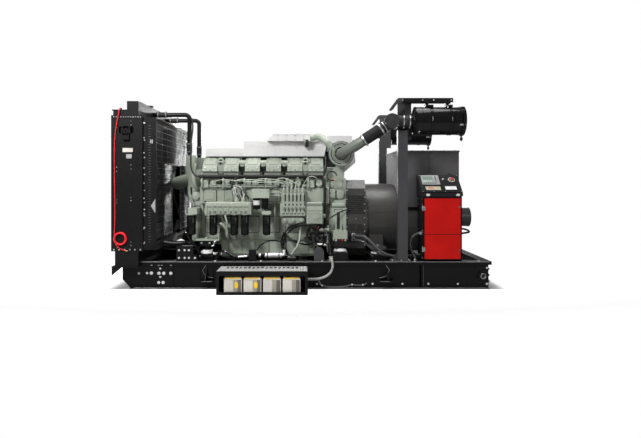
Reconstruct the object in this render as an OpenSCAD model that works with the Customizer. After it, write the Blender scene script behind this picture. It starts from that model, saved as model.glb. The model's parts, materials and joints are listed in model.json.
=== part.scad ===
// Open diesel generator set: V12 engine, radiator and alternator on one steel skid.
// X runs from the radiator (-) to the alternator (+), -Y is the control and battery side, Z is up.
// The origin lies on the floor under the middle cross member, on the centreline.

/* [Skid] */
// Where the rails start, measured from the origin
rail_x0 = -2364; // [-2450:1:-2300]
// Length of the skid rails
rail_l = 4795; // [4750:5:5000]
// Width over the rails' top flanges
skid_w = 2000; // [1960:10:2100]
// Height of the rails
rail_h = 358; // [340:1:380]
// Plate thickness of rails and cross members
plate_t = 10; // [8:1:14]
// Width of the rails' flanges
flange_w = 150; // [130:5:180]
// Set-back of the rail's web from the flange edge
web_inset = 35; // [28:1:50]
// Height of the lip that turns down from the top flange
lip_h = 45; // [35:1:60]
// How far the top flange runs past the rail at the alternator end
flange_tail = 31; // [20:1:40]
// Length of the cut-back under the rail's radiator end
chamfer_l = 110; // [60:5:160]
// Height of the cut-back under the rail's radiator end
chamfer_h = 120; // [60:5:160]
// Height of the plain cross members
cross_h = 300; // [240:5:310]
// Width of the plain cross members
cross_w = 120; // [80:5:160]
// Height of the wide cross members that carry the engine
bearer_h = 330; // [320:1:335]
// Width of the wide cross members that carry the engine
bearer_w = 250; // [220:5:270]
// Radius of the lashing eye's hole
eye_r = 28; // [20:1:35]
// Radius of the ring round the lashing eye
eye_ring_r = 68; // [50:1:75]
// Distance of the lashing eye from the rail's end
eye_in = 74; // [70:1:120]
// Height of the lashing eye above the floor
eye_z = 164; // [140:1:200]
// Distance of the front lifting lugs from the radiator end
lug_front_in = 1104; // [1090:1:1120]
// Distance of the rear lifting lugs from the alternator end
lug_rear_in = 1331; // [1300:1:1350]
// Distance of the rail's splice from the radiator end
splice_in = 404; // [380:1:430]
// Length of the splice plate
splice_l = 260; // [200:5:300]
// Distance of the rail's stiffener from the alternator end
stiffener_in = 885; // [870:1:900]
// Reach of the lifting lugs from the web
lug_reach = 130; // [90:5:160]
// Width of the lifting lugs
lug_w = 170; // [120:5:200]

/* [Radiator] */
// Width over the radiator's side panels
rad_w = 2200; // [2150:10:2260]
// Depth of the side panels
rad_d = 407; // [390:1:430]
// Height of the side panels
rad_h = 1752; // [1700:5:1800]
// Height of the stand under the radiator
rad_base_h = 145; // [120:1:170]
// Length of the stand under the radiator
stand_l = 300; // [280:5:320]
// Overhang of the radiator past the rails
rad_overhang = 106; // [90:1:115]
// Thickness of the shelf beside each rail
shelf_t = 12; // [8:1:16]
// Thickness of the side panels
panel_t = 6; // [4:1:8]
// Width of the side panels' turned edges
panel_edge = 44; // [30:1:60]
// Depth of the finned core
core_d = 270; // [200:5:320]
// Height of the top and the bottom tank
tank_h = 80; // [60:5:110]
// Depth of the expansion tank
exp_d = 148; // [120:1:180]
// Height of the expansion tank
exp_h = 182; // [150:1:220]
// Height of the filler header beside the expansion tank
header_h = 73; // [50:1:90]
// Depth of the fan shroud
shroud_d = 165; // [160:1:200]
// Radius of the fan's hub
hub_r = 150; // [120:1:165]
// Width of a fan blade
blade_w = 150; // [120:1:155]
// Tip radius of the fan
fan_r = 800; // [700:5:820]
// Gap between the fan's tips and the shroud ring
fan_tip_gap = 25; // [15:1:40]
// Number of fan blades
blade_n = 8; // [6:1:9]
// Height of the fan's axis
fan_z = 1380; // [1370:1:1390]
// Depth of the fan guard's bars
guard_t = 8; // [5:1:12]
// Height of a guard bar
guard_bar = 10; // [6:1:12]
// Spacing of the guard's horizontal bars
guard_pitch = 80; // [60:5:120]

/* [Engine] */
// Height of the crankshaft
crank_z = 880; // [875:1:900]
// Length of the cylinder block
block_l = 1780; // [1775:1:1800]
// Where the cylinder block starts, measured from the origin
block_x0 = -1420; // [-1422:1:-1418]
// Spacing of the cylinders
cyl_pitch = 292; // [285:1:295]
// Cylinders in each bank
bank_n = 6; // [4:1:6]
// Lean of each bank from the vertical
bank_lean = 30; // [29:1:31]
// Distance of the head's joint face from the crankshaft
deck_r = 660; // [650:1:670]
// Height of a cylinder head
head_h = 140; // [120:1:150]
// Length of a cylinder head
head_l = 262; // [240:1:275]
// Width of a cylinder head
head_w = 400; // [380:1:410]
// Height of a rocker cover
cover_h = 130; // [110:1:150]
// Length of a rocker cover
cover_l = 202; // [180:1:230]
// Half width of the crankcase below its ledge
case_hw = 460; // [440:1:480]
// Half width of the crankcase above its ledge
ledge_hw = 560; // [540:1:580]
// Height of the joint between crankcase and oil pan
sump_z = 620; // [600:1:640]
// Clear height of the oil pan above the floor
pan_z = 345; // [340:1:360]
// Length of the oil pan
pan_l = 1320; // [1200:10:1400]
// Thickness of the front gear case
gear_l = 130; // [110:1:150]
// Length of the flywheel housing
fly_l = 240; // [220:1:260]
// Radius of the flywheel housing
fly_r = 530; // [520:1:535]
// Radius of an oil filter
oil_filter_r = 48; // [40:1:52]
// Length of an oil filter
oil_filter_l = 280; // [240:1:300]
// Outer radius of the coolant pipes
coolant_r = 31; // [26:1:36]
// Distance of the coolant pipes from the centreline
coolant_y = 375; // [350:1:395]
// Radius of a turbocharger's compressor
turbo_r = 166; // [140:1:175]
// Distance of the compressor's inlet face from the centreline
turbo_face = 690; // [670:1:710]
// Width of a rubber mount
mount_w = 200; // [160:5:210]
// Length of a front mount bracket
bracket_l = 320; // [300:5:330]
// Thickness of the crankcase side covers
side_cover_t = 6; // [4:1:8]
// Radius of a starter motor
starter_r = 60; // [50:1:62]
// Length of a starter motor
starter_l = 230; // [200:5:240]
// Radius of a starter's solenoid
solenoid_r = 28; // [20:1:30]
// Radius of a fuel filter
fuel_filter_r = 46; // [40:1:48]
// Length of a fuel filter
fuel_filter_l = 150; // [120:1:160]
// Length of the injection pump
pump_l = 350; // [330:5:356]
// Length of the speed governor
governor_l = 216; // [180:1:220]
// Radius of the oil pipes
oil_pipe_r = 17; // [12:1:19]
// Radius of the heater pipe
heater_pipe_r = 20; // [14:1:24]

/* [Alternator] */
// Length of the vented housing next to the flywheel
vent_l = 270; // [240:1:300]
// Half width of the vented housing
vent_hw = 500; // [480:1:520]
// Radius of the alternator's body
alt_r = 490; // [470:1:500]
// Length of the alternator's body
alt_l = 880; // [850:5:900]
// Length of the alternator's rear bracket
rear_l = 450; // [400:5:480]
// Radius of the exciter cover
exciter_r = 136; // [120:1:160]
// Length of the exciter cover
exciter_l = 250; // [200:5:255]
// Thickness of the alternator's feet
alt_foot_t = 40; // [25:1:50]
// Radius of the power cable
cable_r = 18; // [12:1:20]
// Radius of the control cable
control_cable_r = 14; // [8:1:16]
// Length of the terminal box
term_l = 843; // [800:1:860]
// Width of the terminal box
term_w = 1100; // [1060:10:1160]
// Height of the terminal box's top
term_top = 1831; // [1780:1:1860]

/* [Air intake] */
// Distance of the air filters from the centreline
filter_y = 990; // [970:1:1000]
// Height of the air filters' axis
filter_z = 2190; // [2180:1:2200]
// Radius of an air filter
filter_r = 173; // [150:1:178]
// Length of an air filter
filter_l = 642; // [600:1:680]
// Radius of an air filter's neck
neck_r = 75; // [60:1:85]
// Width of a filter post along the skid
post_w = 129; // [110:1:140]
// Height of a filter post above the rails
post_h = 1712; // [1700:1:1720]
// Depth of a filter post across the skid
post_d = 110; // [90:1:120]
// Thickness of the filter frame's plates
frame_t = 8; // [6:1:10]
// Length of the beam over an air filter
beam_l = 716; // [690:1:740]

/* [Controls] */
// How far the cabinet starts before the alternator housing's end
cab_in = 185; // [175:1:195]
// Width of the control cabinet
cab_w = 508; // [480:1:530]
// Depth of the control cabinet
cab_d = 350; // [300:5:400]
// Height of the control cabinet
cab_h = 852; // [800:1:880]
// Sheet thickness of cabinet and console
sheet_t = 4; // [3:1:6]
// Thickness of the cabinet door
door_t = 22; // [16:1:30]
// Gap between the moving panels and what they close
door_gap = 5; // [5:0.5:8]
// Angle of the console's face from level
console_slope = 39; // [36:1:42]

/* [Battery bay] */
// Where the battery box starts, measured from the origin
bat_x0 = -1070; // [-1100:5:-1000]
// Length of the battery box
bat_box_l = 1130; // [1100:5:1200]
// Depth of the battery box beyond the rail
bat_box_d = 420; // [400:5:440]
// Height of the battery box
bat_box_h = 294; // [280:1:305]
// Thickness of the battery box's plates
bat_t = 4; // [3:1:6]
// Gap between two batteries
bat_gap = 24; // [15:1:40]
// Clear length left at each end of the battery box
bat_end = 81; // [60:1:90]
// Number of batteries
bat_n = 4; // [1:1:4]
// Height of a battery
bat_h = 195; // [180:1:215]
// Radius of the battery cable's conduit
conduit_r = 16; // [12:1:20]

/* [Hidden] */
$fn = 64;

// Running gap between faces that turn or slide past each other
run_gap = 0.3;
// Gap at joints on a slope or a curve
seat = 0.05;
// Radial clearance of a hinge pin in its barrel
pin_gap = 0.1;
// Half width of a rocker cover's flat top on the inner side
cover_flat = 140;
eps = 1;
rail_x1 = rail_x0 + rail_l;
rail_out = skid_w / 2;
web_out = rail_out - web_inset;
web_in = web_out - plate_t;
flange_in = rail_out - flange_w;
foot_out = rail_out + plate_t;
foot_in = foot_out - flange_w;

rad_x0 = rail_x0 - rad_overhang;
rad_x1 = rad_x0 + rad_d;
rad_z0 = rail_h + rad_base_h;
rad_z1 = rad_z0 + rad_h;
rad_out = rad_w / 2;
rad_in = rad_out - panel_t;
stand_x0 = rad_x0 + 50;
stand_x1 = stand_x0 + stand_l;
stand_out = rail_out + 3;
shelf_z1 = rail_h - lip_h - 3;
shroud_x1 = rad_x1 + shroud_d;
shroud_hw = rad_out - 20;
shroud_z0 = rad_z0 + 14;
shroud_z1 = rad_z1 - 24;
guard_x1 = shroud_x1 + guard_t;
core_x0 = rad_x0 + 70;
core_x1 = core_x0 + core_d;
tank_x0 = rad_x0 + 30;
tank_x1 = rad_x1 - 32;
exp_x1 = rad_x1 - 54;
exp_x0 = exp_x1 - exp_d;
slot_y = [-200, 370];
slot_z = [660, 1640];

block_x1 = block_x0 + block_l;
cyl_x0 = block_x0 + 138;
gear_x0 = block_x0 - gear_l;
ledge_z = crank_z + 220;
ledge_top = crank_z + 430;
riser_hw = 140;
fly_x1 = block_x1 + fly_l;
fly_pad_z = crank_z + fly_r + 40;
cone_x0 = gear_x0 - 390;
fly_pad_hw = 520;
bracket_t = 25;

// A point of a bank: distance along its axis, and across it, as distance from the centreline
// and height
function bank(al, pe) = [
  al * sin(bank_lean) + pe * cos(bank_lean),
  crank_z + al * cos(bank_lean) - pe * sin(bank_lean)
];
head_top = deck_r + head_h;
cover_top = head_top + seat + cover_h;
// The heat shields rest on the riser, just clear of the rocker covers' upper corners
riser_z = ceil(bank(cover_top, -cover_flat)[1]) + 1;
shield_low_z = riser_z + 110;
shield_z = riser_z + 210;
cooler_z = shield_z + 98;

vent_x1 = fly_x1 + vent_l;
alt_x0 = vent_x1;
alt_x1 = alt_x0 + alt_l;
rear_x1 = alt_x1 + rear_l;
exciter_x1 = rear_x1 + exciter_l;
term_x0 = alt_x0 + 444;

mount_y = 620;
mount_top = 600;
front_mount_x = block_x0 + 100;
rear_mount_x = block_x1 + 150;
alt_mount_x = alt_x0 + 152;
alt_foot_z = 480;
// Inner edge of the feet, just outside the housing at the height of their tops
alt_foot_in = ceil(sqrt(pow(alt_r, 2) - pow(crank_z - alt_foot_z - alt_foot_t, 2))) + 7;
mount_out = mount_y + mount_w / 2;
turbo_x = block_x1 + 160;
turbo_z = 1780;

cab_x0 = alt_x1 - cab_in;
cab_x1 = cab_x0 + cab_w;
cab_front = -rail_out;
cab_back = cab_front + cab_d;
cab_top = rail_h + cab_h;
post_x0 = cab_x0 - 324;
post_out = rail_out - 10;
post_in = post_out - post_d;
post_foot = rail_h + 12;
post_top = rail_h + post_h;
beam_z0 = filter_z + 243;
elbow_x = post_x0 - 87;
filter_x0 = elbow_x + 293;
filter_x1 = filter_x0 + filter_l;

bat_front = -(rail_out + bat_box_d);
bat_pitch = (bat_box_l - 2 * bat_end) / bat_n;
bat_w = bat_pitch - bat_gap;

// Angles used for hulls and sweeps
tube_n = 16;

// ---- General shapes ----

module block(lo, hi) translate(lo) cube(hi - lo);

module both_sides() {
  children();
  mirror([0, 1, 0]) children();
}

// A disc or rod along X, from x0 to x1
module rod_x(r, x0, x1, y = 0, z = 0) {
  translate([x0, y, z]) rotate([0, 90, 0]) cylinder(r = r, h = x1 - x0);
}

// A disc or rod along Y, from y0 to y1
module rod_y(r, y0, y1, x = 0, z = 0) {
  translate([x, y1, z]) rotate([90, 0, 0]) cylinder(r = r, h = y1 - y0);
}

// An outline in Y and Z, drawn out along X
module along_x(x0, x1) {
  translate([x0, 0, 0]) rotate([90, 0, 90]) linear_extrude(x1 - x0) children();
}

// An outline in X and Z, drawn out along Y
module along_y(y0, y1) {
  translate([0, y1, 0]) rotate([90, 0, 0]) linear_extrude(y1 - y0) children();
}

function unit(v) = v / norm(v);

// Points of a smooth curve through p, k steps a span
function curve_point(a, b, c, d, t) =
  0.5 * ((2 * b) + (c - a) * t + (2 * a - 5 * b + 4 * c - d) * t * t
    + (3 * b - a - 3 * c + d) * t * t * t);
function smooth(p, k) = let (n = len(p) - 1) concat(
  [for (i = [0 : n - 1]) for (j = [0 : k - 1])
    curve_point(p[max(i - 1, 0)], p[i], p[i + 1], p[min(i + 2, n)], j / k)],
  [p[n]]);
function tangents(p) = let (n = len(p) - 1) [for (i = [0 : n])
  unit(p[min(i + 1, n)] - p[max(i - 1, 0)])];

// A tube swept along the points p with tangents t; up is never parallel to the route
module sweep(p, t, r, up, sides = tube_n) {
  n = len(p);
  pts = [for (i = [0 : n - 1])
    let (a = unit(cross(t[i], up)), b = cross(t[i], a))
    for (j = [0 : sides - 1]) let (w = 360 * j / sides) p[i] + r * (cos(w) * a + sin(w) * b)];
  walls = [for (i = [0 : n - 2]) for (j = [0 : sides - 1]) let (k = (j + 1) % sides)
    [i * sides + j, (i + 1) * sides + j, (i + 1) * sides + k, i * sides + k]];
  start = [[for (j = [0 : sides - 1]) j]];
  finish = [[for (j = [sides - 1 : -1 : 0]) (n - 1) * sides + j]];
  polyhedron(pts, concat(start, walls, finish));
}

// ---- Skid ----

module rail() {
  difference() {
    union() {
      along_x(rail_x0, rail_x1) mirror([1, 0]) polygon([
        [foot_in, 0], [foot_out, 0], [foot_out, plate_t], [web_out, plate_t],
        [web_out, rail_h - plate_t], [rail_out - plate_t, rail_h - plate_t],
        [rail_out - plate_t, rail_h - lip_h], [rail_out, rail_h - lip_h],
        [rail_out, rail_h], [flange_in, rail_h], [flange_in, rail_h - plate_t],
        [web_in, rail_h - plate_t], [web_in, plate_t], [foot_in, plate_t]
      ]);
      block([rail_x1 - eps, -rail_out, rail_h - plate_t], [rail_x1 + flange_tail, -flange_in, rail_h]);
      block([rail_x1 - eps, -rail_out, rail_h - lip_h],
        [rail_x1 + flange_tail, -rail_out + plate_t, rail_h]);
      // Splice plate and stiffener
      block([rail_x0 + splice_in, -web_out - plate_t, 30],
        [rail_x0 + splice_in + splice_l, -web_out + eps, rail_h - lip_h - 10]);
      block([rail_x1 - stiffener_in, -rail_out + plate_t, plate_t],
        [rail_x1 - stiffener_in + 12, -web_out + eps, rail_h - plate_t]);
      rod_y(eye_ring_r, -web_out - 2 * plate_t, -web_out + eps, rail_x1 - eye_in, eye_z);
    }
    along_y(-foot_out - eps, -foot_in + eps) polygon([
      [rail_x0 - eps, -eps], [rail_x0 - eps, chamfer_h], [rail_x0, chamfer_h],
      [rail_x0 + chamfer_l, 0], [rail_x0 + chamfer_l, -eps]
    ]);
    rod_y(eye_r, -foot_out - eps, -web_in + eps, rail_x1 - eye_in, eye_z);
  }
}

module skid_rails() { color("#1c1a1a") both_sides() rail(); }

// An I-beam across the skid
module cross_beam(x, w, h) {
  block([x - w / 2, -foot_in, 0], [x + w / 2, foot_in, plate_t]);
  block([x - plate_t / 2, -web_in, plate_t], [x + plate_t / 2, web_in, h]);
  block([x - w / 2, -web_in, h - plate_t], [x + w / 2, web_in, h]);
}

module skid_cross_members() {
  color("#1c1a1a") {
    for (x = [rail_x0 + 174, 0, rail_x1 - 631]) cross_beam(x, cross_w, cross_h);
    for (x = [front_mount_x, rear_mount_x, alt_mount_x]) cross_beam(x, bearer_w, bearer_h);
    // End beam
    block([rail_x1 - plate_t, -web_in, plate_t], [rail_x1, web_in, rail_h - plate_t]);
    block([rail_x1 - 100, -foot_in, 0], [rail_x1, foot_in, plate_t]);
    block([rail_x1 - 100, -flange_in, rail_h - plate_t], [rail_x1 + flange_tail, flange_in, rail_h]);
  }
}

module lifting_lug(x) {
  block([x - lug_w / 2, -web_out - lug_reach, 100], [x + lug_w / 2, -web_out, 112]);
  along_x(x - 6, x + 6) mirror([1, 0]) polygon([
    [web_out, 112], [web_out + lug_reach, 112], [web_out + lug_reach, 125],
    [web_out, rail_h - lip_h - 8]
  ]);
}

module lifting_lugs() {
  color("#1c1a1a") both_sides() {
    lifting_lug(rail_x0 + lug_front_in);
    lifting_lug(rail_x1 - lug_rear_in);
  }
}

module radiator_shelves() {
  color("#1c1a1a") both_sides() {
    block([stand_x0 - 40, -rad_out - 20, shelf_z1 - shelf_t], [stand_x1, -web_out, shelf_z1]);
    along_y(-rad_out - 10, -rad_out) polygon([
      [stand_x0 - 40, shelf_z1 - 120], [stand_x0 - 40, shelf_z1 - shelf_t],
      [stand_x0 + 90, shelf_z1 - shelf_t]
    ]);
  }
}

// ---- Battery bay ----

module battery_box() {
  color("#1a1a1a") difference() {
    block([bat_x0, bat_front, 0], [bat_x0 + bat_box_l, -foot_out, bat_box_h]);
    block([bat_x0 + bat_t, bat_front + bat_t, bat_t],
      [bat_x0 + bat_box_l - bat_t, -foot_out - bat_t, bat_box_h - bat_t]);
    block([bat_x0 + 35, bat_front - eps, 40], [bat_x0 + bat_box_l - 35, bat_front + 10, 237]);
  }
}

module battery(x) {
  block([x, bat_front + 30, bat_t], [x + bat_w, bat_front + 340, bat_t + bat_h]);
  block([x + 10, bat_front + 40, bat_t + bat_h - eps], [x + bat_w - 10, bat_front + 330, bat_t + bat_h + 20]);
}

module batteries() {
  color("#cdc8c0") for (i = [0 : bat_n - 1])
    battery(bat_x0 + bat_end + bat_gap / 2 + i * bat_pitch);
}

conduit_x = block_x1 + 4;
conduit_route = [
  [conduit_x, -rail_out + 10, rail_h + 42], [conduit_x, -rail_out, rail_h + 42],
  [conduit_x, -rail_out - 10, rail_h + 42], [conduit_x + 12, -rail_out - 42, rail_h + 12],
  [conduit_x + 20, -rail_out - 50, rail_h - 50], [conduit_x - 5, -rail_out - 60, rail_h - 130],
  [conduit_x - 80, -rail_out - 90, rail_h - 185], [conduit_x - 180, -rail_out - 120, rail_h - 208],
  [bat_x0 + bat_box_l + 30, -rail_out - 125, rail_h - 210],
  [bat_x0 + bat_box_l + 15, -rail_out - 125, rail_h - 210],
  [bat_x0 + bat_box_l + seat, -rail_out - 125, rail_h - 210]
];

// The battery cable's conduit, from its clamp on the rail into the battery box
module battery_conduit() {
  p = smooth(conduit_route, 3);
  color("#969694") {
    sweep(p, tangents(p), conduit_r, [0.3, 0.2, 1], 12);
    block([conduit_x - 24, -rail_out + 9, rail_h], [conduit_x + 24, -rail_out + 50, rail_h + 62]);
  }
}

// ---- Radiator ----

module radiator_stand() {
  color("#2c2b2b") {
    along_y(-stand_out, stand_out) polygon([
      [stand_x0, rail_h], [stand_x1, rail_h], [stand_x1, rad_z0], [stand_x1 - plate_t, rad_z0],
      [stand_x1 - plate_t, rail_h + plate_t], [stand_x0 + plate_t, rail_h + plate_t],
      [stand_x0 + plate_t, rad_z0], [stand_x0, rad_z0]
    ]);
    // Feet that reach down outside the rails to the shelves
    both_sides() {
      block([stand_x0, -rad_out, shelf_z1], [stand_x1, -rad_out + 8, rad_z0]);
      for (x = [stand_x0, stand_x1 - 8])
        block([x, -rad_out, shelf_z1], [x + 8, -stand_out + eps, rad_z0]);
    }
  }
}

module radiator_core() {
  color("#202020") block([core_x0, -rad_in, rad_z0 + tank_h], [core_x1, rad_in, rad_z1 - tank_h]);
}

// Hose port on a side panel: a cheeked ring over a small block
port = [rad_x0 + 193, rad_z1 - 205];

module radiator_side_panels() {
  color("#2c2b2b") both_sides() {
    block([rad_x0, -rad_out, rad_z0], [rad_x1, -rad_in, rad_z1]);
    block([rad_x0, -rad_out, rad_z0], [rad_x0 + panel_t, -rad_in + panel_edge, rad_z1]);
    block([rad_x1 - panel_t, -rad_out, rad_z0], [rad_x1, -rad_in + panel_edge, rad_z1]);
    difference() {
      union() {
        rod_y(34, -rad_out - 22, -rad_out + eps, port[0], port[1]);
        for (dx = [-58, 38]) block([port[0] + dx, -rad_out - 22, port[1] - 32],
          [port[0] + dx + 20, -rad_out + eps, port[1] + 42]);
      }
      rod_y(14, -rad_out - 23, -rad_out, port[0], port[1]);
    }
    block([port[0] - 30, -rad_out - 18, port[1] - 110], [port[0] + 40, -rad_out + eps, port[1] - 52]);
  }
}

module radiator_tanks() {
  color("#2c2b2b") {
    block([tank_x0, -rad_in, rad_z0], [tank_x1, rad_in, rad_z0 + tank_h]);
    block([tank_x0, -rad_in, rad_z1 - tank_h], [tank_x1, rad_in, rad_z1]);
    block([rad_x0 + 25, -rad_in, rad_z1 - eps], [exp_x0, rad_in, rad_z1 + header_h - 13]);
    block([rad_x0 + 12, -rad_out, rad_z1 + header_h - 13], [exp_x0, rad_out, rad_z1 + header_h]);
    block([exp_x0 - eps, -rad_out, rad_z1], [exp_x1, rad_out, rad_z1 + exp_h]);
    // Vent nipple that the red hose is pushed onto
    block([nipple[0] - 10, nipple[1] + 10, rad_z1 + header_h - eps],
      [nipple[0] + 10, nipple[1] + 30, nipple[2] + 8]);
    rod_y(hose_r + 2, nipple[1], nipple[1] + 11, nipple[0], nipple[2]);
  }
}

module fan_shroud() {
  color("#262626") difference() {
    block([rad_x1, -shroud_hw, shroud_z0], [shroud_x1, shroud_hw, shroud_z1]);
    block([rad_x1 - eps, -shroud_hw + 5, shroud_z0 + 5], [rad_x1 + 60, shroud_hw - 5, shroud_z1 - 5]);
    block([rad_x1 + 65, -shroud_hw + 5, shroud_z0 + 5], [shroud_x1 + eps, shroud_hw - 5, shroud_z1 - 5]);
    rod_x(fan_r + fan_tip_gap, rad_x1, shroud_x1, 0, fan_z);
  }
}

// The guard's bars run across the shroud's mouth and stop at the slot for the fan's bearing.
// They lie on the shroud, and the uprights lie on them.
module fan_guard() {
  rows = round((shroud_z1 - shroud_z0) / guard_pitch);
  step = (shroud_z1 - shroud_z0 - guard_bar) / rows;
  color("#3a3a3c") for (i = [0 : rows]) let (z = shroud_z0 + i * step) {
    crosses_slot = z + guard_bar > slot_z[0] && z < slot_z[1];
    spans = crosses_slot ? [[-shroud_hw, slot_y[0]], [slot_y[1], shroud_hw]] : [[-shroud_hw, shroud_hw]];
    for (span = spans)
      block([shroud_x1, span[0], z], [shroud_x1 + guard_t / 2, span[1], z + guard_bar]);
  }
}

module guard_uprights() {
  slot_w = slot_y[1] - slot_y[0];
  left = [for (i = [0 : 3]) -shroud_hw + i * (slot_y[0] + shroud_hw - guard_bar) / 3];
  right = [for (i = [0 : 2]) slot_y[1] + i * (shroud_hw - slot_y[1] - guard_bar) / 2];
  color("#3a3a3c") {
    for (y = concat(left, right))
      block([shroud_x1 + guard_t / 2, y, shroud_z0], [guard_x1, y + guard_bar, shroud_z1]);
    for (z = [[shroud_z0, slot_z[0] - guard_pitch], [slot_z[1] + guard_pitch, shroud_z1]])
      block([shroud_x1 + guard_t / 2, slot_y[0] + slot_w / 2, z[0]],
        [guard_x1, slot_y[0] + slot_w / 2 + guard_bar, z[1]]);
  }
}

module fan_hub() {
  hub_x1 = cone_x0 - run_gap;
  color("#222222") {
    rod_x(hub_r, hub_x1 - 130, hub_x1 - 10, 0, fan_z);
    rod_x(60, hub_x1 - 11, hub_x1, 0, fan_z);
  }
}

// Each blade's root lies on the hub
module fan_blades() {
  color("#222222") for (i = [0 : blade_n - 1])
    translate([cone_x0 - run_gap - 60, 0, fan_z]) rotate([i * 360 / blade_n, 0, 0])
      rotate([0, 0, 28])
        block([-blade_w / 2, -3, hub_r + seat], [blade_w / 2, 3, fan_r - 8]);
}

module fan_drive() {
  color("#9aa397") {
    translate([cone_x0, 0, fan_z]) rotate([0, 90, 0]) cylinder(r1 = 70, r2 = 180, h = 360);
    rod_x(190, gear_x0 - 30, gear_x0, 0, fan_z);
    // Crankshaft pulley
    rod_x(170, gear_x0 - 80, gear_x0 - 20, 0, crank_z);
    rod_x(90, gear_x0 - 21, gear_x0, 0, crank_z);
  }
}

// ---- Engine ----

module side_cover(i) {
  x = cyl_x0 + i * cyl_pitch;
  block([x - 95, -ledge_hw - side_cover_t, ledge_z + 20],
    [x + 95, -ledge_hw + eps, ledge_top - 20]);
}

module engine_block() {
  inner = bank(deck_r, -head_w / 2);
  outer = bank(deck_r, head_w / 2);
  half = [
    [0, sump_z], [case_hw, sump_z], [case_hw, ledge_z], [ledge_hw, ledge_z],
    [ledge_hw, ledge_top], outer, inner, [0, inner[1] - 60]
  ];
  color("#a0a89a") {
    along_x(block_x0, block_x1) {
      polygon(half);
      mirror([1, 0]) polygon(half);
    }
    block([block_x0 + 40, -riser_hw, ledge_top], [block_x1 - 20, riser_hw, riser_z]);
    for (i = [0 : bank_n - 3]) side_cover(i);
    mirror([0, 1, 0]) for (i = [0 : bank_n - 1]) side_cover(i);
  }
}

module oil_pan() {
  x0 = block_x0 + 270;
  color("#a0a89a") along_x(x0, x0 + pan_l) polygon([
    [-case_hw + 20, sump_z], [-case_hw + 20, sump_z - 24], [-case_hw + 40, sump_z - 24],
    [-case_hw + 90, pan_z + 40], [-case_hw + 130, pan_z], [case_hw - 130, pan_z],
    [case_hw - 90, pan_z + 40], [case_hw - 40, sump_z - 24], [case_hw - 20, sump_z - 24],
    [case_hw - 20, sump_z]
  ]);
}

module front_gear_case() {
  color("#a0a89a") {
    block([gear_x0, -case_hw, crank_z - 300], [block_x0, case_hw, crank_z + 440]);
    rod_x(205, gear_x0, block_x0, 0, fan_z);
  }
}

module flywheel_housing() {
  color("#a0a89a") {
    rod_x(fly_r, block_x1, fly_x1, 0, crank_z);
    block([block_x1, -450, crank_z], [fly_x1, 450, fly_pad_z]);
    block([block_x1, -fly_pad_hw, mount_top], [fly_x1, fly_pad_hw, mount_top + 130]);
  }
}

// Places children at every cylinder of both banks, across the bank's axis
module at_cylinders(n = bank_n) {
  both_sides() for (i = [0 : n - 1])
    translate([cyl_x0 + i * cyl_pitch, 0, crank_z]) rotate([bank_lean, 0, 0]) children();
}

module cylinder_heads() {
  color("#a0a89a") at_cylinders()
    block([-head_l / 2, -head_w / 2, deck_r + seat], [head_l / 2, head_w / 2, deck_r + head_h]);
}

// Rocker covers, with lifting eyes between the first and the last pair
module rocker_covers() {
  base = head_top + seat;
  color("#a8b0a2") {
    at_cylinders() along_x(-cover_l / 2, cover_l / 2) polygon([
      [-200, base], [190, base], [190, base + 25], [170, base + 25], [170, cover_top - 40],
      [cover_flat, cover_top], [-cover_flat + 10, cover_top], [-185, cover_top - 55],
      [-185, base + 25], [-200, base + 25]
    ]);
    both_sides() for (i = [0.5, bank_n - 1.5])
      translate([cyl_x0 + i * cyl_pitch, 0, crank_z]) rotate([bank_lean, 0, 0]) {
        block([-38, -60, base], [38, 100, base + 70]);
        rod_y(38, -60, 100, 0, base + 70);
      }
  }
}

// Shields over the exhaust manifolds, with the charge air cooler's cover on top
module heat_shields() {
  x1 = block_x0 + 590;
  cooler_x0 = block_x0 + 920;
  color("#dedddd") {
    block([block_x0 + 50, -400, riser_z], [x1 + eps, 400, shield_low_z]);
    along_y(-400, 400) polygon([
      [x1, riser_z], [block_x1 - 60, riser_z], [block_x1 - 20, shield_z], [x1, shield_z]
    ]);
    along_y(-500, 500) polygon([
      [cooler_x0, shield_z], [charge_x0, shield_z], [charge_x0, cooler_z],
      [cooler_x0 + 90, cooler_z]
    ]);
    along_y(-290, 290) polygon([
      [block_x1 - 19, riser_z], [block_x1 + 180, riser_z - 60], [block_x1 + 230, riser_z - 60],
      [block_x1 + 340, riser_z + 130], [block_x1 + 340, cooler_z - 10], [block_x1 - 19, cooler_z - 10]
    ]);
  }
}

// Where a charge pipe leaves the cooler and where it meets the compressor's outlet
charge_x0 = block_x0 + 1520;
charge_z0 = shield_z + 49;
outlet_tilt = 140;
outlet_dir = [sin(outlet_tilt), 0, cos(outlet_tilt)];
outlet = [turbo_x - 150, -turbo_face + 65, turbo_z + 115];
charge_route = [
  [charge_x0 + run_gap, -450, charge_z0], [charge_x0 + 25, -450, charge_z0],
  [charge_x0 + 50, -450, charge_z0], [charge_x0 + 100, -478, charge_z0 + 12],
  [charge_x0 + 155, -530, charge_z0 - 8], [charge_x0 + 200, -585, charge_z0 - 45],
  outlet - 60 * outlet_dir, outlet - 30 * outlet_dir, outlet - seat * outlet_dir
];

module charge_pipes() {
  p = smooth(charge_route, 4);
  color("#a0a89a") both_sides() sweep(p, tangents(p), 45, [0, 0, 1]);
}

module turbochargers() {
  color("#8b9286") both_sides() {
    rod_y(turbo_r, -turbo_face + 22, -turbo_face + 112, turbo_x, turbo_z);
    rod_y(112, -turbo_face, -turbo_face + 23, turbo_x, turbo_z);
    rod_y(90, -turbo_face + 111, -430, turbo_x, turbo_z);
    rod_y(125, -431, -290 - run_gap, turbo_x, turbo_z);
    block([turbo_x - 60, -430, fly_pad_z], [turbo_x + 60, -330, turbo_z - 50]);
    translate(outlet) rotate([0, outlet_tilt, 0]) cylinder(r = 50, h = 120);
  }
}

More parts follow.
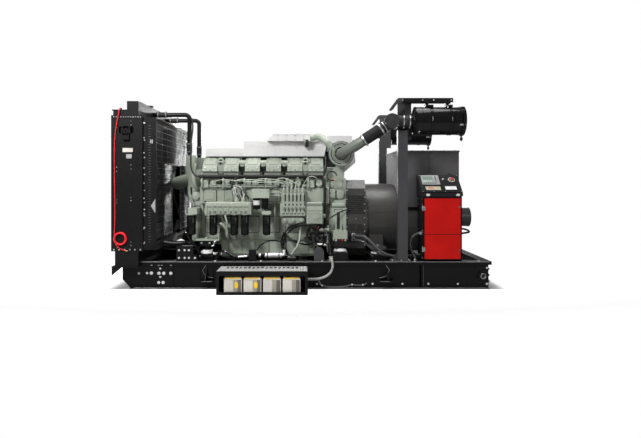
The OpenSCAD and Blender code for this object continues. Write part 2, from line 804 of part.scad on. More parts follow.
module coolant_pipes() {
  r = 60;
  x1 = gear_x0 - 53;
  z = rad_z1 + 88;
  color("#262626") both_sides() {
    rod_x(coolant_r, exp_x1, x1 - r, -coolant_y, z);
    translate([x1 - r, -coolant_y, z - r]) rotate([90, 0, 0])
      rotate_extrude(angle = 90) translate([r, 0]) circle(r = coolant_r);
    translate([x1, -coolant_y, housing_top]) cylinder(r = coolant_r, h = z - r - housing_top);
  }
}

housing_top = crank_z + 889;

module thermostat_housings() {
  color("#a0a89a") both_sides() {
    block([gear_x0 - 96, -coolant_y - 60, crank_z + 580], [gear_x0 + 30, -coolant_y + 60, housing_top]);
    block([gear_x0 - 60, -coolant_y - 50, crank_z + 440], [gear_x0 + 30, -coolant_y + 50, crank_z + 581]);
  }
}

header_z = ledge_z - 140;
header_out = 760;
filter_row = 700;
oil_filter_x = [gear_x0 + 36, block_x0 + 202, block_x0 + 487, block_x0 + 633, block_x0 + 926];
fuel_filter_x = [block_x0 + 790, block_x0 + 905];
fuel_header_z = ledge_z + 80;

module filter_headers() {
  color("#a0a89a") {
    block([block_x0 + 100, -header_out, header_z], [block_x0 + 720, -case_hw, ledge_z]);
    block([gear_x0, -header_out, header_z], [gear_x0 + 120, -case_hw, ledge_z - 60]);
    block([block_x0 + 866, -header_out, header_z], [block_x0 + 986, -case_hw, header_z + 40]);
    // Fuel filter head under the ledge's side covers
    block([block_x0 + 730, -header_out, fuel_header_z], [block_x0 + 965, -ledge_hw - side_cover_t, ledge_top - 10]);
  }
}

module oil_filters() {
  color("#1b1b1b") {
    for (x = oil_filter_x) translate([x, -filter_row, header_z - oil_filter_l]) {
      cylinder(r = oil_filter_r, h = oil_filter_l - 20);
      translate([0, 0, oil_filter_l - 21]) cylinder(r = oil_filter_r - 8, h = 21);
    }
    for (x = fuel_filter_x) translate([x, -filter_row, fuel_header_z - fuel_filter_l])
      cylinder(r = fuel_filter_r, h = fuel_filter_l);
  }
}

pump_x0 = block_x0 + 1110;
pump_x1 = pump_x0 + pump_l;
governor_x0 = pump_x1 + 7;
governor_x1 = governor_x0 + governor_l;

module injection_pump() {
  color("#a0a89a") {
    block([pump_x0, -700, ledge_z - 170], [pump_x1, -case_hw, ledge_z]);
    block([pump_x0 + 20, -690, ledge_z - eps], [pump_x1 - 20, -ledge_hw, ledge_z + 140]);
    // Plungers
    for (i = [0 : bank_n - 1]) {
      x = pump_x0 + 45 + i * (pump_l - 90) / (bank_n - 1);
      translate([x, -625, ledge_z + 139]) cylinder(r = 19, h = 60);
    }
    rod_x(45, pump_x1 - eps, governor_x0 + eps, -590, ledge_z - 80);
    // Speed governor with its sloped lid
    along_x(governor_x0, governor_x1) polygon([
      [-case_hw, ledge_z - 270], [-720, ledge_z - 270], [-720, ledge_z - 85], [-580, ledge_z + 20],
      [-ledge_hw, ledge_z + 20], [-ledge_hw, ledge_z], [-case_hw, ledge_z]
    ]);
  }
}

starter_y = 530;
starter_z = crank_z - 140;

module starter_motors() {
  color("#8b9286") {
    rod_x(starter_r, block_x1 - starter_l, block_x1, -starter_y, starter_z);
    rod_x(starter_r - 15, block_x1 - starter_l - 25, block_x1 - starter_l + eps, -starter_y, starter_z);
    rod_x(solenoid_r, block_x1 - starter_l + 60, block_x1, -starter_y - starter_r - 20, starter_z);
  }
}

// Oil pipes between the filter header and the crankcase
oil_pipe_routes = [
  [[block_x0 + 305, -600, header_z - seat], [block_x0 + 305, -600, header_z - 25],
    [block_x0 + 305, -600, header_z - 50], [block_x0 + 335, -600, header_z - 110],
    [block_x0 + 405, -600, header_z - 165], [block_x0 + 470, -600, header_z - 225],
    [block_x0 + 485, -590, header_z - 285], [block_x0 + 485, -550, header_z - 318],
    [block_x0 + 485, -510, header_z - 322], [block_x0 + 485, -485, header_z - 322],
    [block_x0 + 485, -case_hw - seat, header_z - 322]],
  [[block_x0 + 250, -case_hw - seat, header_z - 125], [block_x0 + 250, -485, header_z - 125],
    [block_x0 + 250, -510, header_z - 125], [block_x0 + 270, -620, header_z - 130],
    [block_x0 + 330, -650, header_z - 150], [block_x0 + 378, -650, header_z - 220],
    [block_x0 + 386, -640, header_z - 285], [block_x0 + 386, -560, header_z - 318],
    [block_x0 + 386, -510, header_z - 322], [block_x0 + 386, -485, header_z - 322],
    [block_x0 + 386, -case_hw - seat, header_z - 322]]
];

module oil_pipes() {
  color("#b4bbad") for (route = oil_pipe_routes) let (p = smooth(route, 3))
    sweep(p, tangents(p), oil_pipe_r, [1, 0.4, 0.1], 12);
}

heater_x0 = block_x0 + 706;
heater_z = rail_h + 67;
heater_route = [
  [heater_x0 + 94 + seat, -905, heater_z], [heater_x0 + 130, -905, heater_z],
  [heater_x0 + 165, -905, heater_z], [heater_x0 + 390, -905, heater_z],
  [heater_x0 + 445, -898, heater_z + 12], [heater_x0 + 470, -862, heater_z + 70],
  [heater_x0 + 474, -780, heater_z + 145], [heater_x0 + 474, -650, heater_z + 215],
  [heater_x0 + 474, -560, heater_z + 235], [heater_x0 + 474, -525, heater_z + 235],
  [heater_x0 + 474, -490, heater_z + 235], [heater_x0 + 474, -case_hw - seat, heater_z + 235]
];

// Coolant heater on the rail, with its pipe into the crankcase
module coolant_heater() {
  p = smooth(heater_route, 3);
  color("#c8cac8") sweep(p, tangents(p), heater_pipe_r, [0.2, 0.3, 1], 12);
  color("#1b1b1b") block([heater_x0, -948, rail_h], [heater_x0 + 94, -868, rail_h + 140]);
}

// The harness lies along the heads' outer faces and drops to the starter
harness_r = 14;
harness_at = bank(head_top - 14, head_w / 2 + harness_r + run_gap);
harness_x1 = block_x1 - 60;
harness_route = [
  [cyl_x0 - head_l / 2 + 5, -harness_at[0], harness_at[1]],
  [cyl_x0, -harness_at[0], harness_at[1]], [cyl_x0 + cyl_pitch, -harness_at[0], harness_at[1]],
  [cyl_x0 + 3 * cyl_pitch, -harness_at[0], harness_at[1]],
  [harness_x1 - 140, -harness_at[0], harness_at[1]], [harness_x1 - 60, -harness_at[0] - 4, harness_at[1] - 2],
  [harness_x1 - 10, -harness_at[0] - 14, harness_at[1] - 40],
  [harness_x1, -ledge_hw - 40, ledge_top], [harness_x1, -ledge_hw - 40, ledge_z],
  [harness_x1, -ledge_hw - 20, ledge_z - 180], [harness_x1, -starter_y - 5, ledge_z - 250],
  [harness_x1, -starter_y, starter_z + starter_r + 24],
  [harness_x1, -starter_y, starter_z + starter_r + 12],
  [harness_x1, -starter_y, starter_z + starter_r + seat]
];

module wiring_harness() {
  p = smooth(harness_route, 4);
  color("#161616") sweep(p, tangents(p), harness_r, [0.1, 1, 0.2], 10);
}

module mount_brackets() {
  x0 = block_x0 - 35;
  color("#a0a89a") both_sides() {
    block([x0, -mount_out, mount_top], [x0 + bracket_l, -case_hw, mount_top + bracket_t]);
    for (x = [x0, x0 + bracket_l - 12]) along_x(x, x + 12) polygon([
      [-case_hw, mount_top], [-mount_out, mount_top], [-mount_out, mount_top + 70],
      [-case_hw, mount_top + 170]
    ]);
    block([rear_mount_x - mount_w / 2, -mount_out, mount_top], [fly_x1, -fly_pad_hw, mount_top + 130]);
  }
}

// A rubber mount with a dome between two plates, from the bearer to the height z1
module rubber_mount(x, z1) {
  w = mount_w / 2;
  block([x - w, -mount_y - w, bearer_h], [x + w, -mount_y + w, bearer_h + 60]);
  translate([x, -mount_y, bearer_h + 59]) cylinder(r = w - 15, h = 31);
  translate([x, -mount_y, bearer_h + 89]) cylinder(r1 = w - 15, r2 = w - 50, h = 25);
  block([x - w, -mount_y - w, z1 - 12], [x + w, -mount_y + w, z1]);
  translate([x, -mount_y, bearer_h + 110]) cylinder(r = 40, h = z1 - bearer_h - 115);
}

module vibration_mounts() {
  color("#1b1b1b") both_sides() {
    rubber_mount(front_mount_x, mount_top);
    rubber_mount(rear_mount_x, mount_top);
    rubber_mount(alt_mount_x, alt_foot_z);
  }
}

module junction_box() {
  x0 = block_x0 + 1564;
  color("#6f7173") along_y(-rail_out + 20, -rail_out + 120) polygon([
    [x0, rail_h], [x0 + 131, rail_h], [x0 + 131, rail_h + 130], [x0 + 95, rail_h + 172],
    [x0 + 36, rail_h + 172], [x0, rail_h + 130]
  ]);
}

// ---- Alternator ----

module alternator_vent_housing() {
  z0 = 360;
  z1 = crank_z + 545;
  c = 120;
  color("#504e4d") along_x(fly_x1, vent_x1) polygon([
    [-vent_hw, z0 + c], [-vent_hw + c, z0], [vent_hw - c, z0], [vent_hw, z0 + c],
    [vent_hw, z1 - c], [vent_hw - c, z1], [-vent_hw + c, z1], [-vent_hw, z1 - c]
  ]);
}

module alternator_housing() {
  color("#504e4d") {
    rod_x(alt_r, alt_x0, alt_x1, 0, crank_z);
    rod_x(alt_r + 25, alt_x0, alt_x0 + 25, 0, crank_z);
    both_sides() block([alt_mount_x - mount_w / 2, -alt_foot_in - 100, alt_foot_z + alt_foot_t],
      [alt_mount_x + mount_w / 2, -200, crank_z - 180]);
  }
}

module alternator_feet() {
  color("#504e4d") both_sides() {
    block([alt_mount_x - mount_w / 2, -mount_out, alt_foot_z],
      [alt_mount_x + mount_w / 2, -alt_foot_in, alt_foot_z + alt_foot_t]);
  }
}

module alternator_exciter() {
  color("#3a3a3a") {
    rod_x(alt_r - 40, alt_x1, alt_x1 + 60, 0, crank_z);
    rod_x(300, alt_x1 + 59, rear_x1, 0, crank_z);
    rod_x(exciter_r, rear_x1 - eps, exciter_x1, 0, crank_z);
  }
}

module terminal_box() {
  x1 = term_x0 + term_l;
  color("#262525") difference() {
    union() {
      block([term_x0, -term_w / 2, crank_z + 170], [x1, term_w / 2, term_top - 20]);
      block([term_x0 - 8, -term_w / 2 - 8, term_top - 21], [x1 + 8, term_w / 2 + 8, term_top]);
    }
    rod_x(alt_r + run_gap, term_x0 - 10, x1 + 10, 0, crank_z);
  }
}

// Power cable from the alternator along the skid, and the control cable's arc
power_route = [
  [vent_x1 - 170, -vent_hw - seat, 660], [vent_x1 - 170, -vent_hw - 25, 660],
  [vent_x1 - 170, -vent_hw - 50, 660], [vent_x1 - 120, -vent_hw - 130, 660],
  [vent_x1 - 40, -vent_hw - 215, 655], [vent_x1 + 50, -mount_out - 48, 585],
  [vent_x1 + 155, -mount_out - 55, 480], [vent_x1 + 280, -mount_out - 60, 415],
  [vent_x1 + 450, -mount_out - 70, 392], [cab_x0 - 120, -mount_out - 80, 410],
  [cab_x0 - 50, -mount_out - 80, 420], [cab_x0 - 25, -mount_out - 80, 420],
  [cab_x0 - seat, -mount_out - 80, 420]
];
control_route = [
  [cab_x0 - seat, -905, 720], [cab_x0 - 20, -905, 720], [cab_x0 - 40, -905, 720],
  [cab_x0 - 110, -905, 680], [cab_x0 - 150, -905, 600], [cab_x0 - 135, -905, 500],
  [cab_x0 - 90, -905, rail_h + 50], [cab_x0 - 84, -905, rail_h + 24],
  [cab_x0 - 84, -905, rail_h + 12], [cab_x0 - 84, -905, rail_h + seat]
];

module power_cables() {
  p = smooth(power_route, 3);
  q = smooth(control_route, 3);
  color("#161616") {
    sweep(p, tangents(p), cable_r, [0.1, 0.2, 1], 10);
    sweep(q, tangents(q), control_cable_r, [0, 1, 0], 10);
  }
}

// ---- Air intake ----

module filter_frames() {
  beam_top = beam_z0 + 57;
  color("#464649") both_sides() {
    block([post_x0, -post_out, post_foot - eps], [post_x0 + post_w, -post_in, post_top]);
    // Base plate and foot gusset
    block([post_x0 - 95, -rail_out, rail_h], [post_x0 + post_w + 35, -post_in + 20, post_foot]);
    along_y(-post_in - 60, -post_in - 60 + frame_t) polygon([
      [post_x0 - 75, post_foot - eps], [post_x0 + eps, post_foot - eps], [post_x0 + eps, post_foot + 110]
    ]);
    // Plate from the post up to the beam
    block([post_x0 + 10, -post_in, post_top - 120], [filter_x0 - 12, -post_in + frame_t, beam_top]);
    // Beam: a channel that opens downwards, with its sloped end
    block([post_x0, -post_out - 20, beam_top - frame_t], [post_x0 + beam_l, -post_in + eps, beam_top]);
    block([post_x0, -post_in, beam_z0], [post_x0 + beam_l, -post_in + frame_t, beam_top]);
    block([post_x0, -post_out - 20, beam_z0], [post_x0 + beam_l, -post_out - 12, beam_top]);
    for (y = [-post_out - 20, -post_in]) along_y(y, y + frame_t) polygon([
      [post_x0 + eps, beam_top], [post_x0, beam_top], [post_x0 - 105, beam_top - 145],
      [post_x0 - 70, beam_top - 155], [post_x0 + eps, beam_top - 57]
    ]);
  }
}

module air_filters() {
  color("#151515") both_sides() {
    rod_x(filter_r, filter_x0, filter_x1 - 40, -filter_y, filter_z);
    rod_x(filter_r + 20, filter_x1 - 41, filter_x1, -filter_y, filter_z);
    rod_x(neck_r, elbow_x + 146, filter_x0 + eps, -filter_y, filter_z);
    translate([filter_x1 - 22, -filter_y, filter_z - filter_r - 50]) cylinder(r = 12, h = 60);
    // Hangers up to the beam
    for (x = [filter_x0 + 150, filter_x0 + 420])
      block([x, -filter_y - 10, filter_z + filter_r - 10],
        [x + 40, -filter_y + 75, beam_z0 + 57 - frame_t]);
  }
}

module intake_elbows() {
  color("#3b3b3b") both_sides() {
    rod_y(93, -filter_y - 90, -filter_y + 90, elbow_x, filter_z - 5);
    rod_x(neck_r - 2, elbow_x, elbow_x + 146, -filter_y, filter_z);
    translate([elbow_x, -filter_y, filter_z - 5]) rotate([0, -125, 0]) cylinder(r = 70, h = 125);
  }
}

// Route from the compressor's mouth to the elbow's lower socket
mouth = [turbo_x, -turbo_face, turbo_z];
socket_dir = [-sin(55), 0, -cos(55)];
socket = [elbow_x, -filter_y, filter_z - 5] + 125 * socket_dir;
hose_start = mouth + [270, -258, 158];
intake_route = [
  mouth + [0, -seat, 0], mouth + [0, -18, 0], mouth + [0, -36, 0], mouth + [4, -72, 2],
  mouth + [38, -135, 20],
  mouth + [110, -190, 62], mouth + [190, -230, 110], hose_start,
  (hose_start + socket) / 2 + [0, -6, -4], socket + 70 * socket_dir, socket + 35 * socket_dir,
  socket + seat * socket_dir
];
intake_steps = 4;
intake_points = smooth(intake_route, intake_steps);
intake_tangents = tangents(intake_points);
hose_index = intake_steps * search([hose_start], intake_route)[0];

module intake_pipes() {
  color("#7f867b") both_sides() sweep(
    [for (i = [0 : hose_index]) intake_points[i]],
    [for (i = [0 : hose_index]) intake_tangents[i]], 70, [0, 1, 0.3]);
}

module air_hoses() {
  last = len(intake_points) - 1;
  color("#1b1b1b") both_sides() sweep(
    [for (i = [hose_index : last])
      intake_points[i] + (i == hose_index ? run_gap * intake_tangents[i] : [0, 0, 0])],
    [for (i = [hose_index : last]) intake_tangents[i]], 78, [0, 1, 0.3]);
}

// ---- Controls ----

// Door hinges: pins on the cabinet, barrels on the door
pin_r = 4;
barrel_r = 8;
hinge_h = 60;
hinge_x = cab_x0 - 6;
hinge_y = cab_front - 14;
hinge_zs = [rail_h + 130, cab_top - 190];

module control_cabinet() {
  color("#1b1c1d") {
    difference() {
      block([cab_x0, cab_front, rail_h], [cab_x1, cab_back, cab_top]);
      block([cab_x0 + sheet_t, cab_front - eps, rail_h + sheet_t],
        [cab_x1 - sheet_t, cab_back - sheet_t, cab_top - sheet_t]);
    }
    for (z = hinge_zs) {
      block([cab_x0 - sheet_t, hinge_y, z], [cab_x0, cab_front + 40, z + hinge_h / 2]);
      translate([hinge_x, hinge_y, z]) cylinder(r = barrel_r, h = hinge_h / 2);
      translate([hinge_x, hinge_y, z]) cylinder(r = pin_r, h = hinge_h);
    }
  }
}

module cabinet_door() {
  front = cab_front - door_gap - door_t;
  color("#b90d03") difference() {
    union() {
      block([cab_x0 + 13, front, rail_h + 30], [cab_x1 - 19, cab_front - door_gap, cab_top - 24]);
      for (z = hinge_zs) {
        translate([hinge_x, hinge_y, z + hinge_h / 2 + run_gap])
          cylinder(r = barrel_r, h = hinge_h / 2 - run_gap);
        block([hinge_x, hinge_y - 4, z + hinge_h / 2 + run_gap], [cab_x0 + 14, hinge_y + 4, z + hinge_h]);
      }
    }
    for (z = hinge_zs) translate([hinge_x, hinge_y, z]) cylinder(r = pin_r + pin_gap, h = hinge_h + eps);
  }
}

// Sloped console: its face rises from the cabinet's front edge
console_h = 36;
console_run = cab_d - 50;
slope_l = console_run / cos(console_slope);
console_top = cab_top + console_h + console_run * tan(console_slope);
lid_t = 12;
lid_hinge = [slope_l + 2, 10];
lid_hinge_xs = [cab_x0 + 60, cab_x1 - 112];

// Places children on the console's face: Y up the slope, Z out of it
module on_slope() {
  translate([0, cab_front, cab_top + console_h]) rotate([console_slope, 0, 0]) children();
}

module control_console() {
  color("#1b1c1d") {
    along_x(cab_x0 - 15, cab_x1 + 15) polygon([
      [cab_front, cab_top], [cab_back, cab_top], [cab_back, console_top],
      [cab_back - 50, console_top], [cab_front, cab_top + console_h]
    ]);
    on_slope() for (x = lid_hinge_xs) {
      block([x, slope_l - 6, -8], [x + 12, slope_l + 10, 18]);
      rod_x(pin_r, x + 11, x + 46, lid_hinge[0], lid_hinge[1]);
    }
  }
}

module console_lid() {
  color("#2a2b2c") on_slope() difference() {
    union() {
      block([cab_x0 - 10, 5, door_gap], [cab_x1 + 10, slope_l - 14, door_gap + lid_t]);
      for (x = lid_hinge_xs) {
        block([x + 12 + run_gap, slope_l - 15, 6], [x + 52, lid_hinge[0], 14]);
        rod_x(barrel_r, x + 12 + run_gap, x + 52, lid_hinge[0], lid_hinge[1]);
      }
    }
    for (x = lid_hinge_xs) rod_x(pin_r + pin_gap, x + 11, x + 53, lid_hinge[0], lid_hinge[1]);
  }
}

// ---- Hose on the radiator ----

hose_r = 6;
nipple = [-2361, -1060, 2347];
red_route = [nipple, [-2361, -1066, 2347], [-2361, -1073, 2347], [-2361, -1098, 2340],
  [-2361, -1116, 2322], [-2363, -1122, 2296], [-2370, -1121, 2250], [-2388, -1117, 2170],
  [-2412, -1113, 2020], [-2424, -1110, 1800], [-2424, -1109, 1500], [-2420, -1109, 1200],
  [-2418, -1110, 960], [-2420, -1113, 820], [-2422, -1118, 750], [-2422, -1118, 695]];
coil_y = -rad_out - 18;
coil_centre = [-2348, coil_y, 668];
coil_r = 74;
tail_route = [[-2420, coil_y, 650], [-2412, coil_y, 615], [-2392, coil_y, 577], [-2360, coil_y, 548],
  [-2315, coil_y, 526], [-2266, coil_y, 510]];

module red_hose() {
  p = smooth(red_route, 4);
  q = smooth(tail_route, 3);
  color("#d01020") {
    sweep(p, tangents(p), hose_r, [1, 0, 0], 10);
    sweep(q, tangents(q), hose_r, [0, 1, 0], 10);
  }
}

module red_hose_coil() {
  color("#d01020") translate(coil_centre) rotate([90, 0, 0])
    rotate_extrude() translate([coil_r, 0]) square([26, 36], center = true);
}

skid_rails();
skid_cross_members();
lifting_lugs();
radiator_shelves();
battery_box();
batteries();
battery_conduit();
radiator_stand();
radiator_core();
radiator_side_panels();
radiator_tanks();
fan_shroud();
fan_guard();
guard_uprights();
fan_hub();
fan_blades();
fan_drive();
engine_block();
oil_pan();
front_gear_case();
flywheel_housing();
cylinder_heads();
rocker_covers();
heat_shields();
turbochargers();
charge_pipes();
coolant_pipes();
thermostat_housings();
filter_headers();
oil_filters();
injection_pump();
starter_motors();
oil_pipes();
coolant_heater();
wiring_harness();
mount_brackets();
vibration_mounts();
junction_box();
alternator_housing();
alternator_feet();
alternator_vent_housing();
alternator_exciter();
terminal_box();
power_cables();
filter_frames();
air_filters();
intake_elbows();
intake_pipes();
air_hoses();
control_cabinet();
cabinet_door();
control_console();
console_lid();
red_hose();
red_hose_coil();
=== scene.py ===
"""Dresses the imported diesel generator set: finishes, fasteners, louvres, pipes, hoses and controls."""
import json
import logging
import math
from dataclasses import dataclass, field
from enum import Enum
from functools import cache
from typing import Iterable, Sequence

import bmesh
import bpy
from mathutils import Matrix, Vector

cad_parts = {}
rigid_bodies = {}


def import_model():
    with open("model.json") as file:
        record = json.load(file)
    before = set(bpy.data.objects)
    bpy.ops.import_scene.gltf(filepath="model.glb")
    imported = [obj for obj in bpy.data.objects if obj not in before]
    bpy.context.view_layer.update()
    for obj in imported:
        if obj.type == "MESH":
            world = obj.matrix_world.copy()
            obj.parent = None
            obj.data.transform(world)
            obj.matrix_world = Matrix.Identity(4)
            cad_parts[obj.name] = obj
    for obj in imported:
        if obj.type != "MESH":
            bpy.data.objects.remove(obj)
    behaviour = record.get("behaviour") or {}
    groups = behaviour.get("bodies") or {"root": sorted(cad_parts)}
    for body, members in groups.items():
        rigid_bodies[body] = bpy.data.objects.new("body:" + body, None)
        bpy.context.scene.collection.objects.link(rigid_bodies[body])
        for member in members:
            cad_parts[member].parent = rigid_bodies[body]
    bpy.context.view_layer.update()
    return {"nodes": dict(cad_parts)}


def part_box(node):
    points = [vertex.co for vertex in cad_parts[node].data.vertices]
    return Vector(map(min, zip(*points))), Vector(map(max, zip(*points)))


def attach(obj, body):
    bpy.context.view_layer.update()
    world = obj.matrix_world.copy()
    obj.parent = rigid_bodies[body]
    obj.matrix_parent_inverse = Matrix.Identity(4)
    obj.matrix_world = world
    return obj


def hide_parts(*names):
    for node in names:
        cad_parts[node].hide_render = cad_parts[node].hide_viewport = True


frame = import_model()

LOG = logging.getLogger("generator_set")

Point = Sequence[float]
Colour = tuple[float, float, float]


# ---------------------------------------------------------------- shader sums


class Wire:
    """A shader socket that takes part in Python sums."""

    def __init__(self, recipe: "Recipe", socket: bpy.types.NodeSocket) -> None:
        """Keeps the recipe that the socket belongs to."""
        self.recipe = recipe
        self.socket = socket

    def _sum(self, operation: str, first: object, second: object | None = None) -> "Wire":
        """Adds one Math node.

        Args:
            operation: the Math node's operation.
            first: a number or a Wire for the first socket.
            second: a number or a Wire for the second socket, if it has one.

        Returns:
            The node's result.
        """
        inputs: dict[object, object] = {0: first}
        if second is not None:
            inputs[1] = second
        return self.recipe.wire("ShaderNodeMath", {"operation": operation}, inputs, "Value")

    def __add__(self, other: object) -> "Wire":
        """self + other"""
        return self._sum("ADD", self, other)

    def __radd__(self, other: object) -> "Wire":
        """other + self"""
        return self._sum("ADD", other, self)

    def __sub__(self, other: object) -> "Wire":
        """self - other"""
        return self._sum("SUBTRACT", self, other)

    def __rsub__(self, other: object) -> "Wire":
        """other - self"""
        return self._sum("SUBTRACT", other, self)

    def __mul__(self, other: object) -> "Wire":
        """self * other"""
        return self._sum("MULTIPLY", self, other)

    def __rmul__(self, other: object) -> "Wire":
        """other * self"""
        return self._sum("MULTIPLY", other, self)

    def __truediv__(self, other: object) -> "Wire":
        """self / other"""
        return self._sum("DIVIDE", self, other)

    def __pow__(self, other: object) -> "Wire":
        """self to the power of other"""
        return self._sum("POWER", self, other)

    def repeat(self, pitch: float) -> "Wire":
        """Where the value stands within its pitch, from 0 to 1."""
        return self._sum("FRACT", self / pitch)

    def ramp(self, low: float, high: float, start: float = 0.0, end: float = 1.0) -> "Wire":
        """Maps low to high smoothly onto start to end, and holds it there.

        Args:
            low: the value that gives start.
            high: the value that gives end.
            start: the result at low.
            end: the result at high.

        Returns:
            The mapped value.
        """
        return self.recipe.wire("ShaderNodeMapRange", {"interpolation_type": "SMOOTHSTEP"},
                                {"Value": self, "From Min": low, "From Max": high,
                                 "To Min": start, "To Max": end}, "Result")


class Recipe:
    """One procedural material while it is put together."""

    def __init__(self, name: str) -> None:
        """Starts a material with a Principled shader.

        Args:
            name: the material's name.
        """
        self.material = bpy.data.materials.new(name)
        self.material.use_nodes = True
        self.tree = self.material.node_tree
        self.tree.nodes.clear()
        self.output = self.tree.nodes.new("ShaderNodeOutputMaterial")
        self.shader = self.node("ShaderNodeBsdfPrincipled")
        self.tree.links.new(self.shader.outputs[0], self.output.inputs["Surface"])
        self.place = self.wire("ShaderNodeTexCoord", output="Object")

    def node(self, kind: str, settings: dict[str, object] | None = None,
             inputs: dict[object, object] | None = None) -> bpy.types.Node:
        """Adds a node.

        Args:
            kind: the node's type.
            settings: properties to set first; "stops" sets a ramp's stops.
            inputs: values or Wires by socket name or number.

        Returns:
            The node.
        """
        made = self.tree.nodes.new(kind)
        for name, value in (settings or {}).items():
            if name == "stops":
                ramp = made.color_ramp
                while len(ramp.elements) < len(value):
                    ramp.elements.new(0.5)
                for element, (place, colour) in zip(ramp.elements, value):
                    element.position = place
                    element.color = (*colour, 1.0)
            else:
                setattr(made, name, value)
        for name, value in (inputs or {}).items():
            self.feed(made.inputs[name], value)
        return made

    def wire(self, kind: str, settings: dict[str, object] | None = None,
             inputs: dict[object, object] | None = None, output: object = 0) -> Wire:
        """Adds a node and gives one of its outputs."""
        return Wire(self, self.node(kind, settings, inputs).outputs[output])

    def feed(self, socket: bpy.types.NodeSocket, value: object) -> None:
        """Links a Wire to a socket, or sets a plain value on it."""
        if isinstance(value, Wire):
            self.tree.links.new(value.socket, socket)
        elif socket.type == "RGBA":
            socket.default_value = (*value, 1.0)
        else:
            socket.default_value = value

    def set(self, **values: object) -> None:
        """Feeds the shader's sockets; an underscore in a name stands for a space."""
        for name, value in values.items():
            self.feed(self.shader.inputs[name.replace("_", " ")], value)

    def _stretched(self, where: Wire, stretch: Point) -> Wire:
        """Coordinates scaled along each axis."""
        if tuple(stretch) == (1.0, 1.0, 1.0):
            return where
        return self.wire("ShaderNodeMapping", None, {"Vector": where, "Scale": tuple(stretch)}, "Vector")

    def cloud(self, scale: float, detail: float = 3.0, rough: float = 0.55,
              stretch: Point = (1.0, 1.0, 1.0), where: Wire | None = None) -> Wire:
        """A soft random value over the piece.

        Args:
            scale: blobs per metre.
            detail: octaves.
            rough: strength of the finer octaves.
            stretch: scale along each axis.
            where: coordinates other than the piece's own.

        Returns:
            The value, from 0 to 1 about 0.5.
        """
        where = self._stretched(where or self.place, stretch)
        return self.wire("ShaderNodeTexNoise", None,
                         {"Vector": where, "Scale": scale, "Detail": detail, "Roughness": rough}, 0)

    def cells(self, scale: float) -> Wire:
        """Random cells over the piece, as the distance to each cell's point; scale is cells per metre."""
        return self.wire("ShaderNodeTexVoronoi", None, {"Vector": self.place, "Scale": scale}, "Distance")

    def split(self, vector: Wire) -> tuple[Wire, Wire, Wire]:
        """A vector's three parts."""
        parts = self.node("ShaderNodeSeparateXYZ", None, {"Vector": vector})
        return tuple(Wire(self, parts.outputs[i]) for i in range(3))

    def axes(self) -> tuple[Wire, Wire, Wire]:
        """The piece's coordinates one by one."""
        return self.split(self.place)

    def facing(self) -> tuple[Wire, Wire, Wire]:
        """The surface's own direction, one axis at a time."""
        return self.split(self.wire("ShaderNodeTexCoord", output="Normal"))

    def mix(self, share: object, first: object, second: object) -> Wire:
        """A colour that goes from first to second as share goes from 0 to 1."""
        return self.wire("ShaderNodeMix", {"data_type": "RGBA"}, {0: share, 6: first, 7: second}, 2)

    def bump(self, height: Wire, depth: float, strength: float = 1.0, under: Wire | None = None) -> Wire:
        """Turns a height into a surface direction.

        Args:
            height: the height, from 0 to 1.
            depth: the height of 1 in metres.
            strength: how strongly it shows.
            under: an earlier bump that this one lies on.

        Returns:
            The direction for the shader's Normal.
        """
        inputs: dict[object, object] = {"Height": height, "Distance": depth, "Strength": strength}
        if under is not None:
            inputs["Normal"] = under
        return self.wire("ShaderNodeBump", None, inputs, "Normal")


# ---------------------------------------------------------------- finishes


def shade(colour: Colour, factor: float, lift: float = 0.0) -> Colour:
    """A darker or lighter form of a colour."""
    return tuple(min(1.0, c * factor + lift) for c in colour)


def grey(level: float) -> Colour:
    """A grey of that level."""
    return level, level, level


@dataclass(frozen=True)
class Finish:
    """A finish that the record names, with its colour and gloss.

    Args:
        slot: the record's material slot.
        colour: linear base colour.
        gloss: 0 for matt, 1 for mirror-like.
    """

    slot: str
    colour: Colour
    gloss: float = 0.5

    def material(self) -> bpy.types.Material:
        """The finish's material, made on first use.

        Returns:
            The material.
        """
        name = self.label()
        found = bpy.data.materials.get(name)
        if found is None:
            recipe = Recipe(name)
            self.mixed(recipe)
            found = recipe.material
        return found

    def label(self) -> str:
        """A name for the material that no other finish has."""
        tint = "_".join(f"{round(c * 255):03d}" for c in self.colour)
        return f"{self.slot}_{type(self).__name__.lower()}_{tint}_{round(self.gloss * 100):02d}"

    def mixed(self, recipe: Recipe) -> None:
        """Fills the recipe; each finish has its own."""
        raise NotImplementedError


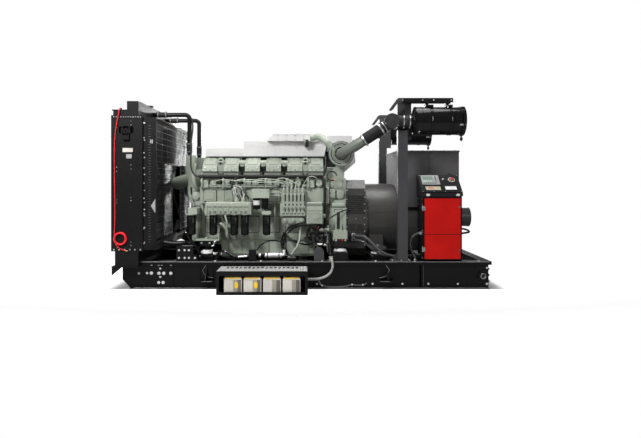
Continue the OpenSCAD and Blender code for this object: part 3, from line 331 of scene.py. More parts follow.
@dataclass(frozen=True)
class Enamel(Finish):
    """Sprayed paint on steel or a casting.

    Args:
        grain: depth of the surface's grain in metres; castings are coarser.
        dust: how much pale dust lies on what faces up.
        wear: how strongly the colour is mottled.
        mirror: the most that the bare paint mirrors.
    """

    grain: float = 0.0002
    dust: float = 0.25
    wear: float = 1.0
    mirror: float = 0.45

    def label(self) -> str:
        """A name with the grain in it as well."""
        return f"{super().label()}_{round(self.grain * 1e5):03d}_{round(self.dust * 100):02d}"

    def mixed(self, recipe: Recipe) -> None:
        """Mottled colour, orange peel, worn patches and dust on the upper faces.

        Args:
            recipe: the material to fill.
        """
        broad = recipe.cloud(2.3, 4.0)
        fine = recipe.cloud(38.0, 3.0)
        specks = recipe.cells(260.0).ramp(0.1, 0.22, 1.0, 0.0)
        base = recipe.mix(broad.ramp(0.35, 0.68), shade(self.colour, 0.9), shade(self.colour, 1.07, 0.001))
        base = recipe.mix(fine.ramp(0.52, 0.75, 0.0, 0.22 * self.wear), base, shade(self.colour, 0.72))
        _, _, up = recipe.facing()
        settled = up.ramp(0.55, 0.98) * recipe.cloud(7.0, 5.0).ramp(0.35, 0.7) * self.dust
        base = recipe.mix(settled, base, shade(self.colour, 0.8, 0.02))
        base = recipe.mix(specks * fine.ramp(0.5, 0.7) * (0.4 * self.wear), base, shade(self.colour, 1.5, 0.012))
        rough = 1.0 - self.gloss
        peel = recipe.cloud(150.0, 2.0)
        coarse = recipe.cloud(46.0, 5.0, 0.62)
        lay = recipe.bump(coarse, self.grain * 2.0 * self.wear)
        recipe.set(Base_Color=base,
                   Roughness=fine.ramp(0.3, 0.75, max(0.08, rough - 0.1), min(0.95, rough + 0.14)) + settled * 0.3,
                   Metallic=0.0, Coat_Weight=broad.ramp(0.2, 0.8, self.gloss * 0.3, self.gloss * 0.1),
                   Normal=recipe.bump(peel, self.grain, 0.6, lay))
        recipe.set(Coat_Roughness=0.18, Specular_IOR_Level=min(self.mirror, 0.1 + 4.5 * max(self.colour)))


@dataclass(frozen=True)
class BareMetal(Finish):
    """Zinc-plated, stainless or machined metal.

    Args:
        brushed: how deep the brushing is.
    """

    brushed: float = 0.4

    def mixed(self, recipe: Recipe) -> None:
        """Brushed streaks, smudges and small pits.

        Args:
            recipe: the material to fill.
        """
        streaks = recipe.cloud(60.0, 4.0, 0.7, (1.0, 9.0, 9.0))
        smudge = recipe.cloud(14.0, 4.0)
        pits = recipe.cells(420.0).ramp(0.05, 0.16, 1.0, 0.0)
        base = recipe.mix(smudge.ramp(0.35, 0.7), shade(self.colour, 0.78), shade(self.colour, 1.1))
        base = recipe.mix(pits * 0.4, base, shade(self.colour, 0.4))
        rough = 1.0 - self.gloss
        recipe.set(Base_Color=base, Metallic=smudge.ramp(0.2, 0.8, 1.0, 0.86),
                   Roughness=(streaks * 0.6 + smudge * 0.4).ramp(0.3, 0.7, max(0.05, rough - 0.12), rough + 0.15),
                   Normal=recipe.bump(streaks, 0.0002 * self.brushed, 0.5, recipe.bump(pits, 0.0001, 0.4)))


@dataclass(frozen=True)
class Rubber(Finish):
    """Rubber and soft black sheath."""

    def mixed(self, recipe: Recipe) -> None:
        """Matt bloom, moulding grain and scuffs.

        Args:
            recipe: the material to fill.
        """
        bloom = recipe.cloud(18.0, 5.0, 0.6)
        grain = recipe.cloud(320.0, 2.0)
        base = recipe.mix(bloom.ramp(0.4, 0.72), self.colour, shade(self.colour, 1.5, 0.006))
        base = recipe.mix(grain.ramp(0.58, 0.72, 0.0, 0.3), base, shade(self.colour, 2.0, 0.008))
        recipe.set(Base_Color=base, Roughness=bloom.ramp(0.3, 0.7, 0.92 - self.gloss * 0.6, 1.0 - self.gloss * 0.6),
                   Normal=recipe.bump(grain, 0.00025, 0.7, recipe.bump(bloom, 0.0006)))
        recipe.set(Specular_IOR_Level=0.35)


@dataclass(frozen=True)
class Plastic(Finish):
    """Moulded plastic: battery cases, knobs and plates."""

    def mixed(self, recipe: Recipe) -> None:
        """Fine moulded texture with slight clouding.

        Args:
            recipe: the material to fill.
        """
        cloud = recipe.cloud(9.0, 4.0)
        stipple = recipe.cells(700.0)
        smear = recipe.cloud(30.0, 5.0, 0.65, (1.0, 1.0, 0.25))
        base = recipe.mix(cloud.ramp(0.35, 0.7), shade(self.colour, 0.86), shade(self.colour, 1.06))
        base = recipe.mix(smear.ramp(0.56, 0.8, 0.0, 0.25), base, shade(self.colour, 0.62))
        rough = 1.0 - self.gloss
        recipe.set(Base_Color=base, Roughness=smear.ramp(0.3, 0.7, max(0.1, rough - 0.08), min(0.95, rough + 0.12)),
                   Normal=recipe.bump(stipple, 0.00012, 0.5, recipe.bump(cloud, 0.0008, 0.4)))


@dataclass(frozen=True)
class Lacquer(Finish):
    """Pressed sheet of a heat shield: pale lacquer with rolling marks."""

    def mixed(self, recipe: Recipe) -> None:
        """Long rolling streaks, handling marks and slight waves in the sheet.

        Args:
            recipe: the material to fill.
        """
        streaks = recipe.cloud(26.0, 5.0, 0.6, (0.15, 3.0, 3.0))
        marks_and_shade = recipe.cloud(5.0, 6.0, 0.6)
        waves = recipe.cloud(1.7, 2.0)
        base = recipe.mix(marks_and_shade.ramp(0.38, 0.72), shade(self.colour, 0.96), shade(self.colour, 1.03))
        base = recipe.mix(streaks.ramp(0.5, 0.75, 0.0, 0.2), base, shade(self.colour, 0.88))
        rough = 1.0 - self.gloss
        recipe.set(Base_Color=base, Metallic=0.0,
                   Roughness=streaks.ramp(0.3, 0.7, rough - 0.04, rough + 0.08),
                   Coat_Weight=marks_and_shade.ramp(0.3, 0.7, 0.15, 0.08),
                   Normal=recipe.bump(waves, 0.0006, 0.4, recipe.bump(streaks, 0.0001, 0.3)))


@dataclass(frozen=True)
class Finned(Finish):
    """A radiator core: crimped fins between flat tubes.

    Args:
        pitch: spacing of the tubes in metres.
    """

    pitch: float = 0.012

    def mixed(self, recipe: Recipe) -> None:
        """Shade painted dark in the gaps between the lighter tubes, with the crimped fins as fine waves.

        Args:
            recipe: the material to fill.
        """
        _, across, height = recipe.axes()
        gap = (across.repeat(self.pitch) - 0.5) * (across.repeat(self.pitch) - 0.5) * 4.0
        fins = (height.repeat(0.0035) - 0.5) * (height.repeat(0.0035) - 0.5) * 4.0
        tube = gap.ramp(0.45, 0.75)
        # the gaps between tubes are painted at half the colour as shade
        base = recipe.mix(tube, shade(self.colour, 0.5), shade(self.colour, 1.6, 0.01))
        base = recipe.mix(recipe.cloud(3.0, 5.0).ramp(0.45, 0.75, 0.0, 0.35), base, shade(self.colour, 1.2, 0.04))
        recipe.set(Base_Color=base, Metallic=0.25, Roughness=fins.ramp(0.0, 1.0, 0.62, 0.42),
                   Normal=recipe.bump(tube * 0.7 + fins * 0.3, 0.0015))


@dataclass(frozen=True)
class Punched(Finish):
    """Sheet punched with a regular field of small round holes.

    Args:
        pitch: spacing of the holes in metres.
        hole: radius of a hole as a share of the pitch.
        plane: the two axes that the holes are set out on.
    """

    pitch: float = 0.02
    hole: float = 0.3
    plane: tuple[int, int] = (0, 1)

    def mixed(self, recipe: Recipe) -> None:
        """Staggered holes painted dark as shade, with a lighter rim round each, in painted sheet.

        Args:
            recipe: the material to fill.
        """
        axes = recipe.axes()
        u, v = axes[self.plane[0]], axes[self.plane[1]]
        near_u, near_v = u.repeat(self.pitch) - 0.5, v.repeat(self.pitch) - 0.5
        reach = (near_u * near_u + near_v * near_v) ** 0.5
        hole = reach.ramp(self.hole * 0.85, self.hole, 1.0, 0.0)
        rim = reach.ramp(self.hole, self.hole * 1.5, 1.0, 0.0)
        cloud = recipe.cloud(12.0, 5.0)
        sheet = recipe.mix(cloud.ramp(0.35, 0.7), shade(self.colour, 0.8), shade(self.colour, 1.12))
        sheet = recipe.mix(rim * 0.45, sheet, shade(self.colour, 1.5, 0.05))
        # the holes are painted near black as shade
        recipe.set(Base_Color=recipe.mix(hole, sheet, shade(self.colour, 0.06)),
                   Metallic=0.3, Roughness=hole * 0.3 + cloud.ramp(0.3, 0.7, 0.35, 0.6),
                   Normal=recipe.bump(1.0 - hole, 0.002, 0.8))


@dataclass(frozen=True)
class Glow(Finish):
    """A lit lamp or screen.

    Args:
        strength: how strongly it glows.
    """

    strength: float = 1.0

    def mixed(self, recipe: Recipe) -> None:
        """Faint unevenness behind a clear front.

        Args:
            recipe: the material to fill.
        """
        cloud = recipe.cloud(60.0, 2.0)
        base = recipe.mix(cloud.ramp(0.3, 0.7), shade(self.colour, 0.8), self.colour)
        recipe.set(Base_Color=base, Roughness=cloud.ramp(0.3, 0.7, 0.12, 0.2),
                   Emission_Color=recipe.mix(cloud.ramp(0.3, 0.7), self.colour, shade(self.colour, 1.1)))
        recipe.set(Emission_Strength=self.strength)


SAGE = Enamel("engine_green", (0.2957, 0.3293, 0.2705), 0.52, 0.0006, 0.1)
SAGE_SMOOTH = Enamel("engine_green", (0.26, 0.288, 0.238), 0.6, 0.0002, 0.08)
# SAGE_PAINTED_LIGHT is the engine green lightened as painted light, for the oil pan that sits in shade low down.
SAGE_PAINTED_LIGHT = Enamel("engine_green", (0.47, 0.525, 0.43), 0.52, 0.0006, 0.1)
WET_HOSE = Enamel("hose_rubber", (0.006, 0.006, 0.006), 0.88, 0.0001, 0.0, 0.1, 0.9)
INTAKE = Enamel("turbo_grey", (0.115, 0.128, 0.109), 0.45, 0.0006, 0.05)
# PIT is near black with almost no reflection: painted shade in the rails' splice gap and the step plate's slots, and
# the radiator's dark port ring.
PIT = Enamel("skid_black", (0.0006, 0.0006, 0.0006), 0.2, 0.0001, 0.0, 0.1, 0.02)
BOLT_WHITE = Enamel("guard_wire", (0.6, 0.61, 0.6), 0.6, 0.0002, 0.0, 0.2)
# SHADOW is painted shade: a near-black engine green laid as slabs and rings where shade falls in gaps, grooves and
# round covers.
SHADOW = Enamel("engine_green", (0.02, 0.024, 0.019), 0.3, 0.0003, 0.0)
SKID = Enamel("skid_black", (0.0033, 0.003, 0.003), 0.62, 0.0003, 0.1)
SKID_LUG = Enamel("skid_black_lug", (0.0057, 0.0053, 0.0053), 0.6, 0.0003, 0.1)
BAY = Enamel("battery_box_black", (0.0046, 0.0046, 0.0046), 0.6, 0.0002, 0.12)
CHARCOAL = Enamel("radiator_charcoal", (0.0057, 0.0055, 0.0055), 0.55, 0.0002, 0.1)
GUARD = BareMetal("guard_wire", (0.04, 0.04, 0.042), 0.66)
FAN = Plastic("fan_black", (0.007, 0.007, 0.0075), 0.62)
TURBO = Enamel("turbo_grey", (0.275, 0.305, 0.255), 0.45, 0.0009, 0.06)
SHIELD = Lacquer("shield_grey", (0.576, 0.5696, 0.564), 0.55)
SPIN_ON = Enamel("filter_black", (0.005, 0.005, 0.005), 0.78, 0.0001, 0.0)
PIPE = Enamel("pipe_black", (0.0067, 0.0067, 0.0067), 0.66, 0.0001, 0.05)
MOUNT = Enamel("mount_black", (0.005, 0.005, 0.005), 0.55, 0.0004, 0.06)
ALTERNATOR = Enamel("alternator_grey", (0.0441, 0.0424, 0.0413), 0.6, 0.0002, 0.04, 0.25)
TERMINAL = Enamel("terminal_grey", (0.072, 0.069, 0.069), 0.3, 0.0002, 0.06, 0.4, 0.1)
POST = Enamel("frame_grey", (0.0384, 0.0384, 0.0409), 0.45, 0.0002, 0.05, 0.5)
AIR_FILTER = Enamel("air_filter_black", (0.005, 0.005, 0.0051), 0.86, 0.00003, 0.0, 0.1, 0.4)
ELBOW = Rubber("intake_dark", (0.015, 0.015, 0.0155), 0.45)
HOSE = Rubber("hose_rubber", (0.006, 0.006, 0.006), 0.5)
CABINET = Enamel("cabinet_black", (0.005, 0.005, 0.0055), 0.55, 0.0002, 0.1)
DOOR = Enamel("door_red", (0.44, 0.003, 0.0015), 0.3, 0.0001, 0.0, 0.1, 0.12)
CONSOLE = Enamel("console_black", (0.0105, 0.011, 0.0115), 0.52, 0.0002, 0.1)
RED_HOSE = Rubber("hose_red", (0.62, 0.011, 0.02), 0.6)
CONDUIT = Plastic("conduit_grey", (0.3, 0.3, 0.29), 0.45)
OIL_PIPE = Enamel("pipe_pale", (0.3528, 0.3864, 0.3234), 0.58, 0.0001, 0.0)
HEATER = Enamel("heater_black", (0.005, 0.005, 0.005), 0.55, 0.0003, 0.08)
CABLE = Rubber("cable_black", (0.005, 0.005, 0.005), 0.85)
LEAD = Enamel("cable_black", (0.07, 0.07, 0.072), 0.78, 0.0002, 0.0, 0.3, 0.9)
BATTERY = Plastic("battery_case", (0.6, 0.565, 0.51), 0.48)
ZINC = BareMetal("guard_wire", (0.7, 0.71, 0.7), 0.66)
STEEL = BareMetal("pipe_black", (0.56, 0.565, 0.57), 0.74)
DARK_STEEL = BareMetal("mount_black", (0.16, 0.16, 0.165), 0.6)
BRASS = BareMetal("hose_red", (0.62, 0.46, 0.2), 0.66)
FINS = Finned("radiator_fins", (0.02, 0.02, 0.022), 0.4)
WHITE = Plastic("shield_grey", (0.8, 0.8, 0.79), 0.55)
YELLOW = Plastic("battery_case", (0.88, 0.55, 0.01), 0.55)
STOP_RED = Plastic("door_red", (0.62, 0.008, 0.006), 0.7)
PANEL_GREY = Plastic("console_black", (0.3, 0.305, 0.31), 0.55)
SCREEN = Glow("console_black", (0.16, 0.2, 0.18), 0.85, 0.25)
LAMP_GREEN = Glow("console_black", (0.1, 0.75, 0.22), 0.85, 0.8)
LAMP_RED = Glow("console_black", (0.8, 0.05, 0.03), 0.85, 0.6)
# WORN_HIGHLIGHT_STEEL lightens the skid's edges, partly as wear and partly as painted highlight where the edges catch
# the light.
WORN_HIGHLIGHT_STEEL = Enamel("skid_black", (0.19, 0.194, 0.194), 0.5, 0.0002, 0.0, 0.3, 0.4)
# CASE_HALF_SHADE and CASE_SHADE are the battery case's colour darkened as painted shade on the right-hand part of each
# front, as if the cases were rounded.
CASE_HALF_SHADE = Plastic("battery_case", (0.33, 0.305, 0.265), 0.4)
CASE_SHADE = Plastic("battery_case", (0.12, 0.112, 0.095), 0.35)
STEP_PLATE = Punched("battery_box_black", (0.44, 0.44, 0.43), 0.5, 0.022, 0.3, (0, 1))
STEP_STUD = Enamel("battery_box_black", (0.52, 0.52, 0.51), 0.5, 0.0001)
MOUNT_BLOCK = Enamel("mount_black", (0.012, 0.011, 0.011), 0.55, 0.0002, 0.04)
HOLE_RIM = BareMetal("radiator_charcoal", (0.16, 0.16, 0.17), 0.6)
CORE_FIN = Enamel("radiator_fins", (0.03, 0.03, 0.032), 0.45, 0.0001, 0.2)
GUARD_GLOSS = Enamel("guard_wire", (0.012, 0.012, 0.013), 0.56, 0.0, 0.0, 0.1, 0.9)
CLAMP_GREY = Enamel("guard_wire", (0.185, 0.187, 0.185), 0.55, 0.0002, 0.0, 0.2)
SAGE_STUD = Enamel("engine_green", (0.3, 0.335, 0.275), 0.5, 0.0001, 0.0)
SAGE_BOLT = Enamel("engine_green", (0.33, 0.368, 0.302), 0.55, 0.0001, 0.0)
# SAGE_PAINTED_SHADE is a dark engine green painted as shade under and between the filter header's ribs.
SAGE_PAINTED_SHADE = Enamel("engine_green", (0.11, 0.126, 0.102), 0.35, 0.0002, 0.0)
LINE_PALE = Enamel("pipe_pale", (0.46, 0.5, 0.43), 0.65, 0.0001, 0.0)
WIRE_PALE = Enamel("pipe_pale", (0.62, 0.65, 0.58), 0.5, 0.0001, 0.0)
DRAIN_GREY = Enamel("pipe_pale", (0.26, 0.28, 0.24), 0.6, 0.0001, 0.0)
HEATER_BRIGHT = BareMetal("pipe_black", (0.72, 0.73, 0.72), 0.5)
TURBO_PALE = Enamel("turbo_grey", (0.235, 0.26, 0.23), 0.6, 0.0002, 0.0)
TURBO_BOLT = BareMetal("mount_black", (0.34, 0.35, 0.33), 0.55)
LOUVRE_DARK = Plastic("alternator_grey", (0.006, 0.006, 0.006), 0.2)
STRIP_CREAM = Plastic("battery_case", (0.46, 0.42, 0.3), 0.5)
STOP_RING = Plastic("battery_case", (0.52, 0.46, 0.38), 0.5)


# ---------------------------------------------------------------- meshes


def added(name: str, data: bpy.types.ID) -> bpy.types.Object:
    """Puts data into the scene as an object.

    Args:
        name: the object's name.
        data: its mesh, camera or light.

    Returns:
        The object.
    """
    made = bpy.data.objects.new(name, data)
    bpy.context.scene.collection.objects.link(made)
    return made


def across(direction: Vector) -> tuple[Vector, Vector]:
    """Finds two directions square to the given one and to each other.

    Args:
        direction: a direction of length one.

    Returns:
        The two directions.
    """
    helper = Vector((0.0, 0.0, 1.0)) if abs(direction.z) < 0.9 else Vector((1.0, 0.0, 0.0))
    first = direction.cross(helper).normalized()
    return first, direction.cross(first).normalized()


def spoke(u: Vector, v: Vector, turn: float) -> Vector:
    """The direction that lies a turn in radians from u towards v."""
    return math.cos(turn) * u + math.sin(turn) * v


def whole_turn(count: int) -> list[float]:
    """A full turn in equal steps, in radians."""
    return [2 * math.pi * i / count for i in range(count)]


def mirrored(points: Iterable[Point]) -> list[Vector]:
    """The same points on the other side of the set's centreline."""
    return [Vector((p[0], -p[1], p[2])) for p in points]


def smooth_route(points: Sequence[Point], steps: int) -> list[Vector]:
    """A Catmull-Rom curve through the points.

    Args:
        points: the points that the curve passes through.
        steps: curve points for each span.

    Returns:
        The curve's points, ends included.
    """
    p = [Vector(q) for q in points]
    out: list[Vector] = []
    for i in range(len(p) - 1):
        a, b, c, d = p[max(i - 1, 0)], p[i], p[i + 1], p[min(i + 2, len(p) - 1)]
        for k in range(steps):
            t = k / steps
            out.append(0.5 * (2 * b + (c - a) * t + (2 * a - 5 * b + 4 * c - d) * t * t
                              + (3 * b - a - 3 * c + d) * t * t * t))
    out.append(p[-1])
    return out


class Form:
    """A mesh while it is put together, with a finish for each part of it."""

    def __init__(self) -> None:
        """Starts an empty mesh."""
        self.bm = bmesh.new()
        self.finishes: list[Finish] = []
        self.current = 0

    def use(self, finish: Finish) -> "Form":
        """Gives this finish to what is added from here on.

        Args:
            finish: the finish.

        Returns:
            The form itself.
        """
        if finish not in self.finishes:
            self.finishes.append(finish)
        self.current = self.finishes.index(finish)
        return self

    def _faces(self, corners: Sequence[Vector], faces: Iterable[Sequence[int]]) -> list[bmesh.types.BMFace]:
        """Adds corners and faces.

        Args:
            corners: the corners.
            faces: each face's corners by number.

        Returns:
            The faces.
        """
        verts = [self.bm.verts.new(c) for c in corners]
        made = []
        for face in faces:
            made.append(self.bm.faces.new([verts[i] for i in face]))
            made[-1].material_index = self.current
        return made

    def _ring(self, centre: Vector, u: Vector, v: Vector, radius: float, sides: int) -> list[bmesh.types.BMVert]:
        """Corners in a circle about a centre."""
        return [self.bm.verts.new(centre + radius * spoke(u, v, a)) for a in whole_turn(sides)]

    def _skin(self, low_ring: list[bmesh.types.BMVert], high_ring: list[bmesh.types.BMVert]) -> None:
        """Joins two rings of corners with four-sided faces."""
        count = len(low_ring)
        for k in range(count):
            m = (k + 1) % count
            face = self.bm.faces.new([low_ring[k], low_ring[m], high_ring[m], high_ring[k]])
            face.material_index = self.current

    def prism(self, outline: Sequence[Point], depth: Point, bevel: float = 0.0) -> None:
        """A flat outline drawn out along a vector, with its edges broken.

        Args:
            outline: the corners in order.
            depth: how far and which way it is drawn out.
            bevel: width of the broken edges.
        """
        n = len(outline)
        corners = [Vector(c) for c in outline] + [Vector(c) + Vector(depth) for c in outline]
        faces = [list(range(n)), list(range(2 * n - 1, n - 1, -1))]
        faces += [[i, (i + 1) % n, (i + 1) % n + n, i + n] for i in range(n)]
        made = self._faces(corners, faces)
        if bevel > 0:
            edges = list(dict.fromkeys(e for f in made for e in f.edges))
            result = bmesh.ops.bevel(self.bm, geom=edges, offset=bevel, segments=1, affect="EDGES", profile=0.5)
            for face in result["faces"]:
                face.material_index = self.current

    def block(self, low: Point, high: Point, bevel: float = 0.002) -> None:
        """A box between two corners with broken edges.

        Args:
            low: one corner.
            high: the corner across from it.
            bevel: width of the broken edges.
        """
        x0, y0, z0 = (min(a, b) for a, b in zip(low, high))
        x1, y1, z1 = (max(a, b) for a, b in zip(low, high))
        size = min(x1 - x0, y1 - y0, z1 - z0)
        self.prism([(x0, y0, z0), (x1, y0, z0), (x1, y1, z0), (x0, y1, z0)], (0, 0, z1 - z0), min(bevel, size * 0.3))

    def slab(self, centre: Point, u: Vector, v: Vector, thick: Vector, corner: float = 0.0,
             bevel: float = 0.001) -> None:
        """A plate with rounded corners.

        Args:
            centre: the middle of its back face.
            u: half its width.
            v: half its height.
            thick: its thickness as a vector.
            corner: radius of its corners.
            bevel: width of the broken edges.
        """
        c = Vector(centre)
        if corner <= 0:
            outline = [c - u - v, c + u - v, c + u + v, c - u + v]
        else:
            outline = []
            un, vn = u.normalized(), v.normalized()
            for k, (a, b) in enumerate([(1, 1), (-1, 1), (-1, -1), (1, -1)]):
                middle = c + a * (u - un * corner) + b * (v - vn * corner)
                for step in range(5):
                    outline.append(middle + corner * spoke(un, vn, math.radians(90 * k + 22.5 * step)))
        self.prism(outline, thick, bevel)

    def lathe(self, start: Point, direction: Vector, profile: Sequence[tuple[float, float]], sides: int = 28) -> None:
        """A turned shape.

        Args:
            start: a point on its axis.
            direction: which way the axis runs.
            profile: distance along the axis and radius, in order; radius 0 closes an end in a point.
            sides: number of sides.
        """
        d = direction.normalized()
        u, v = across(d)
        rings: list[list[bmesh.types.BMVert]] = []
        for along, radius in profile:
            centre = Vector(start) + d * along
            if radius <= 1e-6:
                rings.append([self.bm.verts.new(centre)])
            else:
                rings.append(self._ring(centre, u, v, radius, sides))
        for low, high in zip(rings, rings[1:]):
            for i in range(sides):
                j = (i + 1) % sides
                corners = [low[i % len(low)], low[j % len(low)], high[j % len(high)], high[i % len(high)]]
                unique = list(dict.fromkeys(corners))
                if len(unique) > 2:
                    self.bm.faces.new(unique).material_index = self.current
        for ring in (rings[0], rings[-1]):
            if len(ring) > 1:
                self.bm.faces.new(ring).material_index = self.current

    def drum(self, start: Point, end: Point, radius: float, sides: int = 24, edge: float = 0.002) -> None:
        """A round bar between two points with broken edges.

        Args:
            start: the middle of one end.
            end: the middle of the other end.
            radius: its radius.
            sides: number of sides.
            edge: width of the broken edges.
        """
        along = Vector(end) - Vector(start)
        length = along.length
        e = min(edge, radius * 0.3, length * 0.3)
        self.lathe(start, along, [(0, radius - e), (e, radius), (length - e, radius), (length, radius - e)], sides)

    def band(self, centre: Point, direction: Vector, inner: float, outer: float, width: float, sides: int = 32) -> None:
        """A flat hoop round an axis: a clamp, flange or collar.

        Args:
            centre: its middle.
            direction: which way its axis runs.
            inner: its inside radius.
            outer: its outside radius.
            width: its width along the axis.
            sides: number of sides.
        """
        d = direction.normalized()
        u, v = across(d)
        e = min(0.001, (outer - inner) * 0.3, width * 0.2)
        loop = [(-width / 2, inner), (width / 2, inner), (width / 2, outer - e), (width / 2 - e, outer),
                (-width / 2 + e, outer), (-width / 2, outer - e)]
        rings = [[self.bm.verts.new(Vector(centre) + d * a + r * spoke(u, v, t)) for a, r in loop]
                 for t in whole_turn(sides)]
        for i in range(sides):
            self._skin(rings[i], rings[(i + 1) % sides])

    def tube(self, points: Sequence[Point], radius: float, sides: int = 10, closed: bool = False,
             radii: Sequence[float] | None = None) -> None:
        """A round tube that follows points without twisting.

        Args:
            points: its centreline.
            radius: its radius.
            sides: number of sides.
            closed: whether it joins up with itself.
            radii: a radius for each point, in place of one for all.
        """
        p = [Vector(q) for q in points]
        n = len(p)
        rings = []
        u: Vector | None = None
        for i, here in enumerate(p):
            before = p[(i - 1) % n] if closed or i else here
            after = p[(i + 1) % n] if closed or i < n - 1 else here
            d = (after - before).normalized()
            if u is None:
                u = across(d)[0]
            u = (u - d * u.dot(d)).normalized()
            v = d.cross(u)
            r = radii[i] if radii else radius
            rings.append(self._ring(here, u, v, r, sides))
        for i in range(n if closed else n - 1):
            self._skin(rings[i], rings[(i + 1) % n])
        if not closed:
            for ring in (rings[0], rings[-1]):
                self.bm.faces.new(ring).material_index = self.current

    def bend(self, points: Sequence[Point], steps: int, radius: float, sides: int) -> None:
        """A round tube on a smooth curve through the points, with so many steps for each span."""
        self.tube(smooth_route(points, steps), radius, sides)

    def piece(self, name: str, body: str = "genset", angle: float = 32.0) -> bpy.types.Object:
        """Turns the form into a piece of the set.

        Args:
            name: the piece's name.
            body: the body it moves with.
            angle: edges sharper than this stay sharp, in degrees.

        Returns:
            The piece, riding on its body and with its finish's slot named.
        """
        bmesh.ops.recalc_face_normals(self.bm, faces=self.bm.faces)
        limit = math.radians(angle)
        for face in self.bm.faces:
            face.smooth = True
        for edge in self.bm.edges:
            edge.smooth = len(edge.link_faces) == 2 and edge.calc_face_angle(0.0) < limit
        mesh = bpy.data.meshes.new(name)
        self.bm.to_mesh(mesh)
        self.bm.free()
        for finish in self.finishes:
            mesh.materials.append(finish.material())
        made = added(name, mesh)
        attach(made, body)
        LOG.info("made %s with %d faces on %s", name, len(mesh.polygons), body)
        return made


# ---------------------------------------------------------------- repeats


class Head(Enum):
    """The kinds of small fastener."""

    HEX = "hex bolt on a washer"
    DOME = "round rivet"
    SOCKET = "cap screw"


# The steps of a fastener from the washer up: sides, width, height and place, as shares of its radius and height.
HEAD_STEPS: dict[Head, tuple[tuple[int, float, float, float], ...]] = {
    Head.HEX: ((12, 1.28, 0.28, 0.1), (6, 1.0, 0.8, 0.5), (8, 0.5, 0.3, 0.95)),
    Head.SOCKET: ((12, 1.3, 0.2, 0.08), (12, 1.0, 0.9, 0.5)),
}


class NodeTree:
    """A Geometry Nodes tree while it is put together."""

    def __init__(self, name: str, inputs: Sequence[tuple[str, str]]) -> None:
        """Starts a tree with its named inputs, after the geometry that it works on.

        Args:
            name: the tree's name.
            inputs: each input's name and socket type.
        """
        self.tree = bpy.data.node_groups.new(name, "GeometryNodeTree")
        face = self.tree.interface
        face.new_socket(name="Geometry", in_out="INPUT", socket_type="NodeSocketGeometry")
        self.ids: dict[str, str] = {}
        for label, kind in inputs:
            self.ids[label] = face.new_socket(name=label, in_out="INPUT", socket_type=kind).identifier
        face.new_socket(name="Geometry", in_out="OUTPUT", socket_type="NodeSocketGeometry")
        self.given = self.tree.nodes.new("NodeGroupInput")
        self.result = self.tree.nodes.new("NodeGroupOutput")

    def asks(self, label: str) -> bpy.types.NodeSocket:
        """The tree's own input of that name."""
        return self.given.outputs[label]

    def node(self, kind: str, settings: dict[str, object] | None = None,
             inputs: dict[object, object] | None = None, output: object = 0) -> bpy.types.NodeSocket:
        """Adds a node.

        Args:
            kind: the node's type.
            settings: properties to set first.
            inputs: values or sockets by name or number.
            output: which output to give.

        Returns:
            The output's socket.
        """
        made = self.tree.nodes.new(kind)
        for name, value in (settings or {}).items():
            setattr(made, name, value)
        for name, value in (inputs or {}).items():
            for one in value if isinstance(value, list) else [value]:
                if isinstance(one, bpy.types.NodeSocket):
                    self.tree.links.new(one, made.inputs[name])
                else:
                    made.inputs[name].default_value = one
        return made.outputs[output]

    def sum(self, operation: str, first: object, second: object) -> bpy.types.NodeSocket:
        """One Math node on two values or sockets."""
        return self.node("ShaderNodeMath", {"operation": operation}, {0: first, 1: second})

    def close(self, shape: bpy.types.NodeSocket, finish: str = "Finish") -> "NodeTree":
        """Realizes the instances, sets the material and ends the tree.

        Args:
            shape: the tree's instances.
            finish: name of the input that holds the material.

        Returns:
            The tree itself.
        """
        real = self.node("GeometryNodeRealizeInstances", None, {"Geometry": shape})
        painted = self.node("GeometryNodeSetMaterial", None, {"Geometry": real, "Material": self.asks(finish)})
        self.tree.links.new(painted, self.result.inputs[0])
        return self

    def grow(self, name: str, seed: bpy.types.Mesh, body: str, finish: Finish, **values: object) -> bpy.types.Object:
        """Runs the tree on a mesh and keeps the result as a plain piece.

        Args:
            name: the piece's name.
            seed: the mesh that the tree works on.
            body: the body that the piece moves with.
            finish: the piece's finish.
            values: the tree's inputs; an underscore in a name stands for a space.

        Returns:
            The piece.
        """
        made = added(name, seed)
        modifier = made.modifiers.new("growth", "NODES")
        modifier.node_group = self.tree
        for label, value in values.items():
            modifier[self.ids[label.replace("_", " ")]] = value
        modifier[self.ids["Finish"]] = finish.material()
        bpy.context.view_layer.update()
        graph = bpy.context.evaluated_depsgraph_get()
        mesh = bpy.data.meshes.new_from_object(made.evaluated_get(graph))
        made.modifiers.clear()
        made.data = mesh
        mesh.name = name
        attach(made, body)
        LOG.info("grew %s with %d faces on %s", name, len(mesh.polygons), body)
        return made


def _facing_turn(tree: NodeTree, axis: str = "Z") -> bpy.types.NodeSocket:
    """The turn that points an instance's axis along each point's facing."""
    facing = tree.node("GeometryNodeInputNamedAttribute", {"data_type": "FLOAT_VECTOR"}, {"Name": "facing"})
    return tree.node("FunctionNodeAlignRotationToVector", {"axis": axis}, {"Vector": facing})


def _standing(tree: NodeTree, sides: int, radius: object, depth: object, lift: object) -> bpy.types.NodeSocket:
    """Makes a short cylinder that stands on its point.

    Args:
        tree: the tree to add it to.
        sides: number of sides.
        radius: its radius.
        depth: its height.
        lift: height of its middle.

    Returns:
        The cylinder's socket.
    """
    solid = tree.node("GeometryNodeMeshCylinder", None, {"Vertices": sides, "Radius": radius, "Depth": depth}, "Mesh")
    move = tree.node("ShaderNodeCombineXYZ", None, {"Z": lift})
    return tree.node("GeometryNodeTransform", None, {"Geometry": solid, "Translation": move})


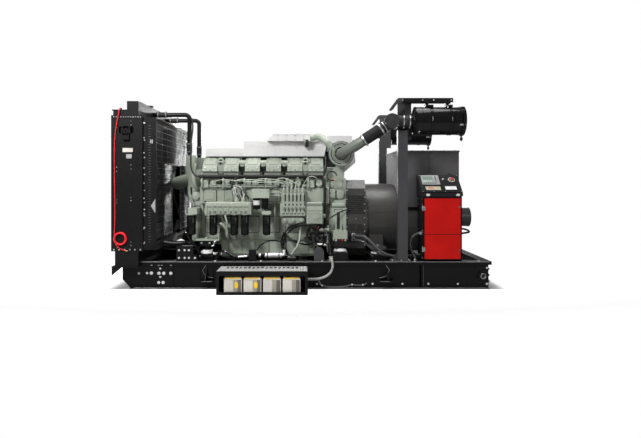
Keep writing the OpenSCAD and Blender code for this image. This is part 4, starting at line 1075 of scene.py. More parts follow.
@cache
def head_tree(kind: Head) -> NodeTree:
    """The tree that sets a fastener on each point of a mesh.

    Args:
        kind: the fastener.

    Returns:
        The finished tree, with inputs Radius and Height.
    """
    tree = NodeTree(f"heads_{kind.name.lower()}", [("Radius", "NodeSocketFloat"), ("Height", "NodeSocketFloat"),
                                                   ("Finish", "NodeSocketMaterial")])
    radius, height = tree.asks("Radius"), tree.asks("Height")
    if kind in HEAD_STEPS:
        parts = [_standing(tree, sides, tree.sum("MULTIPLY", radius, wide), tree.sum("MULTIPLY", height, tall),
                           tree.sum("MULTIPLY", height, middle)) for sides, wide, tall, middle in HEAD_STEPS[kind]]
    else:
        ball = tree.node("GeometryNodeMeshUVSphere", None, {"Segments": 10, "Rings": 6, "Radius": radius}, "Mesh")
        scale = tree.node("ShaderNodeCombineXYZ", None, {"X": 1.0, "Y": 1.0, "Z": tree.sum("DIVIDE", height, radius)})
        parts = [tree.node("GeometryNodeTransform", None, {"Geometry": ball, "Scale": scale})]
    joined = tree.node("GeometryNodeJoinGeometry", None, {"Geometry": parts})
    size = tree.node("GeometryNodeInputNamedAttribute", {"data_type": "FLOAT"}, {"Name": "size"})
    return tree.close(tree.node("GeometryNodeInstanceOnPoints", None, {
        "Points": tree.asks("Geometry"), "Instance": joined, "Rotation": _facing_turn(tree), "Scale": size}))


@dataclass
class Fasteners:
    """Bolts, screws or rivets of one kind and finish on one body.

    Args:
        name: the piece's name.
        kind: the fastener.
        finish: its finish.
        body: the body it moves with.
        radius: radius of a head of size 1.
        height: height of a head of size 1.
        spots: each fastener's place, facing and size.
    """

    name: str
    kind: Head
    finish: Finish
    body: str = "genset"
    radius: float = 0.01
    height: float = 0.008
    spots: list[tuple[Vector, Vector, float]] = field(default_factory=list)

    def spot(self, place: Point, facing: Point, size: float = 1.0) -> None:
        """One fastener."""
        self.spots.append((Vector(place), Vector(facing).normalized(), size))

    def row(self, first: Point, last: Point, count: int, facing: Point, size: float = 1.0) -> None:
        """A straight row of fasteners, ends included."""
        for i in range(count):
            self.spot(Vector(first).lerp(Vector(last), i / max(count - 1, 1)), facing, size)

    def twin(self, place: Point, facing: Point, size: float = 1.0) -> None:
        """One fastener on each side of the set."""
        self.pair(place, place, 1, facing, size)

    def pair(self, first: Point, last: Point, count: int, facing: Point, size: float = 1.0) -> None:
        """The same row on both sides of the set."""
        self.row(first, last, count, facing, size)
        self.row(*mirrored([first, last]), count, mirrored([facing])[0], size)

    def ring(self, centre: Point, direction: Vector, radius: float, count: int, size: float = 1.0,
             start: float = 0.0, sweep: float = 360.0) -> None:
        """A circle of fasteners that face along its axis."""
        u, v = across(direction.normalized())
        for i in range(count):
            turn = math.radians(start + sweep * i / count)
            self.spot(Vector(centre) + radius * spoke(u, v, turn), direction, size)

    def make(self) -> bpy.types.Object:
        """Grows them all as one piece.

        Returns:
            The piece.
        """
        seed = bpy.data.meshes.new(self.name + "_points")
        seed.from_pydata([tuple(s[0]) for s in self.spots], [], [])
        for label, kind in (("facing", "FLOAT_VECTOR"), ("size", "FLOAT")):
            seed.attributes.new(label, kind, "POINT")
        seed.attributes["facing"].data.foreach_set("vector", [part for _, way, _ in self.spots for part in way])
        seed.attributes["size"].data.foreach_set("value", [scale for _, _, scale in self.spots])
        return head_tree(self.kind).grow(self.name, seed, self.body, self.finish,
                                         Radius=self.radius, Height=self.height)


@cache
def field_tree(round_bars: bool) -> NodeTree:
    """The tree that fills a field with equal bars, in columns and rows.

    Args:
        round_bars: round wires if true, flat slats if not.

    Returns:
        The finished tree, with inputs Start, Step, Count, Row Step, Rows, Size, Turn and Finish.
    """
    tree = NodeTree("bars_round" if round_bars else "bars_flat", [
        ("Start", "NodeSocketVector"), ("Step", "NodeSocketVector"), ("Count", "NodeSocketInt"),
        ("Row Step", "NodeSocketVector"), ("Rows", "NodeSocketInt"), ("Size", "NodeSocketVector"),
        ("Turn", "NodeSocketVector"), ("Finish", "NodeSocketMaterial")])
    if round_bars:
        size = tree.node("ShaderNodeSeparateXYZ", None, {"Vector": tree.asks("Size")}).node
        bar = tree.node("GeometryNodeMeshCylinder", None, {
            "Vertices": 6, "Radius": size.outputs[0], "Depth": size.outputs[2]}, "Mesh")
        bar = tree.node("GeometryNodeSetShadeSmooth", None, {"Geometry": bar})
    else:
        bar = tree.node("GeometryNodeMeshCube", None, {"Size": tree.asks("Size")}, "Mesh")
    turned = tree.node("GeometryNodeTransform", None, {"Geometry": bar, "Rotation": tree.asks("Turn")})
    line = tree.node("GeometryNodeMeshLine", {"mode": "OFFSET"}, {
        "Count": tree.asks("Count"), "Start Location": (0.0, 0.0, 0.0), "Offset": tree.asks("Step")})
    column = tree.node("GeometryNodeInstanceOnPoints", None, {"Points": line, "Instance": turned})
    rows = tree.node("GeometryNodeMeshLine", {"mode": "OFFSET"}, {
        "Count": tree.asks("Rows"), "Start Location": tree.asks("Start"), "Offset": tree.asks("Row Step")})
    return tree.close(tree.node("GeometryNodeInstanceOnPoints", None, {"Points": rows, "Instance": column}))


@dataclass(frozen=True)
class Bars:
    """A field of equal bars.

    Args:
        start: the middle of the first bar.
        step: from one bar to the next.
        count: bars in a row.
        size: a slat's width, depth and height, or a wire's radius twice and its length.
        turn: how each bar is turned, in degrees about X, Y and Z.
        row_step: from one row to the next.
        rows: number of rows.
        wires: round wires if true.
    """

    start: Point
    step: Point
    count: int
    size: Point
    turn: Point = (0.0, 0.0, 0.0)
    row_step: Point = (0.0, 0.0, 0.0)
    rows: int = 1
    wires: bool = False

    def make(self, name: str, finish: Finish, body: str = "genset") -> bpy.types.Object:
        """Grows the field as one piece."""
        return field_tree(self.wires).grow(
            name, bpy.data.meshes.new(name + "_seed"), body, finish,
            Start=tuple(self.start), Step=tuple(self.step), Count=self.count, Row_Step=tuple(self.row_step),
            Rows=self.rows, Size=tuple(self.size), Turn=tuple(math.radians(a) for a in self.turn))


@cache
def rib_tree() -> NodeTree:
    """The tree that sets hoops at equal spacing along a line, as on a ribbed hose.

    Returns:
        The finished tree, with inputs Pitch, Radius, Rib and Finish.
    """
    tree = NodeTree("ribs", [("Pitch", "NodeSocketFloat"), ("Radius", "NodeSocketFloat"),
                             ("Rib", "NodeSocketFloat"), ("Finish", "NodeSocketMaterial")])
    line = tree.node("GeometryNodeMeshToCurve", None, {"Mesh": tree.asks("Geometry")})
    spots = tree.node("GeometryNodeResampleCurve", {"mode": "LENGTH"}, {"Curve": line, "Length": tree.asks("Pitch")})
    hoop = tree.node("GeometryNodeCurvePrimitiveCircle", {"mode": "RADIUS"}, {
        "Resolution": 28, "Radius": tree.asks("Radius")})
    wire = tree.node("GeometryNodeCurvePrimitiveCircle", {"mode": "RADIUS"}, {
        "Resolution": 6, "Radius": tree.asks("Rib")})
    ring = tree.node("GeometryNodeCurveToMesh", None, {"Curve": hoop, "Profile Curve": wire})
    ring = tree.node("GeometryNodeSetShadeSmooth", None, {"Geometry": ring})
    turn = tree.node("FunctionNodeAlignRotationToVector", {"axis": "Z"}, {
        "Vector": tree.node("GeometryNodeInputTangent", output="Tangent")})
    return tree.close(tree.node("GeometryNodeInstanceOnPoints", None, {
        "Points": spots, "Instance": ring, "Rotation": turn}))


def ribs_along(name: str, lines: Sequence[Sequence[Point]], pitch: float, radius: float, rib: float,
               finish: Finish, body: str = "genset") -> bpy.types.Object:
    """Grows ribs at equal spacing along one line or several, as one piece.

    Args:
        name: the piece's name.
        lines: the centrelines.
        pitch: spacing of the ribs.
        radius: radius of a rib's middle.
        rib: half the thickness of a rib.
        finish: the ribs' finish.
        body: the body they move with.

    Returns:
        The piece.
    """
    points: list[tuple[float, ...]] = []
    edges: list[tuple[int, int]] = []
    for line in lines:
        first = len(points)
        points += [tuple(p) for p in line]
        edges += [(i, i + 1) for i in range(first, len(points) - 1)]
    seed = bpy.data.meshes.new(name + "_line")
    seed.from_pydata(points, edges, [])
    return rib_tree().grow(name, seed, body, finish, Pitch=pitch, Radius=radius, Rib=rib)


# ---------------------------------------------------------------- places

EX, EY, EZ = Vector((1.0, 0.0, 0.0)), Vector((0.0, 1.0, 0.0)), Vector((0.0, 0.0, 1.0))
FRONT, REAR, NEAR, FAR, DOWN, UP = -EX, EX, -EY, EY, -EZ, EZ
SIDES = (-1.0, 1.0)  # the near side and the far side


def low(node: str) -> Vector:
    """A node's lowest corner."""
    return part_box(node)[0]


def high(node: str) -> Vector:
    """A node's highest corner."""
    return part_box(node)[1]


# ---------------------------------------------------------------- studio


@dataclass(frozen=True)
class Studio:
    """The plain pale floor, the soft lights and the camera.

    Args:
        distance: from the camera to the set's centreline.
        eye: height of the camera.
        lens: focal length in millimetres on a 36 mm wide frame.
        shift: sideways and upward shift of the frame.
        ambient: strength of the light from all round.
        floor_glow: how much the floor is lifted towards white.
        shade_x: where the shadow painted on the floor under the set starts to end and ends, along the set.
        shade_y: the same across the set.
        lamps: each light's name, place, aim, size in metres and power in watts.
    """

    distance: float = 8.46
    eye: float = 1.382
    lens: float = 32.125
    shift: tuple[float, float] = (0.0273, -0.0562)
    ambient: float = 0.13
    floor_glow: float = 0.68
    shade_x: tuple[float, float] = (2.42, 2.74)
    shade_y: tuple[float, float] = (1.0, 1.05)
    lamps: tuple[tuple[str, Point, Point, float, float], ...] = (
        ("key", (-4.2, -6.2, 5.4), (-0.4, 0.0, 1.1), 1.8, 640.0),
        ("fill", (5.6, -6.0, 3.2), (0.6, 0.0, 1.1), 2.6, 150.0),
        ("top", (0.4, -0.6, 6.6), (0.0, 0.0, 0.8), 4.0, 420.0),
        ("back", (2.0, 7.0, 4.4), (0.0, 0.0, 1.1), 5.0, 110.0),
        ("rim", (-1.9, 8.8, 2.95), (-1.9, 0.0, 1.5), 1.3, 470.0))

    def camera(self) -> None:
        """A level camera square to the near side."""
        data = bpy.data.cameras.new("studio_camera")
        data.sensor_width = 36.0
        data.lens = self.lens
        data.shift_x, data.shift_y = self.shift
        data.clip_end = 200.0
        made = added("studio_camera", data)
        made.location = (0.0, -self.distance, self.eye)
        made.rotation_euler = (math.radians(90.0), 0.0, 0.0)
        bpy.context.scene.camera = made

    def floor(self) -> None:
        """A wide matt floor just under the skid, with a soft shadow painted darker round the set's footprint."""
        form = Form().use(WHITE)
        far, deep = 30, -0.05
        form.prism([(-far, -far, deep), (far, -far, deep), (far, 2 * far, deep), (-far, 2 * far, deep)], (0, 0, 0.0495))
        mesh = bpy.data.meshes.new("studio_floor")
        bmesh.ops.recalc_face_normals(form.bm, faces=form.bm.faces)
        form.bm.to_mesh(mesh)
        form.bm.free()
        recipe = Recipe("studio_floor")
        haze = recipe.cloud(0.6, 3.0)
        x, y, _ = recipe.axes()
        reach = ((x * 0.42) * (x * 0.42) + (y - 0.1) * (y - 0.1)) ** 0.5
        # a soft shadow painted round the skid's footprint: clear falls from 1 to 0.22 there, darkening the floor's
        # colour and glow
        past_x = (((x - 0.06) * (x - 0.06)) ** 0.5).ramp(*self.shade_x)
        past_y = ((y * y) ** 0.5).ramp(*self.shade_y)
        clear = (((past_x * past_x) + (past_y * past_y)) ** 0.5).ramp(0.0, 1.0, 0.22, 1.0)
        veil = haze.ramp(0.3, 0.7)
        pale = recipe.mix(veil, grey(0.84), grey(0.86))
        recipe.set(Base_Color=recipe.mix(clear, grey(0.08), pale),
                   Roughness=haze.ramp(0.3, 0.7, 0.85, 0.95), Alpha=reach.ramp(1.25, 2.6, 1.0, 0.0),
                   Emission_Color=recipe.mix(veil, grey(1.0), grey(0.98)))
        recipe.set(Specular_IOR_Level=0.1, Emission_Strength=clear * self.floor_glow)
        dim = recipe.node("ShaderNodeBsdfDiffuse", None, {"Color": grey(0.42)})
        blend = recipe.node("ShaderNodeMixShader", None,
                            {0: recipe.wire("ShaderNodeLightPath", output="Is Camera Ray")})
        recipe.tree.links.new(dim.outputs[0], blend.inputs[1])
        recipe.tree.links.new(recipe.shader.outputs[0], blend.inputs[2])
        recipe.tree.links.new(blend.outputs[0], recipe.output.inputs["Surface"])
        mesh.materials.append(recipe.material)
        made = added("studio_floor", mesh)

    def light(self, name: str, place: Point, aim: Point, size: float, power: float) -> None:
        """One soft area light.

        Args:
            name: its name.
            place: where it hangs.
            aim: the point that it faces.
            size: its width.
            power: its power in watts.
        """
        data = bpy.data.lights.new(name, "AREA")
        data.shape = "SQUARE"
        data.size = size
        data.energy = power
        made = added(name, data)
        made.location = place
        made.rotation_euler = (Vector(aim) - Vector(place)).to_track_quat("-Z", "Y").to_euler()

    def build(self) -> None:
        """Sets up the camera, floor and lights."""
        self.camera()
        self.floor()
        world = bpy.data.worlds.new("studio_world")
        bpy.context.scene.world = world
        world.use_nodes = True
        tree = world.node_tree
        sky = tree.nodes["Background"]
        sky.inputs["Color"].default_value = (1.0, 1.0, 1.0, 1.0)
        sky.inputs["Strength"].default_value = self.ambient
        backdrop = tree.nodes.new("ShaderNodeBackground")
        backdrop.inputs["Color"].default_value = (1.0, 1.0, 1.0, 1.0)
        seen = tree.nodes.new("ShaderNodeLightPath")
        blend = tree.nodes.new("ShaderNodeMixShader")
        tree.links.new(seen.outputs["Is Camera Ray"], blend.inputs[0])
        tree.links.new(sky.outputs[0], blend.inputs[1])
        tree.links.new(backdrop.outputs[0], blend.inputs[2])
        tree.links.new(blend.outputs[0], tree.nodes["World Output"].inputs["Surface"])
        for lamp in self.lamps:
            self.light(*lamp)
        bpy.context.scene.view_settings.view_transform = "Standard"
        LOG.info("studio ready")


# ---------------------------------------------------------------- paintwork

PAINTWORK: dict[str, Finish] = {
    "skid_rails": SKID, "skid_cross_members": SKID, "lifting_lugs": SKID_LUG, "radiator_shelves": SKID_LUG,
    "battery_box": BAY, "batteries": BATTERY, "battery_conduit": CONDUIT, "radiator_stand": CHARCOAL,
    "radiator_core": FINS, "radiator_side_panels": CHARCOAL, "radiator_tanks": CHARCOAL, "fan_shroud": CHARCOAL,
    "fan_guard": GUARD, "guard_uprights": GUARD, "fan_hub": FAN, "fan_blades": FAN, "fan_drive": SAGE,
    # the oil pan takes the lightened green as painted light
    "engine_block": SAGE, "oil_pan": SAGE_PAINTED_LIGHT, "front_gear_case": SAGE, "flywheel_housing": SAGE,
    "cylinder_heads": SAGE, "rocker_covers": SAGE_SMOOTH, "heat_shields": SHIELD, "turbochargers": TURBO,
    "charge_pipes": TURBO, "coolant_pipes": PIPE, "thermostat_housings": SAGE, "filter_headers": SAGE,
    "oil_filters": SPIN_ON, "injection_pump": SAGE, "starter_motors": TURBO, "oil_pipes": OIL_PIPE,
    "coolant_heater": HEATER, "wiring_harness": CABLE, "mount_brackets": SAGE, "vibration_mounts": MOUNT,
    "junction_box": POST, "alternator_housing": ALTERNATOR, "alternator_feet": ALTERNATOR,
    "alternator_vent_housing": ALTERNATOR, "alternator_exciter": ALTERNATOR, "terminal_box": TERMINAL,
    "power_cables": LEAD, "filter_frames": POST, "air_filters": AIR_FILTER, "intake_elbows": ELBOW,
    "intake_pipes": INTAKE, "air_hoses": HOSE, "control_cabinet": CABINET, "cabinet_door": DOOR,
    "control_console": CONSOLE, "console_lid": CONSOLE, "red_hose": RED_HOSE, "red_hose_coil": RED_HOSE,
}


def paint_solids() -> None:
    """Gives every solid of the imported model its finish."""
    for name, finish in PAINTWORK.items():
        data = frame["nodes"][name].data
        data.materials.clear()
        data.materials.append(finish.material())
    LOG.info("painted %d solids", len(PAINTWORK))


# ---------------------------------------------------------------- red hose


@dataclass
class DrainHose:
    """The thin red hose down the radiator's near side, with its coil and end fitting.

    Args:
        radius: radius of the hose.
        coil_centre: middle of the coil.
        coil_radius: radius of the coil at the middle of its turns.
        turns: turns in the coil.
        length: the hose's whole length; not used.
        drop: points of the centreline from the header down to the coil.
        tail: points from the coil to the fitting.
    """

    radius: float = 0.006
    coil_centre: tuple[float, float, float] = (-2.348, -1.118, 0.668)
    coil_radius: float = 0.074
    turns: int = 6
    length: float = 4.75
    drop: tuple[Point, ...] = (
        (-2.361, -1.06, 2.347), (-2.361, -1.066, 2.347), (-2.361, -1.073, 2.347), (-2.361, -1.098, 2.34),
        (-2.361, -1.116, 2.322), (-2.363, -1.122, 2.296), (-2.37, -1.121, 2.25), (-2.388, -1.117, 2.17),
        (-2.412, -1.113, 2.02), (-2.424, -1.11, 1.8), (-2.424, -1.109, 1.5), (-2.42, -1.109, 1.2),
        (-2.418, -1.11, 0.96), (-2.42, -1.113, 0.82), (-2.422, -1.118, 0.75), (-2.422, -1.118, 0.695))
    tail: tuple[Point, ...] = (
        (-2.42, -1.124, 0.65), (-2.412, -1.12, 0.615), (-2.392, -1.118, 0.577), (-2.36, -1.118, 0.548),
        (-2.315, -1.118, 0.526), (-2.266, -1.118, 0.51))

    def coil(self) -> list[Vector]:
        """Winds the turns a hose's width apart, two wide and three deep.

        Returns:
            The coil's centreline.
        """
        gap = self.radius * 2
        seats = [(gap / 2, gap), (-gap / 2, gap), (-gap / 2, 0.0), (gap / 2, 0.0), (gap / 2, -gap), (-gap / 2, -gap)]
        cx, cy, cz = self.coil_centre
        steps, hold = 30, 0.82
        points = []
        for i in range(self.turns * steps + 1):
            turn, part = divmod(i, steps)
            share = max(0.0, (part / steps - hold) / (1.0 - hold))
            here = seats[min(turn, self.turns - 1)]
            after = seats[min(turn + 1, self.turns - 1)]
            reach = self.coil_radius + here[0] + (after[0] - here[0]) * share
            deep = here[1] + (after[1] - here[1]) * share
            a = 2 * math.pi * i / steps
            points.append(Vector((cx - reach * math.cos(a), cy + deep, cz - reach * math.sin(a))))
        return points[2:-2]

    def path(self) -> list[Vector]:
        """The whole centreline, from the header to the fitting."""
        return smooth_route(self.drop, 4) + self.coil() + smooth_route(self.tail, 4)

    def build(self) -> None:
        path = self.path()
        form = Form().use(RED_HOSE)
        form.tube(path, self.radius, 10)
        hose = form.piece("drain_hose", angle=60.0)
        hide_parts("red_hose", "red_hose_coil")
        end, before = path[-1], path[-2]
        way = (end - before).normalized()
        nut = Form().use(BRASS)
        nut.lathe(end - way * 0.016, way, [(0.0, 0.0062), (0.001, 0.0075), (0.012, 0.0075), (0.0125, 0.0092),
                                           (0.026, 0.0092), (0.027, 0.006), (0.034, 0.006), (0.036, 0.0)], 12)
        fitting = nut.piece("drain_hose_fitting")
        LOG.info("hose is %.3f m long", sum((b - a).length for a, b in zip(path, path[1:])))


# ---------------------------------------------------------------- skid


@dataclass
class SkidDress:
    """Bolts, rings and brackets of the skid.

    Args:
        web: how far the rails' webs stand from the centreline.
        splice: where the splice plate starts and ends.
        bolt: radius of a splice bolt's head.
        splice_bolt_places: each bolt's place along the set, height and size.
        foot_screws: places of the screws along the rails' feet.
        bracket: face of the bracket plate beside the front mount.
        strap: corners of the straps behind the lugs, by distance from a lug and height.
    """

    web: float = 0.965
    splice: tuple[float, float] = (-1.96, -1.7)
    bolt: float = 0.017
    splice_bolt_places: tuple[tuple[float, float, float], ...] = (
        (-1.985, 0.312, 0.7), (-1.888, 0.312, 0.7), (-1.848, 0.312, 0.7), (-1.729, 0.312, 0.7), (-2.149, 0.2, 0.8),
        (-2.044, 0.2, 0.7), (-1.985, 0.2, 1.0), (-1.885, 0.2, 1.0), (-1.821, 0.2, 1.0), (-1.729, 0.2, 1.0),
        (-1.888, 0.079, 0.9), (-1.83, 0.079, 1.0), (-1.868, 0.262, 0.6), (-1.868, 0.152, 0.6))
    foot_screws: tuple[float, ...] = (0.183, 0.913, 1.303, 1.643, 2.028, 2.41)
    bracket: float = -0.992
    strap: tuple[tuple[float, float], ...] = (
        (-0.015, 0.32), (-0.044, 0.285), (-0.07, 0.247), (-0.05, 0.205), (-0.037, 0.174), (0.01, 0.155), (0.067, 0.146))

    def splice_bolts(self, bolts: Fasteners) -> None:
        """The bolts of the joint near the rail's front end, on both sides."""
        for x, z, size in self.splice_bolt_places:
            deep = self.web + (0.01 if x > self.splice[0] else 0.0)
            bolts.twin((x, -deep, z), NEAR, size)

    def rail_screws(self, bolts: Fasteners) -> None:
        """Screws along the rails' feet, flanges and ends.

        Args:
            bolts: the fasteners to add them to.
        """
        for x in self.foot_screws:
            bolts.twin((x, -self.web, 0.06), NEAR, 0.62)
        bolts.twin((2.412, -self.web, 0.27), NEAR, 0.62)
        bolts.twin((1.523, -self.web, 0.322), NEAR, 0.62)
        for x in (-1.15, -0.55, 0.25, 0.95, 2.3):
            bolts.twin((x, -0.975, 0.358), UP, 0.7)

    def cross_bolts(self, bolts: Fasteners) -> None:
        """Bolts in the end member, in pairs near the rails."""
        end = high("skid_cross_members").x
        for z in (0.09, 0.17, 0.25):
            for y in (-0.84, -0.92):
                bolts.twin((end - 0.0128, y, z), REAR, 0.8)

    def eye_rings(self) -> None:
        """A turned ring round each lashing eye."""
        form = Form().use(SKID_LUG)
        for side in SIDES:
            way = Vector((0.0, side, 0.0))
            start = Vector((2.357, side * (self.web + 0.01), 0.164))
            form.band(start + way * 0.005, way, 0.03, 0.052, 0.012)
            form.use(STEEL)
            form.band(start + way * 0.012, way, 0.0295, 0.036, 0.01)
            form.use(SKID_LUG)
        form.piece("lashing_eye_rings")

    def bracket_plate(self) -> None:
        """The bolted black plate that stands on the near rail beside the front mount."""
        form = Form().use(SKID_LUG)
        form.block((-1.655, self.bracket, 0.37), (-1.437, -0.98, 0.56), 0.003)
        form.block((-1.437, self.bracket, 0.37), (-1.385, -0.98, 0.44), 0.003)
        form.block((-1.66, -0.996, 0.358), (-1.38, -0.9, 0.37), 0.003)
        for x in (-1.653, -1.452):
            form.prism([(x, -0.98, 0.37), (x, -0.905, 0.37), (x, -0.98, 0.54)], (0.012, 0, 0), 0.001)
        form.use(STEEL)
        form.block((-1.58, -0.9925, 0.5605), (-1.437, -0.975, 0.565), 0.001)
        form.piece("front_bracket_plate")

    def edge_trim(self) -> None:
        """Weld beads and straps at the lifting lugs, edges lightened partly as wear and partly as painted highlight,
        and painted shade in the rails' splice gap.
        """
        form = Form().use(SKID_LUG)
        for x in (-1.26, 1.1):
            for dx in (-0.088, 0.088):
                for side in SIDES:
                    y = side * (self.web + 0.004)
                    form.tube([(x + dx, y, 0.07), (x + dx, y, 0.2), (x + dx, y, 0.33)], 0.005, 6)
        # pale lines along the rails' flanges and the lugs' edges: partly wear, partly painted highlight
        worn_highlight = Form().use(WORN_HIGHLIGHT_STEEL)
        top = high("skid_rails").z
        x0, x1 = low("skid_rails").x + 0.06, 2.425
        for side in SIDES:
            y = side * high("skid_rails").y
            worn_highlight.tube([(x0 + (x1 - x0) * k / 12, y + side * 0.0008, top - 0.004) for k in range(13)], 0.0042, 8)
            worn_highlight.tube([(x0 + (x1 - x0) * k / 12, y, 0.0035) for k in range(13)], 0.0022, 6)
            worn_highlight.tube([(x0 + 0.1 + (x1 - x0 - 0.1) * k / 12, y, 0.0155) for k in range(13)], 0.0026, 6)
            for x, way in ((-1.241, 1.0), (1.06, -1.0)):
                bends = [(x + way * dx, z) for dx, z in self.strap]
                web = side * (self.web - 0.001)
                for (ax, az), (bx, bz) in zip(bends, bends[1:]):
                    form.prism([(ax, web, az), (bx, web, bz), (bx, web, bz - 0.009), (ax, web, az - 0.009)],
                               (0, side * 0.025, 0))
                worn_highlight.tube([(px, side * (self.web + 0.0235), pz - 0.003) for px, pz in bends], 0.0035, 6)
                foot = side * (high("lifting_lugs").y - 0.001)
                worn_highlight.tube([(x + way * dx, foot, 0.1115) for dx in (-0.058, 0.005, 0.068)], 0.0025, 6)
            worn_highlight.tube([(1.574, side * (self.web + 0.003), z) for z in (0.03, 0.18, 0.33)], 0.003, 6)
        form.piece("lug_straps")
        worn_highlight.piece("worn_highlight_edges")
        # a near-black strip painted as shade in the rails' splice gap
        gap = Form().use(PIT)
        for side in SIDES:
            gap.slab((1.549, side * self.web, 0.182), EX * 0.024, EZ * 0.16, EY * side * 0.003, 0.0, 0.0005)
        gap.piece("rail_splice_gap_shade")

    def build(self) -> None:
        """Makes every piece of the skid's dress."""
        bright = Fasteners("skid_bolts", Head.HEX, BOLT_WHITE, radius=self.bolt, height=0.014)
        self.splice_bolts(bright)
        self.rail_screws(bright)
        self.cross_bolts(bright)
        for x in (-1.62, -1.545, -1.489):
            bright.spot((x, self.bracket, 0.504), NEAR, 0.62)
        for x in (-1.62, -1.545, -1.489, -1.411):
            bright.spot((x, self.bracket, 0.404), NEAR, 0.62)
        bright.make()
        self.eye_rings()
        self.bracket_plate()
        self.edge_trim()


@dataclass
class BatteryDress:
    """Lids, posts, links and covers of the starter batteries, and the step plate over them.

    Args:
        spacing: from one battery to the next.
        case: width of a battery.
        stud_rows: rows of studs on the step plate.
        studs: studs in a row.
    """

    spacing: float = 0.242
    case: float = 0.218
    stud_rows: int = 9
    studs: int = 26

    def build(self) -> None:
        """Makes the batteries' fittings and the punched step plate."""
        (x0, y0, bottom), (x1, _, top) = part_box("batteries")
        lids = Form().use(BATTERY)
        half_shade = Form().use(CASE_HALF_SHADE)
        dark = Form().use(CASE_SHADE)
        caps = Form().use(YELLOW)
        posts = Form().use(DARK_STEEL)
        links = Form().use(CABLE)
        count = round((x1 - x0 - self.case) / self.spacing) + 1
        for i in range(count):
            a = x0 + i * self.spacing
            b = a + self.case
            lids.block((a + 0.002, y0 - 0.003, top - 0.034), (b - 0.002, y0 + 0.004, top - 0.024), 0.001)
            lids.block((a + self.case * 0.03, y0 - 0.004, bottom + 0.004),
                       (a + self.case * 0.52, y0 + 0.002, top - 0.036), 0.004)
            # painted shade over the right-hand part of each case's front, half shade then full shade
            for start, end, form in ((0.53, 0.75, half_shade), (0.755, 0.97, dark)):
                form.block((a + self.case * start, y0 - 0.0016, bottom + 0.004),
                           (a + self.case * end, y0 + 0.002, top - 0.036), 0.001)
            # a dark line painted as shade under the lid's edge
            dark.block((a - 0.003, y0 - 0.0012, top - 0.0365), (b + 0.003, y0 + 0.003, top - 0.0345), 0.0003)
            caps.block((a + 0.03, y0 + 0.05, top - 0.001), (b - 0.03, y0 + 0.082, top + 0.008), 0.002)
            caps.block((a + 0.012, y0 - 0.0035, top - 0.02), (b - 0.012, y0 + 0.003, top - 0.006), 0.001)
            if i < 2:
                caps.slab((a + self.case * 0.7, y0 + 0.001, top - 0.1), EX * 0.022, EZ * 0.04, NEAR * 0.0055, 0.0215,
                          0.0005)
            for side in (0.035, self.case - 0.035):
                posts.lathe((a + side, y0 + 0.115, top - 0.002), UP, [(0, 0.013), (0.016, 0.01), (0.018, 0.008)], 12)
            if i + 1 < count:
                links.bend([(b - 0.035, y0 + 0.115, top + 0.01), (b - 0.012, y0 + 0.112, top + 0.02),
                            (b + self.spacing - self.case + 0.012, y0 + 0.112, top + 0.02),
                            (b + self.spacing - self.case + 0.035, y0 + 0.115, top + 0.01)], 4, 0.006, 8)
        for form, name in ((lids, "battery_ribs"), (half_shade, "battery_half_shade_faces"), (dark, "battery_recess_shade"),
                           (caps, "battery_caps"), (posts, "battery_posts"), (links, "battery_links")):
            form.piece(name)
        (bx0, by0, _), (bx1, by1, btop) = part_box("battery_box")
        plate = Form().use(STEP_PLATE)
        plate.block((bx0 + 0.006, by0 + 0.006, btop - 0.0005), (bx1 - 0.006, by1 - 0.006, btop + 0.0035), 0.0008)
        plate.piece("battery_step_plate")
        # the step plate's slots, painted near black as shade
        slot_shade = Form().use(PIT)
        for k in range(17):
            slot_shade.slab((-0.957 + 0.055 * k, -1.168 + 0.01 * (k % 3), btop + 0.0032), EX * 0.017, EY * 0.04, UP * 0.005,
                       0.012, 0.0003)
        slot_shade.piece("battery_step_slot_shade")
        dots = Fasteners("battery_step_studs", Head.DOME, STEP_STUD, radius=0.0075, height=0.0045)
        for j in range(self.stud_rows):
            y = by0 + 0.03 + j * (by1 - by0 - 0.06) / (self.stud_rows - 1)
            dots.row((bx0 + 0.03 + 0.011 * (j % 2), y, btop + 0.003), (bx1 - 0.041 + 0.011 * (j % 2), y, btop + 0.003),
                     self.studs, UP)
        dots.make()
        edge = Fasteners("battery_box_screws", Head.HEX, ZINC, radius=0.009, height=0.007)
        for x in (bx0 + 0.018, bx1 - 0.018):
            for z in (0.03, 0.245):
                edge.spot((x, by0 + 0.0078, z), NEAR)
        edge.make()


